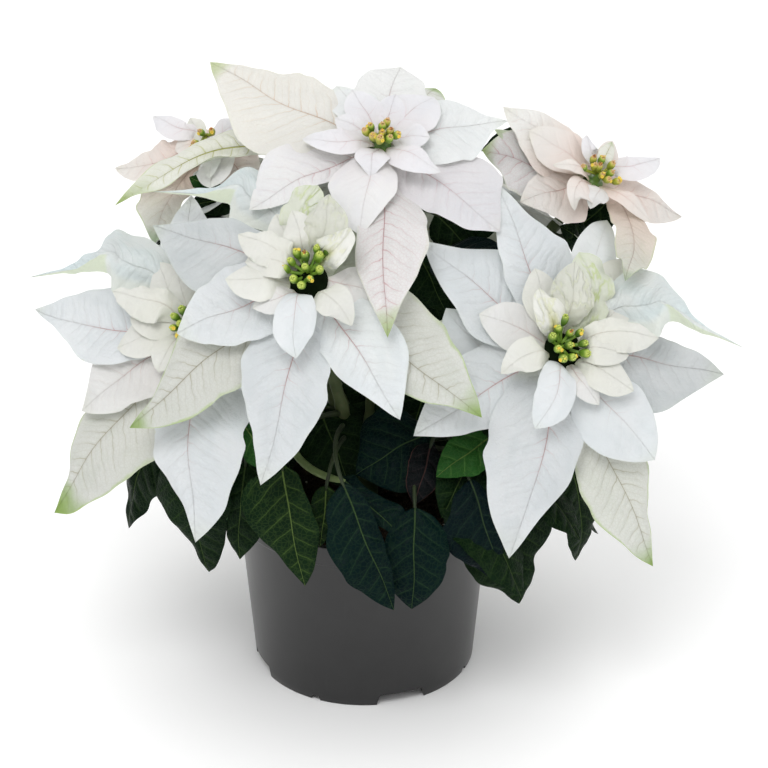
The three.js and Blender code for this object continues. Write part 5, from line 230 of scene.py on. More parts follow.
# leaves: name, stalk root, blade base, tip, upper-side normal, arch, fold, tone, half widths left and right (mm)
LEAVES = [
  ['L01',[-36.2,-2.9,164.4],[-127.3,-14.0,161.4],[-148.4,-18.0,97.8],[-0.707,-0.652,0.276],0.090,0.18,'dark',[14.2,22.0,25.1,18.4,12.3,7.6,3.3],[7.7,11.6,12.9,12.2,8.2,4.4,1.9]],
  ['L02',[-47.0,-3.2,175.1],[-107.2,-46.0,171.3],[-95.6,-52.0,86.4],[-0.440,-0.898,0.003],0.090,0.18,'dark',[19.5,27.5,28.5,25.0,18.6,11.8,6.8],[12.8,21.2,25.0,16.0,10.9,5.5,2.1]],
  ['L03',[-38.6,-3.0,166.8],[-70.8,-52.0,163.5],[-75.0,-70.0,105.9],[-0.322,-0.897,0.304],0.090,0.18,'dark',[12.8,19.0,21.1,19.8,15.7,9.3,3.1],[9.1,13.2,14.2,12.9,10.0,6.2,2.7]],
  ['L04',[-12.7,-20.4,181.3],[-47.6,-84.0,178.0],[-34.4,-104.0,107.7],[-0.115,-0.961,0.252],0.090,0.18,'veined',[8.9,10.5,13.9,15.2,13.6,8.8,3.8],[21.4,27.9,27.1,20.8,11.4,5.9,2.4]],
  ['L05',[-9.4,-16.0,164.2],[-21.9,-78.0,161.2],[-25.6,-92.0,127.5],[0.211,-0.911,0.355],0.090,0.50,'veined',[5.8,8.4,9.1,8.3,6.4,3.9,1.7],[5.8,8.4,9.1,8.3,6.4,3.9,1.7]],
  ['L06',[-11.1,-18.3,172.5],[-11.6,-90.0,169.1],[18.5,-112.0,95.9],[0.110,-0.939,0.327],0.090,0.18,'teal',[6.8,9.8,10.6,9.7,7.5,4.6,2.0],[13.5,17.6,21.6,21.4,17.6,11.2,4.8]],
  ['L07',[29.1,-7.5,153.0],[31.0,-84.0,149.6],[29.3,-106.0,92.2],[0.060,-0.933,0.355],0.090,0.18,'teal',[11.9,19.5,21.2,20.3,16.5,10.6,4.6],[10.7,14.5,17.4,18.0,16.6,12.3,5.4]],
  ['L08',[46.5,-10.8,166.8],[63.9,-74.0,163.1],[82.3,-92.0,102.5],[0.255,-0.903,0.346],0.090,0.18,'navy',[5.5,8.0,8.6,7.8,6.0,3.7,1.6],[12.3,17.5,25.3,24.5,19.1,10.6,4.9]],
  ['L09',[27.7,-7.3,151.9],[92.8,-56.0,139.5],[95.8,-66.0,71.9],[0.397,-0.905,0.151],0.090,0.18,'dark',[13.6,24.9,18.5,11.2,8.4,5.2,2.2],[22.1,32.9,36.3,33.9,26.8,13.0,5.6]],
  ['L10',[29.1,-7.5,153.0],[127.9,-34.0,149.7],[133.6,-38.0,85.3],[0.646,-0.756,0.104],0.090,0.18,'dark',[8.7,12.7,13.7,12.5,9.6,5.9,2.6],[12.8,19.9,21.9,16.3,11.0,6.8,2.9]],
  ['L11',[73.0,-17.3,188.0],[77.2,-58.0,184.4],[43.6,-74.0,165.2],[0.042,-0.803,0.595],0.090,0.18,'bright',[9.1,13.2,14.2,12.9,10.0,6.2,2.6],[9.1,13.3,14.3,13.0,10.1,6.2,2.7]],
  ['L12',[-76.5,-8.0,206.4],[-75.0,-66.0,203.2],[-43.9,-78.0,162.2],[0.081,-0.938,0.336],0.090,0.18,'bright',[6.4,9.3,10.0,9.2,7.1,4.4,1.9],[7.1,10.5,11.6,10.8,7.8,4.4,1.9]],
  ['L13',[52.5,-12.1,171.5],[40.5,-40.0,177.7],[-4.2,-62.0,160.7],[0.065,-0.690,0.721],0.090,0.18,'teal',[16.9,20.3,23.7,26.8,22.6,14.2,6.1],[19.9,25.0,27.1,25.8,20.8,11.8,5.0]],
  ['L14',[52.5,-12.1,171.5],[40.9,-50.0,174.7],[30.6,-76.0,147.2],[0.199,-0.749,0.632],0.090,0.18,'purple',[6.5,8.5,9.2,10.4,9.2,5.7,2.4],[7.4,10.4,10.8,10.2,8.6,5.7,2.4]],
  ['L15',[57.0,-13.0,175.0],[64.4,-54.0,171.4],[47.4,-78.0,139.4],[0.283,-0.834,0.474],0.090,0.18,'dark',[13.2,19.1,20.6,18.8,14.5,8.9,3.8],[9.9,14.3,15.4,14.1,10.9,6.7,2.9]],
  ['L16',[-9.0,-15.5,162.5],[-12.6,-66.0,160.1],[26.3,-94.0,131.4],[-0.090,-0.771,0.630],0.090,0.18,'teal',[6.5,6.3,7.6,10.4,12.4,8.8,3.9],[4.4,6.1,7.2,7.2,4.9,2.8,1.2]],
  ['L17',[-43.4,-3.1,171.5],[-25.4,-20.0,179.8],[-7.0,-44.0,139.8],[-0.061,-0.868,0.493],0.090,0.18,'dark',[13.3,19.3,20.8,19.0,14.6,9.0,3.9],[13.3,19.3,20.8,19.0,14.6,9.0,3.9]],
  ['L18',[52.5,-12.1,171.5],[65.6,-34.2,176.0],[131.8,-67.3,118.0],[0.545,-0.290,0.787],0.090,0.18,'dark',[17.2,25.1,27.0,24.6,19.0,11.7,5.0],[17.2,25.1,27.0,24.6,19.0,11.7,5.0]],
  ['L19',[27.7,-7.3,151.9],[79.6,-7.6,148.0],[149.5,-12.6,92.0],[0.621,-0.068,0.781],0.090,0.18,'dark',[17.9,26.0,28.0,25.5,19.7,12.2,5.2],[17.9,26.0,28.0,25.5,19.7,12.2,5.2]],
  ['L20',[43.9,30.7,184.4],[68.4,15.2,182.0],[139.5,27.3,122.0],[0.622,0.151,0.768],0.090,0.18,'veined',[17.2,25.1,27.0,24.6,19.0,11.7,5.0],[17.2,25.1,27.0,24.6,19.0,11.7,5.0]],
  ['L21',[15.3,9.8,155.9],[68.5,45.2,152.0],[126.2,81.1,98.0],[0.514,0.350,0.783],0.090,0.18,'dark',[18.5,26.9,29.0,26.4,20.4,12.6,5.4],[18.5,26.9,29.0,26.4,20.4,12.6,5.4]],
  ['L22',[40.4,28.1,181.0],[38.8,53.4,186.0],[85.9,110.9,128.0],[0.349,0.508,0.787],0.090,0.18,'dark',[17.2,25.1,27.0,24.6,19.0,11.7,5.0],[17.2,25.1,27.0,24.6,19.0,11.7,5.0]],
  ['L23',[9.4,17.6,153.8],[21.7,79.1,150.0],[43.6,143.7,94.0],[0.149,0.618,0.772],0.090,0.18,'navy',[18.5,26.9,29.0,26.4,20.4,12.6,5.4],[18.5,26.9,29.0,26.4,20.4,12.6,5.4]],
  ['L24',[-20.3,44.7,180.5],[-7.9,67.6,180.0],[-13.8,143.5,120.0],[-0.084,0.614,0.785],0.090,0.18,'dark',[17.2,25.1,27.0,24.6,19.0,11.7,5.0],[17.2,25.1,27.0,24.6,19.0,11.7,5.0]],
  ['L25',[-7.6,16.9,154.8],[-39.1,72.1,152.0],[-72.7,131.2,96.0],[-0.297,0.562,0.772],0.090,0.18,'dark',[18.5,26.9,29.0,26.4,20.4,12.6,5.4],[18.5,26.9,29.0,26.4,20.4,12.6,5.4]],
  ['L26',[-26.7,34.8,186.9],[-51.2,44.8,184.0],[-106.6,90.8,126.0],[-0.467,0.419,0.779],0.090,0.18,'veined',[17.2,25.1,27.0,24.6,19.0,11.7,5.0],[17.2,25.1,27.0,24.6,19.0,11.7,5.0]],
  ['L27',[-24.3,-2.8,152.9],[-76.4,29.8,150.0],[-138.4,58.4,94.0],[-0.599,0.213,0.772],0.090,0.18,'dark',[17.9,26.0,28.0,25.5,19.7,12.2,5.2],[17.9,26.0,28.0,25.5,19.7,12.2,5.2]],
  ['L28',[-47.0,-3.2,175.1],[-72.0,3.1,178.0],[-146.0,12.5,118.0],[-0.630,0.002,0.777],0.090,0.18,'dark',[17.2,25.1,27.0,24.6,19.0,11.7,5.0],[17.2,25.1,27.0,24.6,19.0,11.7,5.0]],
  ['L29',[-39.8,-3.0,168.0],[-64.4,-27.5,164.0],[-107.8,-43.1,116.0],[-0.661,-0.290,0.692],0.090,0.18,'dark',[15.3,22.3,24.0,21.9,16.9,10.4,4.5],[15.3,22.3,24.0,21.9,16.9,10.4,4.5]],
  ['L30',[29.1,-7.5,153.0],[54.4,-58.7,150.0],[95.7,-99.5,96.0],[0.455,-0.507,0.732],0.090,0.18,'dark',[15.3,22.3,24.0,21.9,16.9,10.4,4.5],[15.3,22.3,24.0,21.9,16.9,10.4,4.5]],
  ['L31',[75.4,52.9,215.5],[92.0,12.0,224.0],[158.0,18.0,176.0],[0.590,-0.044,0.806],0.090,0.18,'dark',[17.2,25.1,27.0,24.6,19.0,11.7,5.0],[17.2,25.1,27.0,24.6,19.0,11.7,5.0]],
  ['L32',[-84.0,-11.7,215.9],[-86.0,22.0,236.0],[-152.0,30.0,190.0],[-0.571,0.014,0.821],0.090,0.18,'dark',[17.2,25.1,27.0,24.6,19.0,11.7,5.0],[17.2,25.1,27.0,24.6,19.0,11.7,5.0]],
  ['L33',[9.6,37.9,262.1],[44.0,34.0,262.0],[98.0,2.0,262.0],[-0.118,-0.200,0.973],0.090,0.18,'navy',[15.3,22.3,24.0,21.9,16.9,10.4,4.5],[15.3,22.3,24.0,21.9,16.9,10.4,4.5]]
]

# leaves deep inside the plant
INNER = [
  ['in1',[9.6,37.8,261.2],[33.7,40.0,262.0],[51.1,26.0,227.5],[-0.021,-0.930,0.367],0.080,0.16,'dark',[11.9,17.3,18.6,16.9,13.1,8.1,3.5],[11.9,17.3,18.6,16.9,13.1,8.1,3.5]],
  ['in2',[79.6,55.6,219.8],[55.2,50.0,246.8],[25.2,34.0,208.6],[-0.021,-0.916,0.401],0.080,0.16,'dark',[11.1,16.1,17.3,15.8,12.2,7.5,3.2],[11.1,16.1,17.3,15.8,12.2,7.5,3.2]],
  ['in3',[9.9,38.6,278.0],[45.2,64.0,277.6],[71.7,56.0,248.3],[0.261,-0.845,0.467],0.080,0.16,'dark',[9.5,13.8,14.9,13.6,10.5,6.5,2.8],[9.5,13.8,14.9,13.6,10.5,6.5,2.8]],
  ['in4',[93.0,63.9,233.6],[59.2,66.0,264.5],[92.4,60.0,284.6],[-0.394,-0.824,0.407],0.080,0.16,'dark',[7.9,11.5,12.4,11.3,8.7,5.4,2.3],[7.9,11.5,12.4,11.3,8.7,5.4,2.3]],
  ['in5',[117.1,75.2,260.0],[143.5,60.0,253.4],[122.0,50.0,275.3],[0.689,-0.602,0.403],0.080,0.16,'dark',[7.5,10.9,11.8,10.7,8.3,5.1,2.2],[7.5,10.9,11.8,10.7,8.3,5.1,2.2]],
  ['in6',[-77.9,92.2,281.6],[-77.7,70.0,287.3],[-109.9,62.0,282.4],[0.041,-0.634,0.773],0.080,0.16,'dark',[6.7,9.8,10.5,9.6,7.4,4.6,2.0],[6.7,9.8,10.5,9.6,7.4,4.6,2.0]],
  ['in7',[-13.5,16.4,163.8],[-26.5,20.0,166.5],[-15.0,-6.0,127.5],[-0.120,-0.842,0.527],0.080,0.16,'dark',[16.6,24.2,26.0,23.7,18.3,11.3,4.9],[16.6,24.2,26.0,23.7,18.3,11.3,4.9]],
  ['in8',[28.5,19.3,169.2],[37.7,16.0,179.7],[23.9,-10.0,135.4],[0.135,-0.872,0.470],0.080,0.16,'dark',[16.6,24.2,26.0,23.7,18.3,11.3,4.9],[16.6,24.2,26.0,23.7,18.3,11.3,4.9]],
  ['in9',[-50.8,-3.4,178.8],[-57.4,10.0,174.3],[-46.0,-14.0,137.5],[-0.258,-0.844,0.471],0.080,0.16,'dark',[13.5,19.6,21.1,19.2,14.8,9.1,3.9],[13.5,19.6,21.1,19.2,14.8,9.1,3.9]],
  ['in10',[58.6,-13.4,176.3],[71.4,10.0,171.5],[61.3,-14.0,133.3],[0.227,-0.851,0.474],0.080,0.16,'dark',[14.3,20.7,22.3,20.3,15.7,9.7,4.2],[14.3,20.7,22.3,20.3,15.7,9.7,4.2]],
  ['in11',[24.9,46.0,180.0],[12.6,40.0,179.1],[2.5,14.0,139.7],[0.027,-0.838,0.545],0.080,0.16,'dark',[16.6,24.2,26.0,23.7,18.3,11.3,4.9],[16.6,24.2,26.0,23.7,18.3,11.3,4.9]],
  ['in12',[-55.2,-3.7,183.3],[-84.3,0.0,176.5],[-79.2,-20.0,140.8],[-0.362,-0.835,0.415],0.080,0.16,'dark',[11.9,17.3,18.6,16.9,13.1,8.1,3.5],[11.9,17.3,18.6,16.9,13.1,8.1,3.5]],
  ['in13',[60.4,-13.9,177.8],[105.9,0.0,171.0],[114.4,-20.0,138.0],[0.341,-0.763,0.550],0.080,0.16,'dark',[12.7,18.4,19.8,18.1,14.0,8.6,3.7],[12.7,18.4,19.8,18.1,14.0,8.6,3.7]],
  ['in14',[29.9,55.3,188.2],[22.8,44.0,192.7],[44.1,20.0,163.6],[-0.102,-0.803,0.587],0.080,0.16,'dark',[13.5,19.6,21.1,19.2,14.8,9.1,3.9],[13.5,19.6,21.1,19.2,14.8,9.1,3.9]],
  ['in15',[-15.7,34.4,171.3],[-8.0,56.0,165.6],[-22.0,34.0,133.5],[0.047,-0.833,0.551],0.080,0.16,'dark',[14.3,20.7,22.3,20.3,15.7,9.7,4.2],[14.3,20.7,22.3,20.3,15.7,9.7,4.2]],
  ['in16',[56.5,39.9,196.9],[77.6,50.0,189.9],[86.5,30.0,150.0],[0.149,-0.870,0.470],0.080,0.16,'dark',[13.5,19.6,21.1,19.2,14.8,9.1,3.9],[13.5,19.6,21.1,19.2,14.8,9.1,3.9]],
  ['in17',[9.5,37.2,255.2],[23.6,44.7,258.2],[69.5,69.2,242.2],[0.260,0.138,0.956],0.080,0.14,'dark',[10.9,15.8,17.0,15.5,12.0,7.4,3.2],[10.9,15.8,17.0,15.5,12.0,7.4,3.2]],
  ['in18',[9.9,38.6,280.0],[2.4,52.8,283.0],[-21.1,96.9,269.0],[-0.127,0.238,0.963],0.080,0.14,'veined',[10.9,15.8,17.0,15.5,12.0,7.4,3.2],[10.9,15.8,17.0,15.5,12.0,7.4,3.2]],
  ['in19',[88.3,61.1,228.7],[103.5,55.9,231.7],[152.5,38.7,215.7],[0.278,-0.097,0.956],0.080,0.14,'dark',[10.9,15.8,17.0,15.5,12.0,7.4,3.2],[10.9,15.8,17.0,15.5,12.0,7.4,3.2]],
  ['in20',[107.2,71.3,248.7],[112.4,86.4,251.7],[128.9,133.6,237.7],[0.089,0.255,0.963],0.080,0.14,'dark',[10.9,15.8,17.0,15.5,12.0,7.4,3.2],[10.9,15.8,17.0,15.5,12.0,7.4,3.2]],
  ['in21',[-55.9,73.1,240.1],[-58.3,89.0,243.1],[-66.3,140.4,227.1],[-0.045,0.291,0.956],0.080,0.14,'veined',[10.9,15.8,17.0,15.5,12.0,7.4,3.2],[10.9,15.8,17.0,15.5,12.0,7.4,3.2]],
  ['in22',[-67.8,85.3,262.3],[-83.6,82.9,265.3],[-133.0,75.2,251.3],[-0.266,-0.041,0.963],0.080,0.14,'dark',[10.9,15.8,17.0,15.5,12.0,7.4,3.2],[10.9,15.8,17.0,15.5,12.0,7.4,3.2]],
  ['in23',[-19.0,-29.5,222.1],[-33.6,-36.1,225.1],[-81.0,-57.5,209.1],[-0.268,-0.121,0.956],0.080,0.14,'dark',[10.9,15.8,17.0,15.5,12.0,7.4,3.2],[10.9,15.8,17.0,15.5,12.0,7.4,3.2]],
  ['in24',[-21.9,-35.0,241.8],[-15.3,-49.5,244.8],[5.4,-95.1,230.8],[0.111,-0.246,0.963],0.080,0.14,'veined',[10.9,15.8,17.0,15.5,12.0,7.4,3.2],[10.9,15.8,17.0,15.5,12.0,7.4,3.2]],
  ['in25',[74.5,-17.8,189.2],[79.9,-32.8,192.2],[97.8,-81.6,176.2],[0.101,-0.276,0.956],0.080,0.14,'dark',[10.9,15.8,17.0,15.5,12.0,7.4,3.2],[10.9,15.8,17.0,15.5,12.0,7.4,3.2]],
  ['in26',[88.8,-23.5,202.0],[103.8,-18.0,205.0],[150.8,-0.8,191.0],[0.253,0.092,0.963],0.080,0.14,'dark',[10.9,15.8,17.0,15.5,12.0,7.4,3.2],[10.9,15.8,17.0,15.5,12.0,7.4,3.2]],
  ['in27',[-63.6,-4.7,192.0],[-78.5,1.0,195.0],[-127.1,19.7,179.0],[-0.275,0.105,0.956],0.080,0.14,'veined',[10.9,15.8,17.0,15.5,12.0,7.4,3.2],[10.9,15.8,17.0,15.5,12.0,7.4,3.2]],
  ['in28',[-75.4,-7.6,205.1],[-81.1,-22.5,208.1],[-99.0,-69.2,194.1],[-0.097,-0.252,0.963],0.080,0.14,'dark',[10.9,15.8,17.0,15.5,12.0,7.4,3.2],[10.9,15.8,17.0,15.5,12.0,7.4,3.2]],
  ['in29',[39.9,74.0,204.7],[54.9,79.6,207.7],[103.7,97.8,191.7],[0.276,0.103,0.956],0.080,0.14,'dark',[10.9,15.8,17.0,15.5,12.0,7.4,3.2],[10.9,15.8,17.0,15.5,12.0,7.4,3.2]],
  ['in30',[48.6,90.3,219.4],[43.0,105.3,222.4],[25.5,152.2,208.4],[-0.094,0.253,0.963],0.080,0.14,'veined',[10.9,15.8,17.0,15.5,12.0,7.4,3.2],[10.9,15.8,17.0,15.5,12.0,7.4,3.2]],
  ['in31',[-34.5,75.9,208.4],[-29.6,91.1,211.4],[-13.4,140.5,195.4],[0.091,0.280,0.956],0.080,0.14,'dark',[10.9,15.8,17.0,15.5,12.0,7.4,3.2],[10.9,15.8,17.0,15.5,12.0,7.4,3.2]],
  ['in32',[-42.0,92.5,223.6],[-57.2,97.5,226.6],[-104.7,113.0,212.6],[-0.256,0.084,0.963],0.080,0.14,'dark',[10.9,15.8,17.0,15.5,12.0,7.4,3.2],[10.9,15.8,17.0,15.5,12.0,7.4,3.2]],
  ['in33',[129.6,77.0,275.7],[156.6,80.0,281.9],[128.3,78.0,254.0],[-0.208,-0.938,0.278],0.080,0.16,'dark',[8.7,12.7,13.6,12.4,9.6,5.9,2.5],[8.7,12.7,13.6,12.4,9.6,5.9,2.5]],
  ['in35',[129.6,77.0,275.7],[100.4,88.0,323.8],[73.5,84.0,312.0],[-0.190,-0.714,0.674],0.080,0.16,'dark',[4.0,5.8,6.2,5.6,4.4,2.7,1.2],[4.0,5.8,6.2,5.6,4.4,2.7,1.2]],
  ['in34',[-77.9,92.2,281.6],[-105.0,98.0,276.0],[-84.7,96.0,265.8],[0.196,-0.813,0.549],0.080,0.16,'dark',[7.1,10.4,11.1,10.2,7.9,4.8,2.1],[7.1,10.4,11.1,10.2,7.9,4.8,2.1]],
  ['in36',[-82.2,93.6,290.1],[-88.4,72.0,288.5],[-109.0,68.0,300.8],[0.316,-0.920,0.230],0.080,0.16,'bright',[5.9,8.6,9.3,8.5,6.5,4.0,1.7],[5.9,8.6,9.3,8.5,6.5,4.0,1.7]]
]

# bracts with a shape of their own: a bent centre line (mm), half widths, folds and ruffles
SPECIAL = {
    'E19': {'L': [3, 6.5, 8.5, 8, 6, 4, 2], 'R': [3, 8, 12, 13, 12, 8.5, 4], 'ruf': 0.03, 'waves': 3.2, 'tone': 'cream', 'path': [[123.1, -56.9, 244.1], [136.8, -58.6, 252.0], [155.8, -56.0, 252.1], [175.0, -48.8, 244.8]]},
    'D9': {'L': [3, 8, 12, 13, 12, 8.5, 4], 'R': [3, 7, 9, 8.5, 6.5, 4, 2], 'ruf': 0.03, 'waves': 3.2, 'tone': 'cream', 'path': [[-33.9, -66.7, 296.4], [-44.6, -68.0, 307.0], [-57.9, -62.6, 312.2], [-71.6, -52.9, 313.0]]},
    'F5': {'L': [3, 9, 13, 13, 10, 7, 3], 'R': [3, 7, 9, 8.5, 6.5, 4, 2], 'ruf': 0.03, 'waves': 3.2, 'tone': 'cream', 'path': [[-107.1, -33.4, 250.7], [-118.0, -33.8, 259.4], [-130.8, -29.1, 261.8], [-150.9, -13.2, 259.3]]},
    'E4': {'L': [3, 9, 14, 16, 15, 11, 6], 'R': [3, 9, 14, 15.5, 14.5, 11, 6], 'ruf': 0.072, 'waves': 3.8, 'tone': 'palegreen', 'quilt': 0.7, 'dents': 3.0, 'path': [[124.7, -48.1, 249.7], [132.4, -40.2, 265.5], [135.0, -30.6, 277.5], [128.2, -21.3, 288.2]]},
    'D13': {'L': [3, 8, 12, 14, 13, 10, 6], 'R': [3, 8, 12, 14, 13, 10, 6], 'ruf': 0.072, 'waves': 3.8, 'tone': 'palegreen', 'quilt': 0.7, 'dents': 3.0, 'path': [[-28.9, -58.1, 301.5], [-33.5, -51.7, 316.3], [-33.7, -42.1, 326.7], [-25.7, -31.0, 334.6]]},
    'E5': {'L': [3, 8, 12.5, 13.5, 12, 8, 3.6], 'R': [3, 8.5, 13, 14, 12, 7.5, 3.4], 'tone': 'cream_shaded_copy', 'fold': 0.36, 'quilt': 0.8, 'dents': 2.6, 'ruf': 0.02, 'waves': 3, 'path': [[120.4, -51.0, 249.8], [122.7, -49.8, 271.2], [125.1, -32.1, 287.1]]},
    'D11': {'L': [3, 8.5, 12, 13, 12, 8, 3.6], 'R': [3, 8.5, 12, 13, 12, 8, 3.6], 'tone': 'cream_shaded_copy', 'fold': 0.36, 'quilt': 0.8, 'dents': 2.6, 'ruf': 0.02, 'waves': 3, 'path': [[-26.0, -62.3, 300.8], [-21.7, -63.1, 320.4], [-19.0, -46.5, 335.2]]},
    'D12': {'L': [2.5, 6, 9, 10, 9, 6, 3], 'R': [2.5, 6, 9, 10, 9, 6, 3], 'tone': 'cream', 'fold': 0.2, 'path': [[-30.6, -61.7, 300.5], [-35.6, -60.3, 316.1], [-40.5, -45.5, 324.9]]},
    'E6': {'L': [2.5, 6.5, 9.5, 10, 8.5, 6, 3], 'R': [2.5, 6.5, 9.5, 10, 8.5, 6, 3], 'tone': 'yellowheart', 'fold': 0.8, 'camber': 0.1, 'path': [[116.0, -53.2, 252.1], [110.0, -59.7, 264.1], [105.7, -58.8, 272.7], [103.0, -52.5, 278.8]]},
    'D14': {'L': [2.5, 6.5, 9.5, 10, 8.5, 6, 3], 'R': [2.5, 6.5, 9.5, 10, 8.5, 6, 3], 'tone': 'yellowheart', 'fold': 0.8, 'camber': 0.1, 'path': [[-23.0, -64.8, 301.9], [-15.9, -72.4, 311.4], [-10.7, -72.3, 318.1], [-6.8, -66.4, 323.0]]},
    'D16': {'L': [2.5, 7, 10, 10.5, 9, 6, 3], 'R': [2.5, 7, 10, 10.5, 9, 6, 3], 'fold': -0.3, 'tone': 'cream', 'camber': 0.3, 'path': [[-28.1, -74.3, 290.4], [-20.8, -91.4, 292.4], [-12.2, -100.0, 288.9], [-5.5, -99.9, 276.4]]},
    'E9': {'L': [2.5, 7, 10, 10.5, 9, 6, 3], 'R': [2.5, 7, 10, 10.5, 9, 6, 3], 'fold': -0.3, 'tone': 'cream', 'camber': 0.3, 'path': [[111.7, -61.9, 243.2], [100.7, -77.3, 249.3], [89.3, -84.5, 247.6], [80.3, -83.8, 238.3]]},
    'E16': {'L': [2.5, 6, 8, 8.5, 7.5, 5, 2.5], 'R': [2.5, 7, 10, 10.5, 9, 6, 3], 'tone': 'cream', 'fold': 0.05, 'camber': 0.25, 'path': [[125.5, -56.3, 243.8], [135.3, -65.5, 246.9], [145.9, -65.2, 244.8], [156.6, -59.7, 238.9]]},
    'E17': {'L': [2.5, 7, 10.5, 11.5, 10, 7, 3.5], 'R': [2.5, 7, 11, 12.5, 11.5, 8.5, 4], 'tone': 'cream', 'camber': 0.2, 'path': [[123.1, -59.4, 240.1], [136.4, -70.4, 236.9], [159.1, -72.5, 221.6]]},
    'E18': {'L': [2.5, 6, 8.5, 9, 8, 5.5, 2.5], 'R': [2.5, 6, 8.5, 9, 8, 5.5, 2.5], 'tone': 'pinkish', 'path': [[119.5, -61.4, 237.8], [127.0, -74.9, 231.3], [138.2, -80.7, 216.6]]},
    'D5': {'L': [2.5, 6.5, 9.5, 10.5, 9.5, 7, 3.5], 'R': [2.5, 6.5, 9.5, 10.5, 9.5, 7, 3.5], 'tone': 'cream', 'fold': 0.05, 'camber': 0.25, 'path': [[-35.7, -65.6, 297.2], [-45.1, -72.6, 304.0], [-56.0, -70.2, 305.4], [-67.3, -64.3, 300.4]]},
    'D4': {'L': [2.5, 8, 12, 13.5, 12, 8.5, 4], 'R': [2.5, 8, 12, 13.5, 12, 8.5, 4], 'tone': 'cream', 'camber': 0.2, 'path': [[-35.1, -68.3, 293.4], [-53.7, -76.0, 294.9], [-78.7, -69.3, 291.9]]},
    'D6': {'L': [2.5, 6, 8.5, 9, 8, 5.5, 2.5], 'R': [2.5, 6, 8.5, 9, 8, 5.5, 2.5], 'tone': 'pinkish', 'path': [[-32.8, -70.8, 290.1], [-44.5, -81.5, 287.3], [-62.9, -81.7, 279.3]]},
    'B3': {'L': [2.2, 4, 4.6, 4.6, 4, 3, 1.6], 'R': [2.2, 4, 4.6, 4.6, 4, 3, 1.6], 'fold': -0.3, 'tone': 'peach', 'camber': 0.3, 'path': [[142.7, 59.9, 308.0], [132.9, 48.8, 315.5], [123.9, 44.0, 318.7], [115.5, 45.3, 317.6]]},
    'B13': {'L': [3.5, 6, 7.6, 8, 7, 4.6, 2.3], 'R': [3.5, 6, 7.6, 8, 7, 4.6, 2.3], 'fold': -0.12, 'tone': 'pinkish', 'camber': 0.25, 'dents': 0.2, 'twist': 0, 'path': [[145.6, 46.6, 301.3], [141.7, 35.9, 299.6], [138.7, 33.4, 293.4]]},
    'B12': {'L': [4, 9, 13, 15, 14, 10, 5], 'R': [3, 5, 6.2, 6.2, 5.2, 3.6, 2], 'tone': 'peach', 'camber': 0.25, 'path': [[140.5, 61.8, 303.9], [132.0, 40.1, 307.2], [128.3, 29.4, 302.9], [129.1, 28.3, 294.2]]},
    'B8': {'L': [3, 5.6, 6.8, 6.8, 5.8, 3.8, 1.9], 'R': [3, 5.6, 6.8, 6.8, 5.8, 3.8, 1.9], 'tone': 'peach', 'path': [[150.5, 60.4, 299.1], [158.2, 48.0, 298.1], [167.4, 44.9, 291.4], [178.1, 46.7, 279.3]]},
    'B6': {'L': [3, 6, 7.2, 6.8, 5.2, 3.2, 1.6], 'R': [3, 7, 9.5, 10.5, 9, 6, 3], 'tone': 'pink', 'path': [[155.2, 74.6, 304.9], [166.1, 72.0, 306.6], [176.3, 79.6, 305.7], [187.1, 92.9, 303.9]]},
    'B4': {'L': [3, 5.4, 6.6, 6.6, 5.6, 3.8, 1.9], 'R': [3, 5.4, 6.6, 6.6, 5.6, 3.8, 1.9], 'tone': 'pink', 'path': [[145.6, 74.2, 309.7], [141.9, 70.5, 317.1], [140.2, 75.2, 320.6], [139.5, 83.0, 323.0]]},
    'B7': {'tone': 'peach'},
    'D17': {'arch': 0.02, 'fold': 0.02},
    'D1': {'arch': 0.09},
    'A5': {'L': [4, 8, 10.5, 10.5, 8.5, 5, 2.4], 'R': [4, 8, 10.5, 10.5, 8.5, 5, 2.4], 'fold': 0.22, 'tone': 'pink', 'path': [[5.5, 13.4, 343.3], [5.2, -5.0, 341.4], [5.0, -13.1, 332.6]]},
    'A6': {'L': [3, 6, 7.5, 7.5, 6, 4, 2], 'R': [4, 9, 12, 12.5, 10.5, 6.5, 3], 'tone': 'pink', 'path': [[13.8, 16.0, 343.5], [25.6, -0.2, 344.0], [36.1, -7.1, 340.3], [46.2, -9.7, 334.4]]},
    'A3': {'L': [3, 7, 9, 9, 7.5, 5, 2.5], 'R': [4, 9, 11, 11.5, 10, 7, 3.5], 'tone': 'pink', 'path': [[1.9, 16.0, 343.5], [-9.9, 8.0, 347.2], [-23.6, 8.7, 347.6], [-36.2, 14.4, 346.1]]},
    'C1': {'L': [3, 6, 8.4, 9, 8, 5, 2.5], 'R': [3, 5.5, 6.6, 6.8, 5.8, 4, 2], 'tone': 'pink', 'path': [[-104.7, 88.9, 322.1], [-113.3, 87.1, 325.5], [-123.6, 99.1, 325.7], [-134.5, 115.1, 323.9]]},
    'C3': {'tone': 'pink'},
    'C4': {'L': [4, 11, 15, 15.5, 11.5, 6, 2.5], 'R': [6, 14, 17, 15.5, 12, 6.5, 2.8], 'tone': 'peach', 'edge_wave': 0.008, 'path': [[-104.8, 86.6, 315.0], [-120.2, 79.7, 310.3], [-134.9, 80.7, 304.5], [-149.0, 87.4, 299.3], [-158.2, 95.7, 296.0]]},
    'E3': {'tone': 'snow'},
    'E11': {'L': [3, 8, 11.2, 12.2, 11.4, 8, 3.8], 'R': [3, 8, 11.2, 12.2, 11.4, 8, 3.8], 'tone': 'white', 'path': [[117.6, -60.4, 242.5], [115.6, -75.4, 238.1], [113.4, -86.1, 232.3], [108.5, -94.6, 222.3], [99.8, -101.1, 211.4]]},
    'D2': {'L': [3, 7.5, 11, 12.4, 11.6, 8, 3.6], 'R': [3, 7.5, 11, 12.4, 11.6, 8, 3.6], 'tone': 'white', 'path': [[-34.5, -69.3, 292.5], [-36.7, -84.6, 288.7], [-38.4, -96.2, 281.6], [-38.6, -104.4, 271.0], [-37.2, -108.8, 260.2]]},
    'F14': {'arch': 0.15},
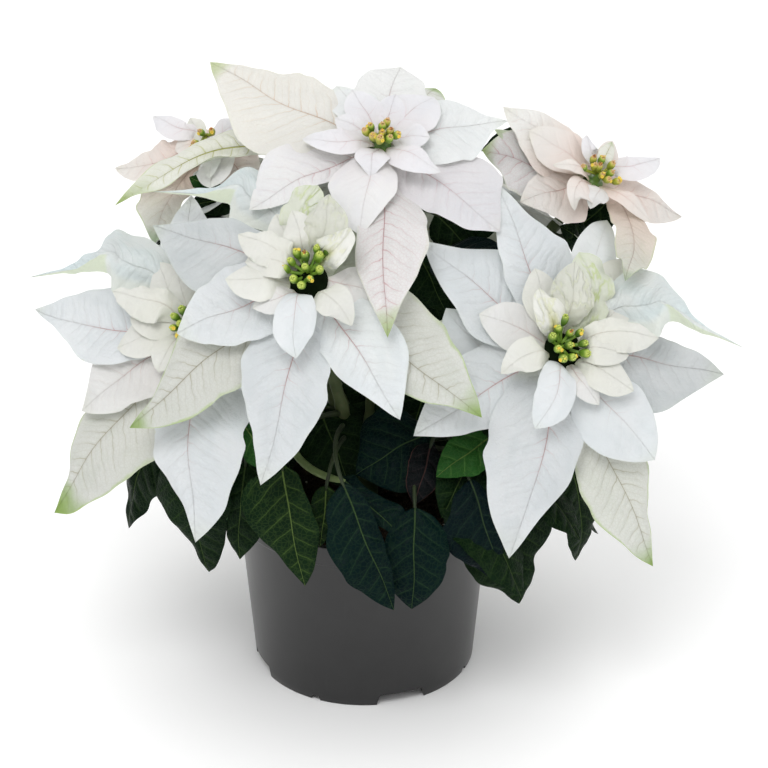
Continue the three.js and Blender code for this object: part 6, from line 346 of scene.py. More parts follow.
    'C11': {'arch': 0.15},
    'C12': {'arch': 0.15},
    'E8': {'arch': 0.12},
    'F3': {'arch': 0.12},
    'F4': {'arch': 0.12},
    'F13': {'arch': 0.12},
    'F15': {'arch': 0.12},
    'A4': {'arch': 0.12},
    'B5': {'arch': 0.12},
    'C6': {'L': [4, 8.5, 12, 13, 12, 9, 5], 'R': [4, 9.5, 14, 16, 15, 11.5, 6], 'tone': 'snow', 'camber': 0.2, 'path': [[-93.9, 74.8, 318.8], [-91.7, 47.5, 316.1], [-93.8, 37.4, 305.6]]},
    'C8': {'L': [3, 6, 8, 8, 6.5, 4, 2], 'R': [3, 6, 8, 8, 6.5, 4, 2], 'path': [[-106.1, 93.5, 309.0], [-115.6, 92.2, 289.2], [-123.6, 88.7, 271.6]]},
    'B10': {'L': [7, 13, 15, 14, 10.5, 5.5, 2.2], 'R': [7, 12, 13.5, 12.5, 9, 4.6, 1.9], 'path': [[154.1, 69.9, 291.3], [161.4, 57.7, 285.5], [164.7, 37.1, 282.0], [163.4, 9.2, 280.4], [158.9, -20.5, 280.8], [153.4, -48.3, 281.4]]},
    'A12': {'tone': 'snow'},
    'A13': {'tone': 'snow'},
    'A11': {'arch': 0.13, 'tone': 'snow'},
    'E15': {'tone': 'white_shaded_copy'},
    'D8': {'tone': 'white_shaded_copy'},
    'E31': {'tone': 'cream', 'path': [[113.9, -52.4, 247.8], [107.9, -44.2, 266.1], [101.8, -30.1, 281.7]]},
    'D31': {'tone': 'cream', 'path': [[-33.5, -60.1, 298.6], [-42.8, -53.9, 311.0], [-50.1, -39.7, 320.1]]},
    'F31': {'tone': 'cream', 'path': [[-109.3, -26.5, 251.5], [-116.6, -18.7, 263.7], [-123.7, -1.5, 273.2]]},
    'E32': {'tone': 'cream', 'path': [[134.5, -45.4, 245.8], [147.7, -38.3, 255.6], [158.5, -21.8, 259.9]]},
    'E34': {'tone': 'white', 'path': [[110.4, -56.1, 237.8], [92.9, -56.0, 232.6], [77.6, -54.2, 234.3], [65.8, -48.3, 242.0], [56.4, -43.3, 250.7], [49.3, -38.7, 259.7]]},
    'B31': {'tone': 'greeno', 'path': [[145.3, 60.5, 304.4], [149.4, 68.4, 312.0], [155.6, 85.6, 317.4]]},
    'B32': {'tone': 'green', 'path': [[139.0, 74.2, 301.7], [117.7, 77.6, 309.7], [98.8, 79.7, 318.3], [81.2, 80.4, 327.9]]},
    'C33': {'tone': 'snow', 'path': [[-94.9, 70.9, 318.9], [-93.3, 45.1, 319.0], [-94.2, 37.5, 311.5]]},
    'E20': {'net': [[0, 0.1, 0.2, 0.3, 0.4, 0.5, 0.6, 0.72, 0.86, 1.0], [[[130.8, -38.0, 248.9], [131.4, -39.2, 247.5], [131.9, -40.3, 246.1], [132.5, -41.5, 244.7], [133.0, -42.7, 243.2]], [[141.4, -25.1, 261.4], [142.0, -34.3, 259.0], [142.9, -39.4, 254.8], [144.3, -39.1, 250.1], [145.8, -37.8, 244.9]], [[153.2, -9.9, 266.7], [152.3, -28.6, 265.5], [153.2, -34.9, 258.6], [153.9, -37.0, 251.7], [155.3, -38.4, 245.2]], [[166.4, 1.6, 266.3], [163.1, -27.0, 266.1], [163.4, -33.9, 258.8], [164.7, -36.7, 250.9], [165.6, -42.5, 244.5]], [[179.2, 7.4, 263.0], [173.3, -20.9, 264.1], [171.7, -28.5, 258.3], [173.4, -37.6, 252.7], [175.2, -47.3, 244.8]], [[188.3, 7.2, 257.8], [180.9, -13.4, 260.1], [178.9, -21.5, 258.4], [179.8, -30.7, 257.4], [180.8, -34.5, 248.6]], [[192.8, -0.9, 249.2], [189.6, -10.0, 249.9], [188.7, -15.7, 250.2], [189.0, -21.5, 248.5], [190.9, -24.3, 241.9]], [[199.8, -5.4, 238.8], [199.3, -9.4, 239.3], [199.2, -13.5, 239.6], [199.7, -17.1, 238.6], [201.6, -18.1, 235.4]], [[212.6, -5.0, 229.9], [212.5, -7.2, 229.9], [212.5, -8.7, 229.8], [212.9, -10.1, 229.3], [213.8, -10.8, 227.9]], [[232.9, -5.2, 217.5], [232.9, -5.2, 217.5], [232.9, -5.2, 217.5], [232.9, -5.2, 217.5], [232.9, -5.2, 217.5]]]], 'tone': 'swan'},
    'F6': {'net': [[0, 0.1, 0.2, 0.3, 0.4, 0.5, 0.6, 0.72, 0.86, 1.0], [[[-106.6, -15.4, 255.8], [-107.3, -16.5, 254.5], [-108.0, -17.5, 253.3], [-108.6, -18.5, 252.0], [-109.3, -19.6, 250.7]], [[-116.2, 1.3, 269.4], [-117.1, -8.1, 267.5], [-118.4, -13.2, 263.7], [-120.1, -12.4, 259.2], [-121.9, -10.6, 254.3]], [[-127.3, 20.9, 276.1], [-126.8, 1.1, 275.5], [-128.3, -5.2, 269.0], [-129.5, -7.2, 262.3], [-131.3, -8.3, 256.1]], [[-139.7, 35.1, 275.8], [-137.6, 6.2, 277.8], [-138.5, -1.0, 270.8], [-140.4, -3.5, 263.3], [-141.9, -9.3, 257.2]], [[-151.5, 44.3, 274.2], [-147.9, 15.7, 277.2], [-146.8, 7.3, 271.4], [-149.1, -1.7, 266.4], [-151.6, -11.4, 259.2]], [[-159.7, 46.9, 271.2], [-155.6, 26.0, 274.2], [-153.9, 16.9, 272.5], [-155.1, 7.5, 271.9], [-156.7, 3.8, 263.5]], [[-166.2, 40.7, 263.8], [-165.0, 32.3, 265.3], [-164.2, 26.0, 265.7], [-164.8, 20.0, 264.3], [-167.1, 17.6, 258.1]], [[-175.9, 40.3, 255.8], [-175.5, 36.0, 256.4], [-175.4, 31.6, 256.7], [-176.1, 28.0, 255.9], [-178.2, 27.5, 253.1]], [[-189.5, 44.7, 249.0], [-189.4, 42.4, 249.0], [-189.5, 40.8, 248.9], [-190.0, 39.5, 248.5], [-191.0, 39.1, 247.3]], [[-211.0, 50.9, 239.8], [-211.0, 50.9, 239.8], [-211.0, 50.9, 239.8], [-211.0, 50.9, 239.8], [-211.0, 50.9, 239.8]]]], 'tone': 'swan'},
    'D10': {'net': [[0, 0.1, 0.2, 0.3, 0.4, 0.5, 0.6, 0.72, 0.86, 1.0], [[[-36.1, -31.3, 297.2], [-37.2, -32.2, 296.2], [-38.2, -33.0, 295.2], [-39.3, -33.9, 294.1], [-40.4, -34.7, 293.1]], [[-39.9, -16.8, 311.8], [-42.7, -23.1, 309.5], [-45.5, -27.0, 306.1], [-47.9, -27.3, 302.8], [-50.3, -26.9, 299.3]], [[-46.2, -1.7, 321.4], [-49.0, -14.6, 318.8], [-52.7, -19.8, 313.1], [-55.5, -22.3, 307.7], [-58.6, -24.1, 302.8]], [[-55.8, 8.5, 325.0], [-58.1, -9.7, 323.2], [-61.5, -15.6, 316.9], [-65.1, -18.6, 310.9], [-68.6, -23.4, 305.6]], [[-65.8, 15.2, 326.8], [-66.5, -2.7, 325.6], [-67.9, -9.4, 319.9], [-72.5, -15.9, 315.3], [-77.9, -23.3, 308.9]], [[-73.8, 17.0, 326.1], [-72.8, 4.0, 325.7], [-73.0, -2.3, 323.1], [-75.7, -8.3, 321.8], [-79.5, -12.2, 314.9]], [[-82.3, 12.3, 320.7], [-82.3, 7.2, 320.9], [-82.5, 3.1, 320.4], [-84.3, -0.9, 318.8], [-88.1, -3.4, 313.9]], [[-93.2, 11.4, 316.1], [-93.4, 8.7, 316.0], [-94.0, 6.0, 315.8], [-95.4, 3.6, 314.9], [-98.0, 3.0, 313.0]], [[-106.5, 14.2, 313.5], [-106.8, 12.7, 313.3], [-107.2, 11.7, 313.1], [-107.9, 10.8, 312.7], [-109.2, 10.4, 311.9]], [[-127.4, 18.4, 310.8], [-127.4, 18.4, 310.8], [-127.4, 18.4, 310.8], [-127.4, 18.4, 310.8], [-127.4, 18.4, 310.8]]]], 'tone': 'swan'}
}


def vec(a):
    return np.array(a, float)


def unit(a):
    return a / np.linalg.norm(a)


def seed_of(name):
    return random.Random(zlib.crc32(name.encode()))


HEAD = {h: (vec(c), unit(vec(n))) for h, c, n in HEADS}
# where the hollow between the small bracts lies, right and up of the head's centre in its own plane (mm)
HOLLOW = {"E": (3.4, -1.4), "D": (-0.4, -2.2), "A": (1.2, -2.6), "B": (-2.4, -2.0), "C": (5.0, -8.0), "F": (4.0, -4.6)}


def hollow(h):
    c, n = HEAD[h]
    e1 = unit(np.cross([0, 0, 1.0], n))
    dx, dy = HOLLOW.get(h, (0.0, 0.0))
    return c + e1 * dx + np.cross(n, e1) * dy

# ------------------------------------------------------------------ shader helpers


class Graph:
    """A small builder of shader node graphs: every method returns an output socket."""

    def __init__(self, name):
        self.mat = bpy.data.materials.new(name)
        self.mat.use_nodes = True
        self.t = self.mat.node_tree
        self.t.nodes.clear()

    def put(self, sock, val):
        if hasattr(val, "is_output"):
            self.t.links.new(val, sock)
        else:
            sock.default_value = val

    def m(self, op, a, b=0.0, c=None, clamp=False):
        n = self.t.nodes.new("ShaderNodeMath")
        n.operation = op
        n.use_clamp = clamp
        self.put(n.inputs[0], a)
        if len(n.inputs) > 1:
            self.put(n.inputs[1], b)
        if c is not None:
            self.put(n.inputs[2], c)
        return n.outputs[0]

    def add(self, a, b): return self.m("ADD", a, b)
    def sub(self, a, b): return self.m("SUBTRACT", a, b)
    def mul(self, a, b): return self.m("MULTIPLY", a, b)
    def absv(self, a): return self.m("ABSOLUTE", a)
    def frac(self, a): return self.m("FRACT", a)

    def ramp(self, x, lo, hi, to_lo=0.0, to_hi=1.0):
        n = self.t.nodes.new("ShaderNodeMapRange")
        n.interpolation_type = "SMOOTHSTEP"
        self.put(n.inputs["Value"], x)
        self.put(n.inputs["From Min"], lo)
        self.put(n.inputs["From Max"], hi)
        self.put(n.inputs["To Min"], to_lo)
        self.put(n.inputs["To Max"], to_hi)
        return n.outputs["Result"]

    def uv(self, name):
        n = self.t.nodes.new("ShaderNodeUVMap")
        n.uv_map = name
        s = self.t.nodes.new("ShaderNodeSeparateXYZ")
        self.t.links.new(n.outputs[0], s.inputs[0])
        return s.outputs[0], s.outputs[1], n.outputs[0]

    def xyz(self, x, y, z=0.0):
        n = self.t.nodes.new("ShaderNodeCombineXYZ")
        self.put(n.inputs[0], x)
        self.put(n.inputs[1], y)
        self.put(n.inputs[2], z)
        return n.outputs[0]

    def obj_coord(self):
        n = self.t.nodes.new("ShaderNodeTexCoord")
        return n.outputs["Object"]

    def noise(self, v, scale, detail=3.0, rough=0.55, out="Fac"):
        n = self.t.nodes.new("ShaderNodeTexNoise")
        self.put(n.inputs["Vector"], v)
        n.inputs["Scale"].default_value = scale
        n.inputs["Detail"].default_value = detail
        n.inputs["Roughness"].default_value = rough
        return n.outputs[out]

    def voronoi_edge(self, v, scale):
        n = self.t.nodes.new("ShaderNodeTexVoronoi")
        n.feature = "DISTANCE_TO_EDGE"
        self.put(n.inputs["Vector"], v)
        n.inputs["Scale"].default_value = scale
        return n.outputs["Distance"]

    def rand(self):
        n = self.t.nodes.new("ShaderNodeObjectInfo")
        return n.outputs["Random"]

    def mix(self, f, a, b):
        n = self.t.nodes.new("ShaderNodeMix")
        n.data_type = "RGBA"
        self.put(n.inputs[0], f)
        self.put(n.inputs[6], a if hasattr(a, "is_output") else (*a, 1.0))
        self.put(n.inputs[7], b if hasattr(b, "is_output") else (*b, 1.0))
        return n.outputs[2]

    def bump(self, h, dist, strength=1.0, normal=None):
        n = self.t.nodes.new("ShaderNodeBump")
        n.inputs["Strength"].default_value = strength
        n.inputs["Distance"].default_value = dist
        self.put(n.inputs["Height"], h)
        if normal is not None:
            self.put(n.inputs["Normal"], normal)
        return n.outputs[0]

    def finish(self, color, rough, normal=None, spec=0.5, sheen=0.0, coat=0.0, translucent=0.0, trans_color=None, sss=0.0):
        p = self.t.nodes.new("ShaderNodeBsdfPrincipled")
        self.put(p.inputs["Base Color"], color if hasattr(color, "is_output") else (*color, 1.0))
        self.put(p.inputs["Roughness"], rough)
        p.inputs["Specular IOR Level"].default_value = spec
        if sheen:
            p.inputs["Sheen Weight"].default_value = sheen
            p.inputs["Sheen Roughness"].default_value = 0.5
        if coat:
            p.inputs["Coat Weight"].default_value = coat
            p.inputs["Coat Roughness"].default_value = 0.3
        if sss:
            p.inputs["Subsurface Weight"].default_value = sss
            p.inputs["Subsurface Radius"].default_value = (0.004, 0.003, 0.002)
            p.inputs["Subsurface Scale"].default_value = 1.0
        if normal is not None:
            self.put(p.inputs["Normal"], normal)
        out = self.t.nodes.new("ShaderNodeOutputMaterial")
        last = p.outputs[0]
        if translucent:
            tr = self.t.nodes.new("ShaderNodeBsdfTranslucent")
            self.put(tr.inputs["Color"], trans_color if trans_color is not None else (color if hasattr(color, "is_output") else (*color, 1.0)))
            if normal is not None:
                self.put(tr.inputs["Normal"], normal)
            mx = self.t.nodes.new("ShaderNodeMixShader")
            mx.inputs[0].default_value = translucent
            self.t.links.new(last, mx.inputs[1])
            self.t.links.new(tr.outputs[0], mx.inputs[2])
            last = mx.outputs[0]
        self.t.links.new(last, out.inputs[0])
        return self.mat


# ------------------------------------------------------------------ bract materials

VEIN_STEP = 10.5   # mm between side veins along the midrib


def vein_coord(g, s, w):
    """Side-vein phase: veins leave the midrib alternately and sweep forward to the margin. s and w are in mm."""
    aw = g.absv(w)
    side = g.m("GREATER_THAN", w, 0.0)
    q = g.sub(s, g.mul(aw, 0.62))
    q = g.sub(q, g.mul(g.mul(aw, aw), 0.006))
    q = g.add(q, g.mul(side, VEIN_STEP * 0.5))
    return g.m("DIVIDE", q, VEIN_STEP), aw


def make_bract(name, base, base2, shade, rib, rib_len, rib_w, rib_amt, vein, vein_amt, net_amt, root, tip, tip_amt, edge, edge_amt,
               blush=None, blush_amt=0.0, rough=0.6, under=False, trans=0.36, lip=None, heart=None, inner=False, crease=None):
    """base/base2: the two tones that drift over the blade, shade: a third, cooler one; rib: midrib colour, fading over
    rib_len of the length; vein: side-vein colour; net: fine network; root, tip, edge: tints there."""
    if inner:      # the small bracts round the cups are plainer
        name, rib_amt, rib_w, vein_amt, net_amt = name + "_inner", rib_amt * 0.50, rib_w * 0.8, vein_amt * 0.18, net_amt * 0.2
        edge_amt, tip_amt = edge_amt * 0.5, tip_amt * 0.5
    g = Graph(name)
    u, v, _ = g.uv("UVn")
    s0, w0, _ = g.uv("UVm")
    s = g.mul(s0, 100.0)
    w = g.mul(w0, 100.0)
    pos = g.xyz(s0, w0, g.mul(g.rand(), 7.0))
    wob = g.noise(pos, 9.0, 2.0)
    wobble = g.mul(g.sub(wob, 0.5), 7.0)
    q, aw = vein_coord(g, g.add(s, wobble), w)
    d = g.mul(g.absv(g.sub(g.frac(q), 0.5)), VEIN_STEP)              # 0 on the vein's mid line
    fade = g.ramp(g.absv(v), 0.97, 0.50)                             # veins thin out at the margin
    side = g.mul(g.ramp(d, 0.55, 0.08), fade)
    side_soft = g.mul(g.ramp(d, 2.4, 0.0), fade)
    d2 = g.mul(g.absv(g.sub(g.frac(g.add(q, 0.5)), 0.5)), VEIN_STEP)       # a finer vein between each pair
    minor = g.mul(g.ramp(d2, 0.50, 0.06), fade)
    minor_soft = g.mul(g.ramp(d2, 1.9, 0.0), fade)
    net_d = g.voronoi_edge(g.xyz(g.mul(s0, 1.0), g.mul(w0, 1.0), g.mul(g.rand(), 3.0)), 52.0)
    net = g.ramp(net_d, 0.13, 0.02)
    big = g.noise(pos, 2.6, 3.0)
    fine = g.noise(pos, 60.0, 4.0, 0.65)
    mid = g.noise(pos, 15.0, 3.0, 0.6)
    col = g.mix(g.ramp(big, 0.32, 0.68), base, base2)
    col = g.mix(g.mul(g.ramp(g.noise(g.xyz(s0, g.mul(w0, 2.0), g.mul(g.rand(), 13.0)), 4.5, 2.0), 0.45, 0.75), 0.5), col, shade)
    if blush is not None:
        bl = g.mul(g.ramp(u, 0.85, 0.10), blush_amt)
        col = g.mix(bl, col, blush)
    col = g.mix(g.mul(g.ramp(u, 0.16, 0.0), 0.8), col, root)
    if heart is not None:
        col = g.mix(g.mul(g.mul(g.ramp(aw, 4.5, 0.5), g.ramp(u, 0.75, 0.25)), 0.9), col, heart)
    col = g.mix(g.mul(net, net_amt), col, vein)
    col = g.mix(g.mul(side_soft, vein_amt * 0.18), col, vein)
    col = g.mix(g.mul(minor, vein_amt * 0.34), col, vein)
    patch = g.ramp(g.noise(pos, 6.0, 2.0), 0.36, 0.62)                # veins come and go over the blade
    col = g.mix(g.mul(g.mul(side, g.add(g.mul(patch, 0.75), 0.25)), vein_amt), col, vein)
    # the midrib: widest at the base, fading out along the blade; its colour bleeds a little into the side veins
    width = g.add(g.mul(g.sub(1.0, u), rib_w * 0.85), 0.12)
    line = g.ramp(g.m("DIVIDE", aw, width), 1.25, 0.25)
    reach = g.ramp(u, rib_len, rib_len * 0.5)
    col = g.mix(g.mul(g.mul(g.ramp(aw, 10.0, 0.4), g.mul(side, reach)), rib_amt * 0.60), col, rib)
    col = g.mix(g.mul(g.mul(g.ramp(aw, 2.6, 0.2), reach), rib_amt * 0.12), col, rib)
    col = g.mix(g.mul(line, g.add(g.mul(reach, rib_amt * 1.15), 0.05)), col, rib)
    if crease is not None:   # crumpled young blades: green shows along the creases
        cn = g.noise(g.xyz(g.mul(s0, 0.7), g.mul(w0, 1.5), g.mul(g.rand(), 5.0)), 10.0, 2.0)
        cr = g.mul(g.ramp(g.absv(g.sub(cn, 0.5)), 0.045, 0.0), g.ramp(big, 0.36, 0.60))
        cs = g.mul(g.ramp(g.absv(g.sub(cn, 0.5)), 0.11, 0.0), g.ramp(big, 0.36, 0.60))
        col = g.mix(g.mul(cs, crease[1] * 0.4), col, crease[0])
        col = g.mix(g.mul(cr, crease[1]), col, crease[0])
    if lip is not None:      # one half of the outer blade turns over and shows its paler side
        past = g.ramp(g.add(u, g.mul(g.sub(mid, 0.5), 0.03)), 0.485, 0.515)
        turn = g.mul(g.ramp(g.mul(v, lip[0]), 0.36, 0.52), past)
        pale = g.mul(g.mul(g.ramp(g.mul(v, lip[0]), -0.10, 0.12), past), g.sub(1.0, turn))
        margin = g.mul(g.ramp(g.mul(v, lip[0]), 0.45, 0.75), g.sub(1.0, past))
        col = g.mix(g.mul(pale, 0.85), col, (0.90, 0.93, 0.92))
        col = g.mix(g.mul(margin, 0.7), col, (0.88, 0.90, 0.84))
        col = g.mix(g.mul(turn, 0.9), col, lip[1])
    if tip_amt:
        tm = g.mul(g.ramp(g.add(u, g.mul(g.sub(big, 0.5), 0.25)), 0.84, 1.0), tip_amt)
        col = g.mix(tm, col, tip)
    if edge_amt:
        em = g.mul(g.ramp(g.add(g.absv(v), g.mul(g.sub(g.noise(pos, 14.0, 2.0), 0.5), 0.16)), 0.90, 1.0), edge_amt)
        em = g.mul(em, g.add(g.mul(g.ramp(u, 0.3, 0.95), 0.75), 0.25))
        col = g.mix(em, col, edge)
    col = g.mix(g.mul(g.sub(fine, 0.5), 0.10), col, (0.55, 0.56, 0.54))
    sign = -1.0 if under else 1.0
    h = g.add(g.mul(fine, 0.25), g.mul(mid, 0.9))
    h = g.sub(h, g.mul(side_soft, (0.35 if inner else 0.8) * sign))
    h = g.sub(h, g.mul(net, (0.08 if inner else 0.25) * sign))
    h = g.sub(h, g.mul(minor_soft, (0.18 if inner else 0.42) * sign))
    if crease is not None:
        h = g.sub(h, g.mul(cs, 1.6))
    h = g.sub(h, g.mul(line, (0.5 if inner else 0.9) * sign))
    nrm = g.bump(h, 0.00050, 0.85)
    r = g.add(g.mul(fine, 0.12), rough - 0.06)
    return g.finish(col, r, nrm, spec=0.22, sheen=0.10, translucent=trans)


PINK = (0.66, 0.22, 0.23)
BR = {}


TONE_ARGS = {}


def tones(key, *a, **k):
    TONE_ARGS[key] = (a, k)
    BR[key] = make_bract(*a, **k)
    BR[key + "/inner"] = make_bract(*a, inner=True, **k)


def toned(key, inner, light_gain):
    """A tone's material with light or shade painted in: a little lighter or darker where the gain isn't 1."""
    tag = key + ("/inner" if inner else "")
    if light_gain == 1.0 or key not in TONE_ARGS:
        return BR[tag]
    own = "%s %.2f" % (tag, light_gain)
    if own not in BR:
        a, k = TONE_ARGS[key]
        cols = tuple(tuple(min(c * light_gain, 0.965) for c in col) for col in a[1:4])
        BR[own] = make_bract(a[0] + "_%d" % round(light_gain * 100), *cols, *a[4:], inner=inner, **k)
    return BR[own]


tones("white", "bract_white", (0.838, 0.872, 0.899), (0.882, 0.904, 0.925), (0.782, 0.823, 0.847), PINK, 0.72, 0.40, 0.44,
     (0.60, 0.60, 0.60), 0.20, 0.035, (0.78, 0.79, 0.60), (0.74, 0.78, 0.64), 0.2, (0.80, 0.84, 0.80), 0.3)
# painted light: a brighter copy of the white tone, for bracts that sit in shade (E3, A11 to A13, C6, C33), so they read
# as lit
tones("snow", "bract_snow", (0.925, 0.945, 0.955), (0.945, 0.958, 0.965), (0.885, 0.918, 0.935), PINK, 0.62, 0.36, 0.34,
     (0.74, 0.74, 0.75), 0.16, 0.03, (0.84, 0.85, 0.72), (0.74, 0.78, 0.66), 0.2, (0.86, 0.89, 0.87), 0.25)
# painted shade: darker copies of the white and cream tones, for bracts that sit in shade (E15, D8, E5, D11)
tones("white_shaded_copy", "bract_shaded", (0.690, 0.722, 0.734), (0.765, 0.788, 0.800), (0.640, 0.678, 0.694), (0.62, 0.24, 0.24), 0.72, 0.40, 0.44,
     (0.50, 0.50, 0.50), 0.20, 0.035, (0.68, 0.69, 0.54), (0.66, 0.72, 0.58), 0.25, (0.66, 0.71, 0.66), 0.35)
tones("cream_shaded_copy", "bract_cream_shaded", (0.735, 0.742, 0.680), (0.800, 0.804, 0.745), (0.675, 0.690, 0.615), (0.66, 0.50, 0.36), 0.60, 0.28, 0.30,
     (0.62, 0.63, 0.52), 0.22, 0.03, (0.74, 0.77, 0.50), (0.78, 0.79, 0.66), 0.2, (0.80, 0.82, 0.70), 0.35,
     blush=(0.84, 0.84, 0.68), blush_amt=0.40, crease=((0.74, 0.77, 0.56), 0.42))
tones("pinkish", "bract_pinkish", (0.895, 0.890, 0.880), (0.910, 0.905, 0.900), (0.860, 0.865, 0.865), (0.68, 0.28, 0.26), 0.75, 0.36, 0.40,
     (0.70, 0.61, 0.59), 0.20, 0.04, (0.83, 0.81, 0.66), (0.80, 0.81, 0.70), 0.2, (0.86, 0.86, 0.80), 0.2,
     blush=(0.91, 0.85, 0.82), blush_amt=0.40)
tones("pink", "bract_lilac", (0.918, 0.912, 0.948), (0.938, 0.932, 0.962), (0.880, 0.880, 0.925), (0.68, 0.28, 0.31), 0.80, 0.36, 0.42,
     (0.74, 0.60, 0.64), 0.23, 0.045, (0.86, 0.80, 0.68), (0.82, 0.78, 0.74), 0.2, (0.88, 0.85, 0.85), 0.2,
     blush=(0.935, 0.862, 0.872), blush_amt=0.45)
tones("peach", "bract_peach", (0.930, 0.888, 0.852), (0.945, 0.912, 0.885), (0.900, 0.868, 0.845), (0.70, 0.30, 0.26), 0.80, 0.34, 0.38,
     (0.80, 0.61, 0.56), 0.22, 0.045, (0.86, 0.80, 0.62), (0.84, 0.80, 0.68), 0.2, (0.90, 0.83, 0.79), 0.3,
     blush=(0.935, 0.760, 0.690), blush_amt=0.75)
tones("cream", "bract_cream", (0.876, 0.872, 0.826), (0.895, 0.893, 0.860), (0.848, 0.853, 0.812), (0.76, 0.56, 0.44), 0.60, 0.28, 0.30,
     (0.70, 0.70, 0.58), 0.16, 0.03, (0.80, 0.82, 0.56), (0.84, 0.84, 0.72), 0.2, (0.88, 0.89, 0.80), 0.25,
     blush=(0.90, 0.90, 0.78), blush_amt=0.35)
tones("palegreen", "bract_palegreen", (0.815, 0.838, 0.740), (0.850, 0.868, 0.795), (0.750, 0.792, 0.660), (0.66, 0.70, 0.44), 0.6, 0.32, 0.32,
     (0.66, 0.73, 0.50), 0.16, 0.04, (0.66, 0.74, 0.38), (0.66, 0.76, 0.46), 0.5, (0.70, 0.79, 0.50), 0.8,
     blush=(0.76, 0.82, 0.58), blush_amt=0.35, crease=((0.62, 0.72, 0.30), 0.72))
tones("yellowheart", "bract_yellow_heart", (0.900, 0.900, 0.850), (0.915, 0.912, 0.875), (0.860, 0.870, 0.810), (0.70, 0.70, 0.34), 0.6, 0.30, 0.28,
     (0.76, 0.76, 0.62), 0.10, 0.02, (0.72, 0.77, 0.30), (0.84, 0.84, 0.68), 0.2, (0.89, 0.89, 0.79), 0.25,
     heart=(0.84, 0.84, 0.42), crease=((0.76, 0.78, 0.46), 0.35))
tones("grey", "bract_cool", (0.845, 0.885, 0.895), (0.880, 0.905, 0.912), (0.790, 0.845, 0.860), (0.66, 0.66, 0.60), 0.6, 0.34, 0.32,
     (0.60, 0.66, 0.67), 0.20, 0.04, (0.78, 0.81, 0.64), (0.66, 0.75, 0.52), 0.4, (0.80, 0.85, 0.79), 0.3)
for key, side in (("swan_r", -1.0),):
    tones(key, "bract_curled", (0.800, 0.892, 0.915), (0.885, 0.928, 0.940), (0.730, 0.835, 0.865), (0.66, 0.68, 0.62), 0.4, 0.30, 0.22,
         (0.56, 0.62, 0.62), 0.22, 0.04, (0.82, 0.82, 0.74), (0.76, 0.83, 0.70), 0.4, (0.80, 0.87, 0.76), 0.4,
         blush=(0.820, 0.815, 0.785), blush_amt=0.40, lip=(side, (0.800, 0.860, 0.690)))
tones("creamo", "bract_ivory", (0.925, 0.905, 0.862), (0.935, 0.920, 0.885), (0.900, 0.888, 0.852), (0.72, 0.44, 0.26), 0.98, 0.40, 0.46,
     (0.76, 0.63, 0.49), 0.32, 0.045, (0.84, 0.80, 0.54), (0.52, 0.62, 0.26), 0.75, (0.85, 0.86, 0.73), 0.45)
tones("green", "bract_green_edge", (0.830, 0.840, 0.805), (0.870, 0.876, 0.850), (0.775, 0.800, 0.750), (0.40, 0.34, 0.19), 1.3, 0.38, 0.58,
     (0.48, 0.46, 0.35), 0.42, 0.11, (0.72, 0.74, 0.52), (0.32, 0.48, 0.10), 0.95, (0.48, 0.63, 0.20), 0.75,
     blush=(0.82, 0.81, 0.72), blush_amt=0.3)
tones("greeno", "bract_green_ivory", (0.905, 0.905, 0.840), (0.918, 0.920, 0.870), (0.860, 0.880, 0.785), (0.48, 0.48, 0.12), 1.3, 0.50, 0.80,
     (0.58, 0.58, 0.30), 0.46, 0.06, (0.76, 0.77, 0.48), (0.40, 0.54, 0.14), 0.9, (0.64, 0.72, 0.38), 0.6)
tones("pinkvein", "bract_pink_net", (0.900, 0.878, 0.880), (0.920, 0.903, 0.905), (0.850, 0.838, 0.840), (0.60, 0.20, 0.24), 1.3, 0.38, 0.52,
     (0.66, 0.42, 0.44), 0.42, 0.13, (0.82, 0.77, 0.60), (0.36, 0.50, 0.14), 0.9, (0.74, 0.76, 0.60), 0.5)
tones("greenpink", "bract_green_pink", (0.800, 0.800, 0.740), (0.830, 0.825, 0.775), (0.715, 0.750, 0.640), (0.60, 0.38, 0.32), 1.3, 0.38, 0.34,
     (0.60, 0.56, 0.43), 0.34, 0.13, (0.87, 0.68, 0.60), (0.44, 0.54, 0.38), 0.9, (0.60, 0.70, 0.40), 0.8,
     blush=(0.92, 0.66, 0.58), blush_amt=0.70)
UNDER_PALE = make_bract("bract_underside", (0.840, 0.858, 0.825), (0.865, 0.878, 0.852), (0.785, 0.815, 0.775), (0.68, 0.66, 0.48), 1.2, 0.6, 0.32,
                        (0.72, 0.74, 0.62), 0.24, 0.08, (0.66, 0.72, 0.44), (0.58, 0.67, 0.40), 0.4, (0.76, 0.81, 0.62), 0.4, under=True)
UNDER_GREEN = make_bract("bract_underside_green", (0.740, 0.775, 0.660), (0.795, 0.820, 0.730), (0.670, 0.720, 0.580), (0.48, 0.54, 0.24), 1.4, 0.7, 0.48,
                         (0.54, 0.60, 0.38), 0.38, 0.15, (0.54, 0.64, 0.30), (0.32, 0.46, 0.13), 0.9, (0.48, 0.60, 0.26), 0.7, under=True)


# ------------------------------------------------------------------ leaf materials

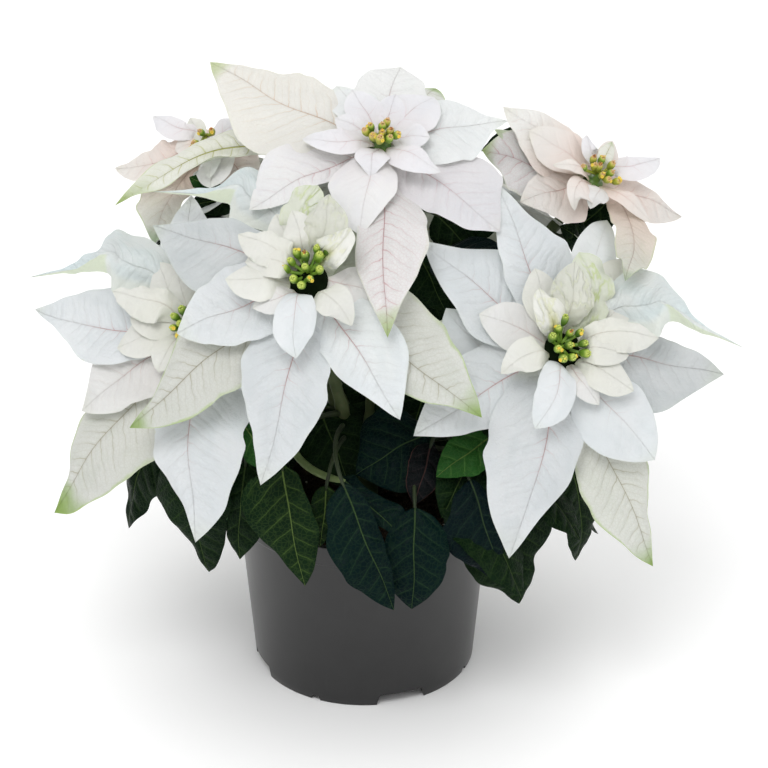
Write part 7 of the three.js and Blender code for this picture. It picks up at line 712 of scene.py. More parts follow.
def make_leaf(name, base, base2, vein, vein_amt, rib, under=False, rough=0.42, spec=0.5, net_amt=0.25, edge=None, trans=0.0):
    g = Graph(name)
    u, v, _ = g.uv("UVn")
    s0, w0, _ = g.uv("UVm")
    s = g.mul(s0, 100.0)
    w = g.mul(w0, 100.0)
    pos = g.xyz(s0, w0, g.mul(g.rand(), 7.0))
    wob = g.noise(pos, 8.0, 2.0)
    q, aw = vein_coord(g, g.add(s, g.mul(g.sub(wob, 0.5), 4.0)), w)
    d = g.mul(g.absv(g.sub(g.frac(q), 0.5)), VEIN_STEP)
    fade = g.ramp(g.absv(v), 1.0, 0.6)
    side = g.mul(g.ramp(d, 0.60, 0.08), fade)
    side_soft = g.mul(g.ramp(d, 2.6, 0.0), fade)
    net = g.ramp(g.voronoi_edge(g.xyz(s0, w0, g.mul(g.rand(), 3.0)), 38.0), 0.13, 0.02)
    big = g.noise(pos, 3.2, 3.0)
    fine = g.noise(pos, 70.0, 4.0, 0.65)
    col = g.mix(g.ramp(big, 0.3, 0.7), base, base2)
    col = g.mix(g.mul(net, net_amt * 0.6), col, vein)
    col = g.mix(g.mul(side_soft, vein_amt * 0.22), col, vein)
    col = g.mix(g.mul(side, vein_amt), col, vein)
    line = g.ramp(g.m("DIVIDE", aw, g.add(g.mul(g.sub(1.0, u), 0.55), 0.20)), 1.0, 0.4)
    col = g.mix(g.mul(line, 0.75), col, rib)
    if edge is not None:
        col = g.mix(g.mul(g.ramp(g.absv(v), 0.93, 1.0), 0.6), col, edge)
    h = g.sub(g.mul(fine, 0.22), g.add(g.mul(side_soft, -1.0 if under else 1.0), g.mul(net, -0.35 if under else 0.4)))
    h = g.sub(h, g.mul(line, -1.3 if under else 0.9))
    nrm = g.bump(h, 0.0005, 0.9)
    r = g.add(g.mul(fine, 0.16), rough - 0.08)
    return g.finish(col, r, nrm, spec=spec, translucent=trans)


LEAF = {
    "dark": make_leaf("leaf_dark", (0.0022, 0.0098, 0.0034), (0.0042, 0.0152, 0.0046), (0.040, 0.074, 0.020), 0.30, (0.066, 0.108, 0.032), spec=0.05),
    "navy": make_leaf("leaf_blue_dark", (0.0008, 0.0048, 0.0072), (0.0015, 0.0078, 0.0084), (0.022, 0.046, 0.026), 0.26, (0.045, 0.075, 0.034), rough=0.42, spec=0.05),
    "teal": make_leaf("leaf_teal", (0.0008, 0.0062, 0.0072), (0.0015, 0.0098, 0.0088), (0.026, 0.058, 0.024), 0.28, (0.050, 0.088, 0.032), rough=0.42, spec=0.045),
    "veined": make_leaf("leaf_veined", (0.0030, 0.0125, 0.0042), (0.0052, 0.0185, 0.0054), (0.070, 0.120, 0.028), 0.40, (0.12, 0.18, 0.050), spec=0.05),
    "bright": make_leaf("leaf_bright", (0.011, 0.058, 0.009), (0.018, 0.084, 0.013), (0.075, 0.18, 0.036), 0.45, (0.15, 0.24, 0.06), trans=0.15, spec=0.10),
    "purple": make_leaf("leaf_purple", (0.0022, 0.0040, 0.0044), (0.0038, 0.0060, 0.0072), (0.036, 0.026, 0.028), 0.30, (0.08, 0.042, 0.038), edge=(0.11, 0.045, 0.038), spec=0.06),
}
LEAF_UNDER = make_leaf("leaf_underside", (0.030, 0.066, 0.028), (0.042, 0.082, 0.036), (0.080, 0.135, 0.062), 0.45, (0.11, 0.17, 0.075), under=True, rough=0.62, spec=0.14, net_amt=0.3)


def make_stem(name, a, b, c, scale=1.0):
    g = Graph(name)
    o = g.obj_coord()
    n1 = g.noise(o, 55.0 * scale, 3.0)
    n2 = g.noise(o, 420.0 * scale, 4.0, 0.65)
    col = g.mix(g.ramp(n1, 0.35, 0.68), a, b)
    col = g.mix(g.mul(g.ramp(n2, 0.55, 0.72), 0.45), col, c)
    nrm = g.bump(g.add(g.mul(n2, 0.6), n1), 0.0005, 0.7)
    return g.finish(col, g.add(g.mul(n2, 0.2), 0.45), nrm, spec=0.35)


STEM = make_stem("stem_bark", (0.046, 0.066, 0.021), (0.074, 0.098, 0.034), (0.105, 0.080, 0.043))
PETIOLE = make_stem("petiole", (0.016, 0.028, 0.009), (0.026, 0.040, 0.013), (0.040, 0.022, 0.015), 1.6)
SHOOT = make_stem("young_shoot", (0.15, 0.21, 0.075), (0.20, 0.27, 0.10), (0.18, 0.22, 0.09), 1.6)


def make_cup(name, a, b, tip):
    g = Graph(name)
    u, v, _ = g.uv("UVn")
    o = g.obj_coord()
    n1 = g.noise(o, 260.0, 3.0)
    n2 = g.noise(o, 1500.0, 3.0)
    col = g.mix(g.ramp(n1, 0.3, 0.7), a, b)
    col = g.mix(g.mul(g.ramp(u, 0.62, 0.98), 0.9), col, tip)
    nrm = g.bump(n2, 0.0002, 0.5)
    return g.finish(col, g.add(g.mul(n2, 0.15), 0.30), nrm, spec=0.5, sss=0.06)


CUP = make_cup("flower_cup", (0.110, 0.225, 0.020), (0.200, 0.335, 0.034), (0.46, 0.55, 0.085))
CUP_OLIVE = make_cup("flower_cup_olive", (0.240, 0.300, 0.030), (0.400, 0.420, 0.050), (0.62, 0.52, 0.12))
CUP_DEEP = make_cup("flower_cup_deep", (0.060, 0.140, 0.016), (0.100, 0.195, 0.022), (0.30, 0.40, 0.05))


def make_dot(name, a, b, rough=0.4, spec=0.5):
    g = Graph(name)
    n = g.noise(g.obj_coord(), 1200.0, 3.0)
    return g.finish(g.mix(n, a, b), g.add(g.mul(n, 0.15), rough - 0.07), g.bump(n, 0.00015, 0.5), spec=spec)


YELLOW = make_dot("gland_yellow", (0.80, 0.56, 0.045), (0.88, 0.68, 0.09), 0.3)
ORANGE = make_dot("anther_orange", (0.62, 0.20, 0.03), (0.72, 0.32, 0.05))
BROWN = make_dot("anther_brown", (0.20, 0.075, 0.03), (0.30, 0.12, 0.04))
LIME = make_dot("cup_lip", (0.52, 0.62, 0.12), (0.62, 0.70, 0.18), 0.35)
CUP_ROSE = make_dot("cup_lip_rose", (0.60, 0.34, 0.16), (0.72, 0.50, 0.26), 0.35)
# painted shade: near-black for the shade deep in a head's hollow
HOLLOW_SHADE = make_dot("head_core_painted_shade", (0.0030, 0.0060, 0.0022), (0.0050, 0.0100, 0.0030), 0.9, 0.05)


def make_pot():
    g = Graph("pot_plastic")
    o = g.obj_coord()
    fine = g.noise(o, 900.0, 3.0, 0.6)
    mid = g.noise(o, 60.0, 3.0)
    sep = g.t.nodes.new("ShaderNodeSeparateXYZ")
    g.t.links.new(o, sep.inputs[0])
    stretch = g.xyz(g.mul(sep.outputs[0], 1.0), g.mul(sep.outputs[1], 1.0), g.mul(sep.outputs[2], 0.06))
    streak = g.noise(stretch, 240.0, 3.0, 0.7)
    dust = g.mul(g.ramp(g.noise(o, 22.0, 4.0, 0.7), 0.50, 0.78), g.ramp(sep.outputs[2], 0.10, 0.0, 0.10, 0.5))
    col = g.mix(g.ramp(mid, 0.3, 0.7), (0.0042, 0.0042, 0.0043), (0.0062, 0.0062, 0.0064))
    col = g.mix(g.mul(g.ramp(streak, 0.58, 0.80), 0.16), col, (0.030, 0.030, 0.031))
    col = g.mix(g.mul(dust, 0.12), col, (0.09, 0.084, 0.074))
    h = g.add(g.mul(fine, 0.5), g.mul(streak, 0.25))
    nrm = g.bump(h, 0.00016, 0.35)
    r = g.add(g.add(g.mul(fine, 0.08), g.mul(streak, 0.06)), 0.23)
    return g.finish(col, r, nrm, spec=0.60)


def make_compost():
    g = Graph("compost_peat")
    o = g.obj_coord()
    n1 = g.noise(o, 120.0, 5.0, 0.7)
    n2 = g.noise(o, 700.0, 4.0, 0.7)
    vo = g.voronoi_edge(o, 330.0)
    col = g.mix(g.ramp(n1, 0.35, 0.65), (0.013, 0.008, 0.005), (0.045, 0.027, 0.015))
    col = g.mix(g.mul(g.ramp(n2, 0.60, 0.75), 0.7), col, (0.12, 0.075, 0.042))
    nrm = g.bump(g.add(n2, g.mul(g.ramp(vo, 0.0, 0.12), 0.8)), 0.0012, 1.0)
    return g.finish(col, 0.9, nrm, spec=0.2)


POT = make_pot()
COMPOST = make_compost()

# ------------------------------------------------------------------ mesh helpers


def pchip(xs, ys, x):
    xs, ys = np.array(xs, float), np.array(ys, float)
    h = np.diff(xs)
    dl = np.diff(ys) / h
    m = np.zeros(len(xs))
    for i in range(1, len(xs) - 1):
        if dl[i - 1] * dl[i] > 0:
            w1, w2 = 2 * h[i] + h[i - 1], h[i] + 2 * h[i - 1]
            m[i] = (w1 + w2) / (w1 / dl[i - 1] + w2 / dl[i])
    m[0], m[-1] = dl[0], dl[-1]
    k = np.clip(np.searchsorted(xs, x) - 1, 0, len(h) - 1)
    t = (x - xs[k]) / h[k]
    h00, h10 = 2 * t**3 - 3 * t**2 + 1, t**3 - 2 * t**2 + t
    h01, h11 = -2 * t**3 + 3 * t**2, t**3 - t**2
    return h00 * ys[k] + h10 * h[k] * m[k] + h01 * ys[k + 1] + h11 * h[k] * m[k + 1]


def pchip_smooth(xs, ys, x):
    """Natural-looking curve through a few points (Catmull-Rom on uneven steps)."""
    xs, ys = np.array(xs, float), np.array(ys, float)
    m = np.gradient(ys, xs)
    h = np.diff(xs)
    k = np.clip(np.searchsorted(xs, x) - 1, 0, len(h) - 1)
    t = (x - xs[k]) / h[k]
    return (2 * t**3 - 3 * t**2 + 1) * ys[k] + (t**3 - 2 * t**2 + t) * h[k] * m[k] + (-2 * t**3 + 3 * t**2) * ys[k + 1] + (t**3 - t**2) * h[k] * m[k + 1]


def make_piece(name, verts, faces, mats, mat_idx=None, uvs=None, smooth=True, sharp_pairs=None):
    me = bpy.data.meshes.new(name)
    me.from_pydata([tuple(v) for v in verts], [], faces)
    for m in mats:
        me.materials.append(m)
    if mat_idx is not None:
        me.polygons.foreach_set("material_index", mat_idx)
    if uvs:
        for k, arr in uvs.items():
            layer = me.uv_layers.new(name=k)
            layer.data.foreach_set("uv", np.asarray(arr, np.float32).ravel())
    me.polygons.foreach_set("use_smooth", [smooth] * len(me.polygons))
    me.update()
    if sharp_pairs is not None:
        want = {tuple(sorted(p)) for p in sharp_pairs}
        flags = [tuple(sorted(e.vertices)) in want for e in me.edges]
        at = me.attributes.get("sharp_edge") or me.attributes.new("sharp_edge", "BOOLEAN", "EDGE")
        at.data.foreach_set("value", flags)
    ob = bpy.data.objects.new(name, me)
    bpy.context.scene.collection.objects.link(ob)
    return ob


def blade(name, B, T, N, L, R, arch, bend=0.0, tipc=0.0, ruf=0.0, nu=44, nv=22, thick=0.5, fold=0.12, camber=0.10,
          twist=0.0, quilt=0.32, rib_down=0.9, w0=2.2, waves=3.0, edge_wave=0.02, roll=0.0, path=None, curl=None,
          lobes=0.0, dents=1.0, groove=0.45, net=None):
    """Vertices (mm), faces, material flags and UVs of one bract or leaf: a thin closed body over a bent midrib."""
    rnd = seed_of(name)
    B, T, N = vec(B), vec(T), unit(vec(N))
    if path is not None:
        pts = np.array(path, float)
        T = pts[-1]
    a = T - B
    ln = np.linalg.norm(a)
    a = a / ln
    N = unit(N - (N @ a) * a)
    W = np.cross(N, a)
    C = (B + T) / 2 + 2 * arch * ln * N + 2 * bend * ln * W
    u = np.linspace(0, 1, nu + 1)
    u = u + 0.035 * np.sin(2 * np.pi * u) * -1.0           # rows closer together at both ends
    u[0], u[-1] = 0, 1
    c = B * ((1 - u) ** 2)[:, None] + C * (2 * u * (1 - u))[:, None] + T * (u * u)[:, None]
    tg = (C - B) * (2 * (1 - u))[:, None] + (T - C) * (2 * u)[:, None]
    tc = np.clip((u - 0.6) / 0.4, 0, 1)
    c = c + N * (tipc * ln * tc**2)[:, None]
    if path is not None:
        knots = np.vstack([B[None, :], pts])
        seg = np.linalg.norm(np.diff(knots, axis=0), axis=1)
        kx = np.concatenate([[0], np.cumsum(seg)])
        ln = kx[-1]
        kx = kx / ln
        c = np.stack([pchip_smooth(kx, knots[:, k], u) for k in range(3)], 1)
    if net is not None:
        ku, ctl = np.array(net[0], float), np.array(net[1], float)
        kv = np.linspace(-1, 1, ctl.shape[1])                 # left margin first
        tt = np.linspace(-1, 1, nv + 1)
        rows = np.stack([np.stack([pchip_smooth(ku, ctl[:, k, a_], u) for a_ in range(3)], 1) for k in range(ctl.shape[1])], 1)
        P0 = np.stack([[pchip_smooth(kv, rows[i, :, a_], tt) for a_ in range(3)] for i in range(nu + 1)], 0).transpose(0, 2, 1)
        c = P0[:, nv // 2]
        ln = np.linalg.norm(np.diff(c, axis=0), axis=1).sum()
    # a slow sway of the midrib
    ph1, ph2 = rnd.uniform(0, 6.28), rnd.uniform(0, 6.28)
    env = np.sin(np.pi * np.clip(u, 0, 1))
    c = c + W * (ln * 0.010 * env * np.sin(2 * np.pi * u * 1.3 + ph1))[:, None] + N * (ln * 0.012 * env * np.sin(2 * np.pi * u * 1.7 + ph2))[:, None]
    tg = np.gradient(c, axis=0)
    tg /= np.linalg.norm(tg, axis=1)[:, None]
    n = N[None, :] - (tg @ N)[:, None] * tg
    n /= np.linalg.norm(n, axis=1)[:, None]
    w = np.cross(n, tg)
    ang = np.radians(roll) + np.radians(twist) * (u - 0.3) + np.radians(rnd.uniform(-5, 5)) * u
    ca, sa = np.cos(ang)[:, None], np.sin(ang)[:, None]
    n, w = n * ca + w * sa, w * ca - n * sa
    xs = [0.0] + US + [1.0]
    WL = pchip(xs, [min(w0, L[0] * 0.55)] + list(L) + [0.0], u)
    WR = pchip(xs, [min(w0, R[0] * 0.55)] + list(R) + [0.0], u)
    WL = np.maximum(WL, 0.05)
    WR = np.maximum(WR, 0.05)
    f1, f2 = rnd.uniform(2.5, 4.5), rnd.uniform(5, 8)
    WL = WL * (1 + edge_wave * np.sin(2 * np.pi * f1 * u + ph1) + 0.5 * edge_wave * np.sin(2 * np.pi * f2 * u + ph2))
    WR = WR * (1 + edge_wave * np.sin(2 * np.pi * f1 * u + ph2 + 1) + 0.5 * edge_wave * np.sin(2 * np.pi * f2 * u + ph1))
    if lobes:
        for arr, pp in ((0, ph1), (1, ph2)):
            k = lobes * (np.abs(((u * 3.1 + pp / 6.28) % 1.0) - 0.5) * 4 - 1.0) * np.sin(np.pi * u) ** 0.5
            if arr == 0:
                WL = WL * (1 - k)
            else:
                WR = WR * (1 - k)
    v = np.linspace(1, -1, nv + 1)
    v = np.sign(v) * np.abs(v) ** 0.92
    Sm = np.where(v[None, :] > 0, WL[:, None] * v[None, :], WR[:, None] * v[None, :])      # signed mm, left positive
    Wm = np.where(v[None, :] > 0, WL[:, None], WR[:, None])
    if net is not None:
        step = np.linalg.norm(np.diff(P0, axis=1), axis=2)
        cum = np.concatenate([np.zeros((nu + 1, 1)), np.cumsum(step, axis=1)], 1)
        Sm = cum[:, nv // 2][:, None] - cum
        Wm = np.maximum(np.where(v[None, :] > 0, Sm[:, :1], -Sm[:, -1:]), 0.05)
    aS = np.abs(Sm)
    av = np.abs(v)[None, :]
    Wmax = max(WL.max(), WR.max())
    uu = u[:, None]
    sm = uu * ln
    fo = fold * (1.15 - 0.6 * uu)
    h = fo * aS - (fo + camber) * aS**2 / np.maximum(Wm, 1.0) * 0.9
    # the halves swell between the side veins, and the midrib lies in a groove
    q = (sm - aS * 0.62 - aS**2 * 0.006 + (Sm > 0) * VEIN_STEP * 0.5) / VEIN_STEP
    cell = 0.5 - 0.5 * np.cos(2 * np.pi * (q - 0.5))
    amp = quilt * np.clip(aS / 5, 0, 1) * (1 - av**4) * np.clip(Wm / 12, 0.2, 1)
    h = h + amp * (cell - 0.5)
    h = h - groove * np.exp(-((Sm / 1.4) ** 2)) * np.clip(Wm / 10, 0.1, 1)
    # ruffles grow towards the margin
    pl, pr, fq = rnd.uniform(0, 6.28), rnd.uniform(0, 6.28), waves * rnd.uniform(0.85, 1.2)
    phs = np.where(Sm > 0, pl, pr)
    ra = (0.012 + ruf) * ln * np.sin(np.pi * np.clip(uu * 1.02, 0, 1)) ** 0.7
    h = h + ra * av**2.2 * (np.sin(2 * np.pi * fq * uu + phs) + 0.45 * np.sin(2 * np.pi * fq * 2.1 * uu + phs * 1.7))
    # light random dents
    for k in range(3):
        fu, fv = rnd.uniform(0.6, 2.0), rnd.uniform(0.5, 1.6)
        p1, p2 = rnd.uniform(0, 6.28), rnd.uniform(0, 6.28)
        h = h + 0.007 * dents * ln * np.sin(2 * np.pi * fu * uu + p1) * np.sin(np.pi * fv * v[None, :] + p2) * env[:, None]
    if curl is not None:      # one margin of the outer half rolls up and over
        side, amount = curl
        out = np.clip(Sm * side / np.maximum(Wm, 1.0), 0, 1)
        roll_u = np.clip((uu - 0.42) / 0.16, 0, 1)
        ang2 = out * roll_u * amount * 1.5
        h = h + np.abs(Sm) * np.sin(ang2)
        Sm2 = Sm * (1 - roll_u * out * (1 - np.cos(ang2)))
    else:
        Sm2 = Sm
    P = c[:, None, :] + w[:, None, :] * Sm2[:, :, None] + n[:, None, :] * h[:, :, None]
    if net is not None:       # the net gives the shape, and only the fine relief is added to it
        g0 = np.cross(np.gradient(P0, axis=1), np.gradient(P0, axis=0))
        g0 /= np.maximum(np.linalg.norm(g0, axis=2), 1e-9)[:, :, None]
        if g0.mean(axis=(0, 1)) @ N < 0:
            g0 = -g0
        small = h - (fo * aS - (fo + camber) * aS**2 / np.maximum(Wm, 1.0) * 0.9)
        P = P0 + g0 * (small * np.clip(Wm / 4, 0, 1) * np.sin(np.pi * np.clip(uu, 0, 1)) ** 0.4)[:, :, None]
        n = g0[:, nv // 2]
    # surface normals of the grid, for the thickness
    du = np.gradient(P, axis=0)
    dv = np.gradient(P, axis=1)
    nn = np.cross(dv, du)
    nn /= np.maximum(np.linalg.norm(nn, axis=2), 1e-9)[:, :, None]
    if np.einsum("ijk,ik->", nn, n) < 0:
        nn = -nn
    th = thick * (1 - 0.55 * av**2) * np.clip(Wm / 4, 0.25, 1) + rib_down * np.exp(-((Sm / 1.1) ** 2)) * (1 - 0.75 * uu) * np.clip(Wm / 6, 0.3, 1)
    th = np.minimum(th, 0.9 * np.maximum(Wm, 0.2))
    Q = P - nn * th[:, :, None]
    verts, top, bot = [], -np.ones((nu + 1, nv + 1), int), -np.ones((nu + 1, nv + 1), int)
    for i in range(nu):
        for j in range(nv + 1):
            top[i, j] = len(verts)
            verts.append(P[i, j])
    top[nu, :] = len(verts)
    verts.append(P[nu, nv // 2])
    for i in range(nu + 1):
        for j in range(nv + 1):
            if i in (0, nu) or j in (0, nv):
                bot[i, j] = top[i, j]
            else:
                bot[i, j] = len(verts)
                verts.append(Q[i, j])
    faces, mid, corner = [], [], []
    for i in range(nu):
        for j in range(nv):
            cs = [(i, j), (i, j + 1), (i + 1, j + 1), (i + 1, j)]
            for side, ids in ((0, top), (1, bot)):
                lst = cs if side == 0 else cs[::-1]
                f, cc = [], []
                for (p, r) in lst:
                    k = int(ids[p, r])
                    if k not in f:
                        f.append(k)
                        cc.append((p, r, side))
                if len(f) >= 3:
                    faces.append(f)
                    mid.append(side)
                    corner += cc
    # the top faces must look along +n
    f = faces[len(faces) // 2 - (len(faces) // 2) % 2]
    p0, p1, p2 = (np.array(verts[k]) for k in f[:3])
    i_mid = nu // 2
    if np.cross(p1 - p0, p2 - p0) @ n[i_mid] < 0:
        new_c, at = [], 0
        for k in range(len(faces)):
            m = len(faces[k])
            faces[k] = faces[k][::-1]
            new_c += corner[at:at + m][::-1]
            at += m
        corner = new_c
    ci = np.array([x[0] for x in corner])
    cj = np.array([x[1] for x in corner])
    cs_ = np.array([x[2] for x in corner])
    uvn = np.stack([u[ci], v[cj]], 1)
    uvm = np.stack([u[ci] * ln / 100, Sm[ci, cj] / 100], 1)
    bx = np.where(cs_ == 0, 0.25, 0.75) + 0.235 * Sm[ci, cj] / Wmax
    uvb = np.stack([bx, 0.015 + 0.97 * u[ci]], 1)
    rim = []
    for i in range(nu):
        rim.append((top[i, 0], top[i + 1, 0]))
        rim.append((top[i, nv], top[i + 1, nv]))
    return verts, faces, mid, {"UVn": uvn, "UVm": uvm, "OFBake": uvb}, rim


def sweep(points, radii, sides=10, cap=True):
    """A tube through points (mm) with a radius at each; returns verts and faces."""
    pts = np.array(points, float)
    tg = np.gradient(pts, axis=0)
    tg /= np.linalg.norm(tg, axis=1)[:, None]
    ref = np.array([0.0, 0, 1.0]) if abs(tg[0][2]) < 0.9 else np.array([1.0, 0, 0])
    x = unit(np.cross(ref, tg[0]))
    verts, faces = [], []
    for i, (p, t, r) in enumerate(zip(pts, tg, radii)):
        x = unit(x - (x @ t) * t)
        y = np.cross(t, x)
        for k in range(sides):
            an = 2 * math.pi * k / sides
            verts.append(p + r * (math.cos(an) * x + math.sin(an) * y))
    for i in range(len(pts) - 1):
        for k in range(sides):
            a, b = i * sides + k, i * sides + (k + 1) % sides
            faces.append([a, b, b + sides, a + sides])
    if cap:
        n0 = len(verts)
        verts.append(pts[0] - tg[0] * radii[0] * 0.3)
        verts.append(pts[-1] + tg[-1] * radii[-1] * 0.3)
        last = (len(pts) - 1) * sides
        for k in range(sides):
            faces.append([(k + 1) % sides, k, n0])
            faces.append([last + k, last + (k + 1) % sides, n0 + 1])
    return verts, faces


def cubic(P, u):
    a, b, c, d = (vec(p) for p in P)
    u = np.asarray(u)[:, None]
    return a * (1 - u) ** 3 + b * 3 * u * (1 - u) ** 2 + c * 3 * u * u * (1 - u) + d * u**3


class Bag:
    """Collects closed shells into one mesh, with material indices and UV corners."""

    def __init__(self):
        self.v, self.f, self.m, self.uv = [], [], [], []

    def add(self, verts, faces, mat=0, uvn=None):
        o = len(self.v)
        self.v += [tuple(x) for x in verts]
        self.f += [[k + o for k in f] for f in faces]
        self.m += [mat] * len(faces) if isinstance(mat, int) else list(mat)
        if uvn is None:
            self.uv += [(0.0, 0.0)] * sum(len(f) for f in faces)
        else:
            self.uv += list(uvn)

    def piece(self, name, mats, smooth=True):
        v = [tuple(c * MM for c in p) for p in self.v]
        return make_piece(name, v, self.f, mats, self.m, {"UVn": self.uv}, smooth)


def turned(profile, axis_o, axis_n, sides, wob=None):
    """Solid of revolution about an axis; profile of (r, h, u) from the bottom to the top, both ends on the axis."""
    n = unit(vec(axis_n))
    x = unit(np.cross(n, [0.31, 0.77, 0.55]))
    y = np.cross(n, x)
    o = vec(axis_o)
    verts, faces, uv = [], [], []
    rings = profile[1:-1]
    for (r, h, u) in rings:
        for k in range(sides):
            an = 2 * math.pi * k / sides
            rr = r * (1 + (wob(an, u) if wob else 0))
            verts.append(o + rr * (math.cos(an) * x + math.sin(an) * y) + n * h)
    b, t = len(verts), len(verts) + 1
    verts.append(o + n * profile[0][1])
    verts.append(o + n * profile[-1][1])
    for i in range(len(rings) - 1):
        for k in range(sides):
            a, c = i * sides + k, i * sides + (k + 1) % sides
            faces.append([a, c, c + sides, a + sides])
            uv += [(rings[i][2], 0), (rings[i][2], 0), (rings[i + 1][2], 0), (rings[i + 1][2], 0)]
    last = (len(rings) - 1) * sides
    for k in range(sides):
        faces.append([(k + 1) % sides, k, b])
        uv += [(rings[0][2], 0), (rings[0][2], 0), (profile[0][2], 0)]
        faces.append([last + k, last + (k + 1) % sides, t])
        uv += [(rings[-1][2], 0), (rings[-1][2], 0), (profile[-1][2], 0)]
    return verts, faces, uv


# ------------------------------------------------------------------ camera, light, floor

EYE = vec([12.6, -1344.73, 855.01]) * MM
AIM = vec([12.6, 0.0, 190.4]) * MM
cam_data = bpy.data.cameras.new("camera")
cam = bpy.data.objects.new("camera", cam_data)
bpy.context.scene.collection.objects.link(cam)
cam.location = Vector(EYE)
cam.rotation_euler = (Vector(AIM) - Vector(EYE)).to_track_quat("-Z", "Y").to_euler()
cam_data.sensor_width = 36.0
cam_data.lens = 18.0 / math.tan(math.radians(9.0))
cam_data.clip_start = 0.05
cam_data.clip_end = 60.0
bpy.context.scene.camera = cam
bpy.context.scene.view_settings.view_transform = "Standard"

world = bpy.data.worlds.new("studio")
bpy.context.scene.world = world
world.use_nodes = True
bg = world.node_tree.nodes["Background"]
bg.inputs[0].default_value = (1.0, 1.0, 1.0, 1.0)
bg.inputs[1].default_value = 0.80


def area(name, loc, aim, size, power, color=(1, 1, 1)):
    d = bpy.data.lights.new(name, "AREA")
    d.shape = "DISK"
    d.size = size
    d.energy = power
    d.color = color
    o = bpy.data.objects.new(name, d)
    bpy.context.scene.collection.objects.link(o)
    o.location = loc
    o.rotation_euler = (Vector(aim) - Vector(loc)).to_track_quat("-Z", "Y").to_euler()
    return o


area("key", (-0.45, -1.45, 2.3), (0, 0, 0.25), 1.3, 25.5)
area("fill", (2.0, -0.5, 1.1), (0, 0, 0.2), 1.2, 3.5)
area("back", (0.3, 2.0, 1.6), (0, 0, 0.22), 1.4, 8.0)

fm = Graph("floor")
fn = fm.noise(fm.obj_coord(), 3.0, 2.0)
fp = fm.t.nodes.new("ShaderNodeBsdfPrincipled")
fm.put(fp.inputs["Base Color"], fm.mix(fn, (0.93, 0.93, 0.93), (0.95, 0.95, 0.95)))
fp.inputs["Roughness"].default_value = 0.85
fp.inputs["Specular IOR Level"].default_value = 0.1
# the floor glows faintly so it reads as an even white, and the glow fades out between 200 and 78 mm from the pot's
# axis: a painted shadow round the pot
fp.inputs["Emission Color"].default_value = (1, 1, 1, 1)
fsep = fm.t.nodes.new("ShaderNodeSeparateXYZ")
fm.t.links.new(fm.obj_coord(), fsep.inputs[0])
shadow_fade_radius = fm.m("SQRT", fm.add(fm.mul(fsep.outputs[0], fsep.outputs[0]), fm.mul(fsep.outputs[1], fsep.outputs[1])))
fm.put(fp.inputs["Emission Strength"], fm.ramp(shadow_fade_radius, 0.078, 0.20, 0.0, 0.13))
fo_ = fm.t.nodes.new("ShaderNodeOutputMaterial")
fm.t.links.new(fp.outputs[0], fo_.inputs[0])
S = 6.0
floor = make_piece("floor", [(-S, -S, 0), (S, -S, 0), (S, S, 0), (-S, S, 0)], [[0, 1, 2, 3]], [fm.mat])

# ------------------------------------------------------------------ pot

POT_R_BASE, POT_R_WALL, POT_R_RIM, POT_H, POT_RIM_H, POT_WALL = 70.4, 79.4, 82.5, 120.0, 14.0, 1.9
POT_FLOOR_Z, POT_SEAT_R = 8.0, 22.0


def pot_wall(z):
    return POT_R_BASE + (POT_R_WALL - POT_R_BASE) * z / (POT_H - POT_RIM_H)


def ring_mesh(profile, sides):
    verts, faces = [], []
    for (r, z) in profile:
        for k in range(sides):
            an = 2 * math.pi * k / sides
            verts.append((r * math.cos(an) * MM, r * math.sin(an) * MM, z * MM))
    m = len(profile)
    for i in range(m - 1):
        for k in range(sides):
            a, b = i * sides + k, i * sides + (k + 1) % sides
            faces.append([a, b, b + sides, a + sides])
    return verts, faces


def arc(cx, cz, r, a0, a1, n):
    return [(cx + r * math.cos(math.radians(a0 + (a1 - a0) * i / n)), cz + r * math.sin(math.radians(a0 + (a1 - a0) * i / n))) for i in range(n + 1)]


zr, t, f = POT_H - POT_RIM_H, POT_WALL, POT_FLOOR_Z
prof = [(0.001, 0.0), (POT_SEAT_R * 0.5, 0.0), (POT_SEAT_R - 1.0, 0.0)] + arc(POT_SEAT_R - 1.0, 1.0, 1.0, -90, -20, 4)
prof += [(POT_SEAT_R + 2.6, f - 0.7), (POT_SEAT_R + 3.4, f), (40, f), (pot_wall(0) - t - 3.2, f), (pot_wall(0) - t - 2.0, f - 0.8), (pot_wall(0) - t - 0.1, 0.7), (pot_wall(0) - t + 0.4, 0.0)]
prof += [(pot_wall(0) - 0.8, 0.0), (pot_wall(0) - 0.2, 0.25), (pot_wall(0) + 0.05, 0.9)]
prof += [(pot_wall(z), z) for z in (6, 14, 24, 36, 50, 64, 78, 90, 98, 103)]
prof += [(pot_wall(zr) - 0.1, zr - 1.0), (pot_wall(zr) + 0.4, zr - 0.1), (POT_R_RIM - 0.9, zr + 0.35)] + arc(POT_R_RIM - 0.8, zr + 1.3, 0.8, -60, 0, 3)
prof += [(POT_R_RIM, zr + 4), (POT_R_RIM, POT_H - 3)] + arc(POT_R_RIM - 1.3, POT_H - 1.3, 1.3, 0, 180, 8)
prof += [(POT_R_RIM - 2.8, POT_H - 4), (POT_R_RIM - 3.2, zr + 3), (pot_wall(zr) - t, zr - 1), (pot_wall(60) - t, 60), (pot_wall(f + 4) - t, f + 5), (pot_wall(f) - t - 0.8, f + 3.0), (pot_wall(f) - t - 2.6, f + 2)]
prof += [(POT_SEAT_R + 1.4, f + 2), (POT_SEAT_R - 1.4, 2.2), (POT_SEAT_R - 2.2, 2.0), (0.001, 2.0)]
pv, pf = ring_mesh(prof, 160)
nprof = len(prof)
pf.append([k for k in range(160)][::-1])
pf.append([(nprof - 1) * 160 + k for k in range(160)])
pot = make_piece("nursery_pot", pv, pf, [POT])


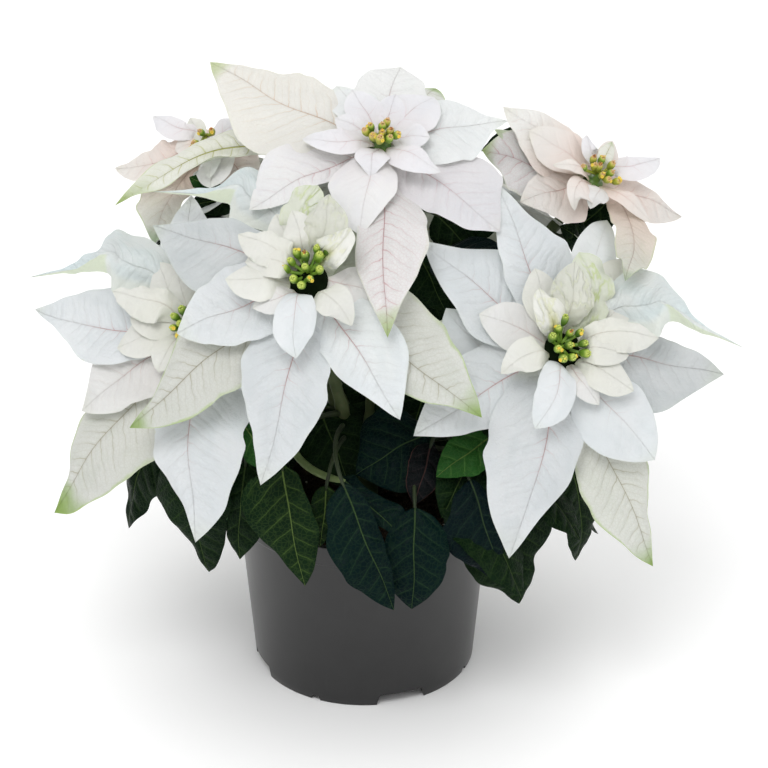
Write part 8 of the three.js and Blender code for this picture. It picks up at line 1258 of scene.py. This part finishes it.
def cutter(kind, deg, width_deg, h):
    bm = bmesh.new()
    if kind == "slot":
        w = 2 * POT_R_BASE * math.sin(math.radians(width_deg / 2)) * MM
        bmesh.ops.create_cube(bm, size=1.0)
        for vv in bm.verts:
            z = vv.co.z
            top = z > 0
            vv.co.x = (POT_R_BASE * MM) + vv.co.x * 0.016
            vv.co.y = vv.co.y * (w - (0.0022 if top else -0.002))
            vv.co.z = h * MM if top else -0.002
        edges = [e for e in bm.edges if e.verts[0].co.z > 0 and e.verts[1].co.z > 0 and abs(e.verts[0].co.y - e.verts[1].co.y) < 1e-6]
        bmesh.ops.bevel(bm, geom=edges, offset=0.0011 if h > 5 else 0.0005, segments=3, affect="EDGES", profile=0.5)
        bmesh.ops.rotate(bm, verts=bm.verts, cent=(0, 0, 0), matrix=Matrix.Rotation(math.radians(deg), 3, "Z"))
    else:
        bmesh.ops.create_cone(bm, cap_ends=True, segments=32, radius1=0.005, radius2=0.005, depth=0.012)
        a = math.radians(deg)
        bmesh.ops.translate(bm, verts=bm.verts, vec=(0.054 * math.cos(a), 0.054 * math.sin(a), 0.009))
    me = bpy.data.meshes.new("cut")
    bm.to_mesh(me)
    bm.free()
    return me


def subtract(ob, meshes):
    bm = bmesh.new()
    for me in meshes:
        bm.from_mesh(me)
    me = bpy.data.meshes.new("cutters")
    bm.to_mesh(me)
    bm.free()
    co = bpy.data.objects.new("cutters", me)
    bpy.context.scene.collection.objects.link(co)
    md = ob.modifiers.new("cut", "BOOLEAN")
    md.operation = "DIFFERENCE"
    md.solver = "EXACT"
    md.object = co
    dg = bpy.context.evaluated_depsgraph_get()
    new = bpy.data.meshes.new_from_object(ob.evaluated_get(dg))
    ob.modifiers.clear()
    ob.data = new
    bpy.data.objects.remove(co)


cuts = [cutter("slot", a, 25, 7.4) for a in (-70.5, 19.5, 109.5, 199.5)] + [cutter("slot", a, 5, 3.0) for a in (-25.5, 64.5, 154.5, 244.5)]
cuts += [cutter("drain", i * 45 + 19.5, 0, 0) for i in range(8)]
subtract(pot, cuts)
for p in pot.data.polygons:
    p.use_smooth = True
bm = bmesh.new()
bm.from_mesh(pot.data)
for e in bm.edges:
    if len(e.link_faces) == 2 and e.calc_face_angle(0) > math.radians(34):
        e.smooth = False
bm.to_mesh(pot.data)
bm.free()
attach(pot, "root")
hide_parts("pot")

# ------------------------------------------------------------------ compost


def compost_piece():
    rnd = random.Random(11)
    rw = lambda z: pot_wall(z) - t - 0.5
    zf = POT_FLOOR_Z + 2.5
    bag = Bag()
    sides, rings = 150, []
    prof_low = [(0.0, 2.6), (POT_SEAT_R - 2.4, 2.6), (POT_SEAT_R + 0.4, zf), (rw(zf) - 3.2, zf), (rw(zf + 2) - 0.4, zf + 2.6), (rw(40), 40), (rw(70), 70), (rw(95), 95), (rw(103), 103.5)]
    top = []
    for i in range(40):
        r = (rw(103) - 1.2) * (1 - i / 40) ** 0.9
        top.append((r, 107.2 + 3.6 * (1 - r / 76) ** 1.2))
    prof_all = prof_low[1:] + top
    verts = []
    for j, (r, z) in enumerate(prof_all):
        for k in range(sides):
            a = 2 * math.pi * k / sides
            x, y = r * math.cos(a), r * math.sin(a)
            dz = 0
            if j >= len(prof_low) - 1:
                s = x * 0.31, y * 0.31
                dz = 0.7 * math.sin(s[0] * 2.1 + 1.3 * math.sin(s[1] * 1.7)) * math.cos(s[1] * 2.3 + math.sin(s[0] * 1.9)) + rnd.uniform(-0.55, 0.55)
            verts.append((x, y, z + dz))
    b, tt = len(verts), len(verts) + 1
    verts += [(0, 0, 2.6), (0, 0, 111.0)]
    faces = []
    m = len(prof_all)
    for i in range(m - 1):
        for k in range(sides):
            a, c = i * sides + k, i * sides + (k + 1) % sides
            faces.append([a, c, c + sides, a + sides])
    for k in range(sides):
        faces.append([(k + 1) % sides, k, b])
        faces.append([(m - 1) * sides + k, (m - 1) * sides + (k + 1) % sides, tt])
    bag.add(verts, faces, 0)
    # lumps, bark chips and pale grit on the surface
    for i in range(260):
        a, r = rnd.uniform(0, 6.283), 72 * math.sqrt(rnd.uniform(0.02, 1))
        s = rnd.uniform(0.8, 2.1)
        px, py, pz = r * math.cos(a), r * math.sin(a), 107.3 + 3.6 * (1 - r / 76) ** 1.2
        q = [rnd.uniform(0.5, 1.2) for _ in range(3)]
        vs = []
        for la in range(5):
            th_ = math.pi * la / 4
            for lo in range(6):
                ph = 2 * math.pi * lo / 6
                k = 1 + rnd.uniform(-0.22, 0.22)
                vs.append((px + s * q[0] * k * math.sin(th_) * math.cos(ph), py + s * q[1] * k * math.sin(th_) * math.sin(ph), pz + s * q[2] * 0.7 * k * math.cos(th_)))
        v2 = [vs[0]] + vs[6:24] + [vs[24]]
        fs = []
        for lo in range(6):
            nx = (lo + 1) % 6
            fs.append([0, 1 + lo, 1 + nx])
            for la in range(2):
                fs.append([1 + la * 6 + lo, 7 + la * 6 + lo, 7 + la * 6 + nx, 1 + la * 6 + nx])
            fs.append([13 + lo, 19, 13 + nx])
        bag.add(v2, fs, 1 if i % 9 == 0 else 0)
    return bag.piece("compost_bed", [COMPOST, make_dot("grit", (0.42, 0.40, 0.36), (0.55, 0.53, 0.48), 0.8)])


cp = compost_piece()
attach(cp, "root")
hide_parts("compost")

# ------------------------------------------------------------------ stems


def stem_piece():
    bag = Bag()
    zs = np.linspace(60, 146, 16)
    r = np.interp(zs, [60, 100, 118, 146], [9.0, 8.6, 7.6, 6.2]) + 0.5 * np.sin(zs * 0.5)
    pts = np.stack([1.2 * np.sin(zs * 0.07), 1.0 * np.cos(zs * 0.06) - 1.0, zs], 1)
    bag.add(*sweep(pts, r, 16))
    for h, p0, p1, p2, p3 in STEMS:
        rnd = seed_of("stem" + h)
        P = [vec(p0) - [0, 0, 6], p1, p2, p3]
        u = np.linspace(0, 1, 34)
        pts = cubic(P, u)
        rad = np.interp(u, [0, 0.15, 0.6, 0.92, 1], [5.4, 4.3, 3.5, 3.3, 5.2])
        for k in (0.22, 0.38, 0.53, 0.68, 0.82):
            kk = k + rnd.uniform(-0.03, 0.03)
            rad = rad + 1.0 * np.exp(-(((u - kk) / 0.016) ** 2))
        ph = rnd.uniform(0, 6)
        side = unit(np.cross(pts[20] - pts[10], [0, 0, 1.0]))
        pts = pts + side[None, :] * (1.1 * np.sin(u * 15 + ph) * np.sin(np.pi * u))[:, None]
        bag.add(*sweep(pts, rad, 14))
        # the stem tip that carries the bracts
        c, n = HEAD[h]
        tip = [c - n * d for d in (25.5, 22, 18, 14, 10.5)]
        bag.add(*sweep(tip, [4.2, 5.2, 5.9, 6.4, 6.2], 16))
    ob = bag.piece("stem_system", [STEM])
    md = ob.modifiers.new("fuse", "REMESH")
    md.mode = "VOXEL"
    md.voxel_size = 0.00135
    dg = bpy.context.evaluated_depsgraph_get()
    me = bpy.data.meshes.new_from_object(ob.evaluated_get(dg))
    ob.modifiers.clear()
    ob.data = me
    me.materials.clear()
    me.materials.append(STEM)
    bm = bmesh.new()
    bm.from_mesh(me)
    for _ in range(2):
        bmesh.ops.smooth_vert(bm, verts=bm.verts, factor=0.5, use_axis_x=True, use_axis_y=True, use_axis_z=True)
    bm.to_mesh(me)
    bm.free()
    me.polygons.foreach_set("use_smooth", [True] * len(me.polygons))
    return ob


st = stem_piece()
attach(st, "root")
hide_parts("stems")

# ------------------------------------------------------------------ bracts

# painted light and shade: bracts given lighter or darker copies of their tone for the light or shade they stand in
LIGHT_GAIN = {"E12": 0.94, "E15": 0.94, "D3": 0.96, "D1": 1.06, "F8": 0.92, "D20": 0.93, "D17": 0.95, "A7": 0.94, "A2": 1.04,
        "A4": 1.04, "A11": 1.07, "B1": 1.07, "B7": 0.93, "B10": 0.97, "D16": 0.95, "E5": 1.03, "C6": 1.05, "C33": 1.05, "E20": 1.05}
for row in BRACTS:
    name, layer, B, T, N, arch, bend, tipc, ruf, tone, rib, L, R = row
    opt = dict(SPECIAL.get(name, {}))
    h = name[0]
    big = layer in ("o", "o2")
    rnd = seed_of("b" + name)
    hc, hn = HEAD[h]
    B = vec(B)
    if not big:      # the small bracts stand in a ring round the hollow that holds the cups
        hub = hollow(h)
        wide = h in "EDFGH"
        if "path" in opt and np.linalg.norm(vec(opt["path"][0]) - hub) < (13.0 if wide else 9.0):
            opt["path"] = opt["path"][1:]
        to = vec(opt["path"][0]) if "path" in opt else B
        rd = unit((to - hub) - ((to - hub) @ hn) * hn)
        B = hub + rd * (8.4 if wide else 4.6) - hn * ((10.2 if layer == "m" else 9.2) if wide else (7.6 if layer == "m" else 6.8))
    kw = dict(nu=48 if big else 30, nv=24 if big else 18, thick=0.5 if big else 0.42,
              fold=rnd.uniform(0.06, 0.14) if big else rnd.uniform(0.06, 0.16),
              camber=rnd.uniform(0.06, 0.15) if big else rnd.uniform(0.10, 0.22),
              quilt=0.58 if big else 0.12, rib_down=0.9 if big else 0.40, w0=2.4 if big else 1.2,
              waves=rnd.uniform(2.2, 3.4) if big else rnd.uniform(1.4, 2.2), edge_wave=0.022 if big else 0.008,
              twist=rnd.uniform(-9, 9), dents=1.25 if big else 0.9, groove=0.42 if big else 0.16)
    if tone in ("green", "greenpink", "greeno", "pinkvein"):
        kw["quilt"] = 0.75
    tone = opt.pop("tone", tone)
    if tone == "swan":
        tone = "swan_r"
    if not big:      # narrow claws at the base, full shoulders
        L, R = ([w * k for w, k in zip(side, (0.50, 0.78, 0.98, 1.04, 1.05, 1.03, 1.0))] for side in (L, R))
    L, R = opt.pop("L", L), opt.pop("R", R)
    arch, ruf = opt.pop("arch", arch), opt.pop("ruf", ruf)
    kw.update(opt)
    vs, fs, mi, uvs, rim = blade("bract_" + name, B, T, N, L, R, arch, bend, tipc, ruf, **kw)
    under = UNDER_GREEN if tone in ("green", "greenpink", "greeno") else UNDER_PALE
    ob = make_piece("bract_" + name, np.array(vs) * MM, fs, [toned(tone, not big, LIGHT_GAIN.get(name, 1.0)), under], mi, uvs, True, rim)
    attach(ob, "root")
    node = ("outer_bracts_" if big else "inner_bracts_") + h
    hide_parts(node)

# ------------------------------------------------------------------ flower cups
# cups round each head's centre: offset right and up in the head's own plane (mm), kind
CUPS = {
    "E": [(-2.4, 16.6, "y"), (2.6, 12.2, "g"), (-1.8, 7.6, "g"), (5.4, 5.0, "b"), (10.4, 3.8, "y"), (11.0, -2.4, "g"), (10.6, -7.6, "g"), (-4.8, -3.6, "Y"), (2.6, -9.4, "g"), (-3.0, -9.2, "y"), (2.0, -2.0, "g"), (-7.0, 3.0, "g")],
    "D": [(4.2, 12.6, "g"), (9.8, 12.6, "y"), (6.2, 7.4, "g"), (-6.2, 8.8, "y"), (-1.6, 7.4, "b"), (-8.6, 3.6, "g"), (-11.4, -0.8, "y"), (3.0, -5.0, "Y"), (-0.8, -9.4, "g"), (-6.0, -6.4, "g"), (8.0, 0.4, "g"), (0.0, 1.0, "g")],
    "A": [(-6.8, 3.6, "y"), (-0.4, 3.6, "g"), (4.4, 1.4, "b"), (-5.2, -3.0, "y"), (0.0, -0.6, "o"), (8.2, -2.2, "y"), (3.8, -5.4, "g"), (-1.6, -6.0, "g"), (-9.0, 0.0, "g"), (2.2, 7.2, "g")],
}
CUPS["B"] = [(-11.0, 5.6, "g"), (-3.6, 4.8, "g"), (-0.6, 8.8, "b"), (4.4, 6.6, "y"), (-0.8, 2.4, "b"), (-2.0, -2.4, "y"), (4.0, -2.8, "g"), (-0.8, -6.6, "g"), (4.6, -9.4, "Y"), (8.4, 1.0, "g")]
CUPS["F"] = [(-6.1, 0.1, "g"), (-4.1, -6.6, "y"), (-1.0, -3.1, "g"), (-1.6, 3.9, "g"), (6.0, -7.2, "g"), (4.7, -0.4, "y"), (5.9, 4.1, "g"), (10.7, -4.0, "b"), (0.9, -9.7, "Y")]
CUPS["C"] = [(3.6, -2.4, "g"), (10.8, 0.6, "b"), (6.6, -10.4, "g"), (12.2, -9.6, "y"), (9.0, -14.6, "y")]
CUP_SHIFT = {"A": (1.2, -3.4), "B": (-2.8, -1.6)}
CUPS["G"] = [(-x, y * 0.85, k) for x, y, k in CUPS["E"]]
CUPS["H"] = [(x * 0.9, -y * 0.8, k) for x, y, k in CUPS["D"]]


def cups_piece(h):
    c, n = HEAD[h]
    e1 = unit(np.cross([0, 0, 1.0], n))
    e2 = np.cross(n, e1)
    rnd = seed_of("cups" + h)
    bag = Bag()
    mats = [CUP, CUP_DEEP, YELLOW, ORANGE, BROWN, LIME, HOLLOW_SHADE] if h in "EDFGH" else [CUP_OLIVE, CUP, YELLOW, ORANGE, BROWN, CUP_ROSE, CUP_DEEP]
    # the hollow floor between the whorls and the short column that the cups stand on, painted near-black (dark cup
    # green on A, B and C) as the shade deep in the head
    wide = h in "EDFGH"
    R = 11.6 if wide else 5.6
    v_, f_, uv_ = turned([(0, -9.8, 0), (R * 0.8, -9.6, 0), (R, -8.7, 0.1), (R, -8.1, 0.2), (R * 0.78, -7.5, 0.2), (R * 0.45, -6.6, 0.3), (min(3.6, R * 0.4), -4.0, 0.3), (min(2.8, R * 0.3), -1.6, 0.3), (0, -0.8, 0.3)], hollow(h), n, 28)
    bag.add(v_, f_, 6, uv_)
    for (x, y, kind) in CUPS[h]:
        x, y = x * 0.92 + CUP_SHIFT.get(h, (0, 0))[0], y * 0.92 + CUP_SHIFT.get(h, (0, 0))[1]
        rr = math.hypot(x, y)
        out = (e1 * x + e2 * y) / max(rr, 1e-6)
        ax = unit(n + out * min(rr / 14, 1.0) * rnd.uniform(0.45, 0.70) + e1 * rnd.uniform(-0.12, 0.12) + e2 * rnd.uniform(-0.12, 0.12))
        sc = rnd.uniform(0.86, 1.12) * (0.92 if h in "BC" else 1.0)
        base = c + e1 * x * 0.22 + e2 * y * 0.22 - n * 3.0
        foot = c + (e1 * x + e2 * y) + n * (0.2 + rnd.uniform(-0.8, 1.0))
        bag.add(*sweep([base, base * 0.6 + foot * 0.4 - n * 0.3, base * 0.25 + foot * 0.75, foot + ax * 0.8], [1.3, 1.0, 1.0, 1.35], 9), mat=0)
        deep = 1 if rnd.random() < 0.35 else 0
        rib = lambda an, u: 0.05 * math.cos(5 * an) * u
        pr = [(0, -0.3, 0.0), (1.1, 0.0, 0.05), (1.9, 1.0, 0.15), (2.4, 2.6, 0.35), (2.55, 4.2, 0.55), (2.35, 5.6, 0.75), (1.75, 6.7, 0.9), (1.25, 7.0, 1.0), (0.9, 6.5, 1.0), (0, 6.3, 1.0)]
        v_, f_, uv_ = turned([(r * sc, hh * sc, u) for r, hh, u in pr], foot, ax, 14, rib)
        bag.add(v_, f_, deep, uv_)
        top = foot + ax * 6.8 * sc
        a1 = unit(np.cross(ax, [0.2, 0.5, 0.8]))
        a2 = np.cross(ax, a1)
        # the lip of small lobes, and what stands in it
        for k in range(5):
            an = 2 * math.pi * k / 5 + 0.3
            d = a1 * math.cos(an) + a2 * math.sin(an)
            v_, f_, uv_ = turned([(0, 0, 0), (0.5, 0.15, 0), (0.55, 0.6, 0), (0.3, 1.0, 0), (0, 1.15, 0)], top + d * 1.15 * sc - ax * 0.5, unit(ax + d * 0.25), 7)
            bag.add(v_, f_, 5, uv_)
        cnt, mi = {"g": (3, [5, 5]), "y": (4, [2, 5]), "Y": (6, [2, 2]), "b": (5, [4, 3]), "o": (5, [3, 2])}[kind]
        for k in range(cnt):
            an = 2 * math.pi * k / cnt + rnd.uniform(-0.3, 0.3)
            d = a1 * math.cos(an) + a2 * math.sin(an)
            rad = rnd.uniform(0.3, 0.9)
            r0 = rnd.uniform(0.42, 0.62)
            lift = rnd.uniform(0.3, 1.3)
            v_, f_, uv_ = turned([(0, -r0, 0), (r0 * 0.75, -r0 * 0.6, 0), (r0, 0, 0), (r0 * 0.75, r0 * 0.6, 0), (0, r0, 0)], top + d * rad + ax * lift, ax, 7)
            bag.add(v_, f_, mi[k % 2], uv_)
        # the nectar gland: a fleshy yellow lip low on one side
        if kind in "yY" or rnd.random() < 0.25:
            an = rnd.uniform(0, 6.28)
            d = unit(a1 * math.cos(an) + a2 * math.sin(an) + out * 0.7)
            g0 = foot + ax * 5.4 * sc + d * 2.1 * sc
            v_, f_, uv_ = turned([(0, -0.5, 0), (0.9, -0.35, 0), (1.25, 0.15, 0), (1.05, 0.6, 0), (0.6, 0.55, 0), (0.35, 0.2, 0), (0, 0.1, 0)], g0, unit(d + ax * 0.5), 12)
            bag.add(v_, f_, 2, uv_)
    ob = bag.piece("cups_" + h, mats)
    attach(ob, "root")
    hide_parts("flower_cups_" + h)


for h, _, _ in HEADS:
    cups_piece(h)

# ------------------------------------------------------------------ leaves


def leaf_piece(name, S, B, T, N, arch, fold, tone, L, R, node=None, stalk=1.0, shoot=False, lift=0.12, root=None, via=None, **opt):
    S, B, T, N = vec(S), vec(B), vec(T), unit(vec(N))
    rnd = seed_of("leaf" + name)
    kw = dict(nu=46, nv=24, thick=0.55, fold=fold, camber=rnd.uniform(0.08, 0.20), quilt=0.80, rib_down=1.2, w0=2.0,
              waves=rnd.uniform(2.0, 3.4), edge_wave=0.02, twist=rnd.uniform(-12, 12), tipc=rnd.uniform(-0.04, 0.01), ruf=rnd.uniform(0.0, 0.008),
              lobes=rnd.uniform(0.01, 0.045))
    kw.update(opt)
    vs, fs, mi, uvs, rim = blade("leaf_" + name, B, T, N, L, R, arch, 0.0, **kw)
    S = S if root is None else vec(root)
    d = unit(T - B)
    dist = np.linalg.norm(B - S)
    C = B - d * 0.4 * dist + N * lift * dist if via is None else vec(via)
    if node is None:
        # a short stalk that has to turn back arches over instead of hooking
        k = min(max((float(unit(B - S) @ d) + 0.05) / 0.6, 0.0), 1.0)
        C = C * k + ((S + B) / 2 + N * 0.20 * dist) * (1 - k)
    u = np.linspace(0, 1, 18)[:, None]
    E = B + d * 3.0 + N * (0.06 * 3.0)
    pts = S * (1 - u) ** 2 + C * 2 * u * (1 - u) + E * u * u
    rad = np.interp(np.linspace(0, 1, 18), [0, 0.08, 0.3, 0.9, 1], [2.3, 1.7, 1.35, 1.15, 0.7]) * stalk
    pv_, pf_ = sweep(pts, rad, 10)
    o = len(vs)
    allv = list(vs) + list(pv_)
    allf = fs + [[k + o for k in f_] for f_ in pf_]
    mi = list(mi) + [2] * len(pf_)
    extra = sum(len(f_) for f_ in pf_)
    # corners for a strip of the bake map beside the blade's two islands, for the stalk; this list is not put on the
    # mesh
    uvp = []
    for f_ in pf_:
        for k in f_:
            i, j = divmod(k, 10)
            uvp.append((0.0025 + 0.007 * (j / 10 if k < 180 else 0.5), min(i / 18, 1.0) * 0.98 + 0.01))
    uvs2 = {"UVn": np.vstack([uvs["UVn"], np.zeros((extra, 2))]), "UVm": np.vstack([uvs["UVm"], np.zeros((extra, 2))])}
    ob = make_piece("leaf_blade_" + name, np.array(allv) * MM, allf, [LEAF[tone], LEAF_UNDER, SHOOT if shoot else PETIOLE], mi, uvs2, True, rim)
    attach(ob, "root")
    if node:
        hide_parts(node)
    return ob


LEAF_OPT = {"L16": dict(stalk=1.9, shoot=True, root=(-47.5, -3.2, 175.6), via=(-50.9, -41.4, 152.5)), "L07": dict(lift=-0.22), "L08": dict(lift=-0.16), "L06": dict(lift=-0.02)}
for name, S_, B, T, N, arch, fold, tone, L, R in LEAVES:
    leaf_piece(name[1:], S_, B, T, N, arch, fold, tone, L, R, node="leaf_" + name[1:], **LEAF_OPT.get(name, {}))

# small leaves deep inside the plant, on the branches
for name, S_, B, T, N, arch, fold, tone, L, R in INNER:
    leaf_piece(name, S_, B, T, N, arch, fold, tone, L, R, nu=32, nv=16)
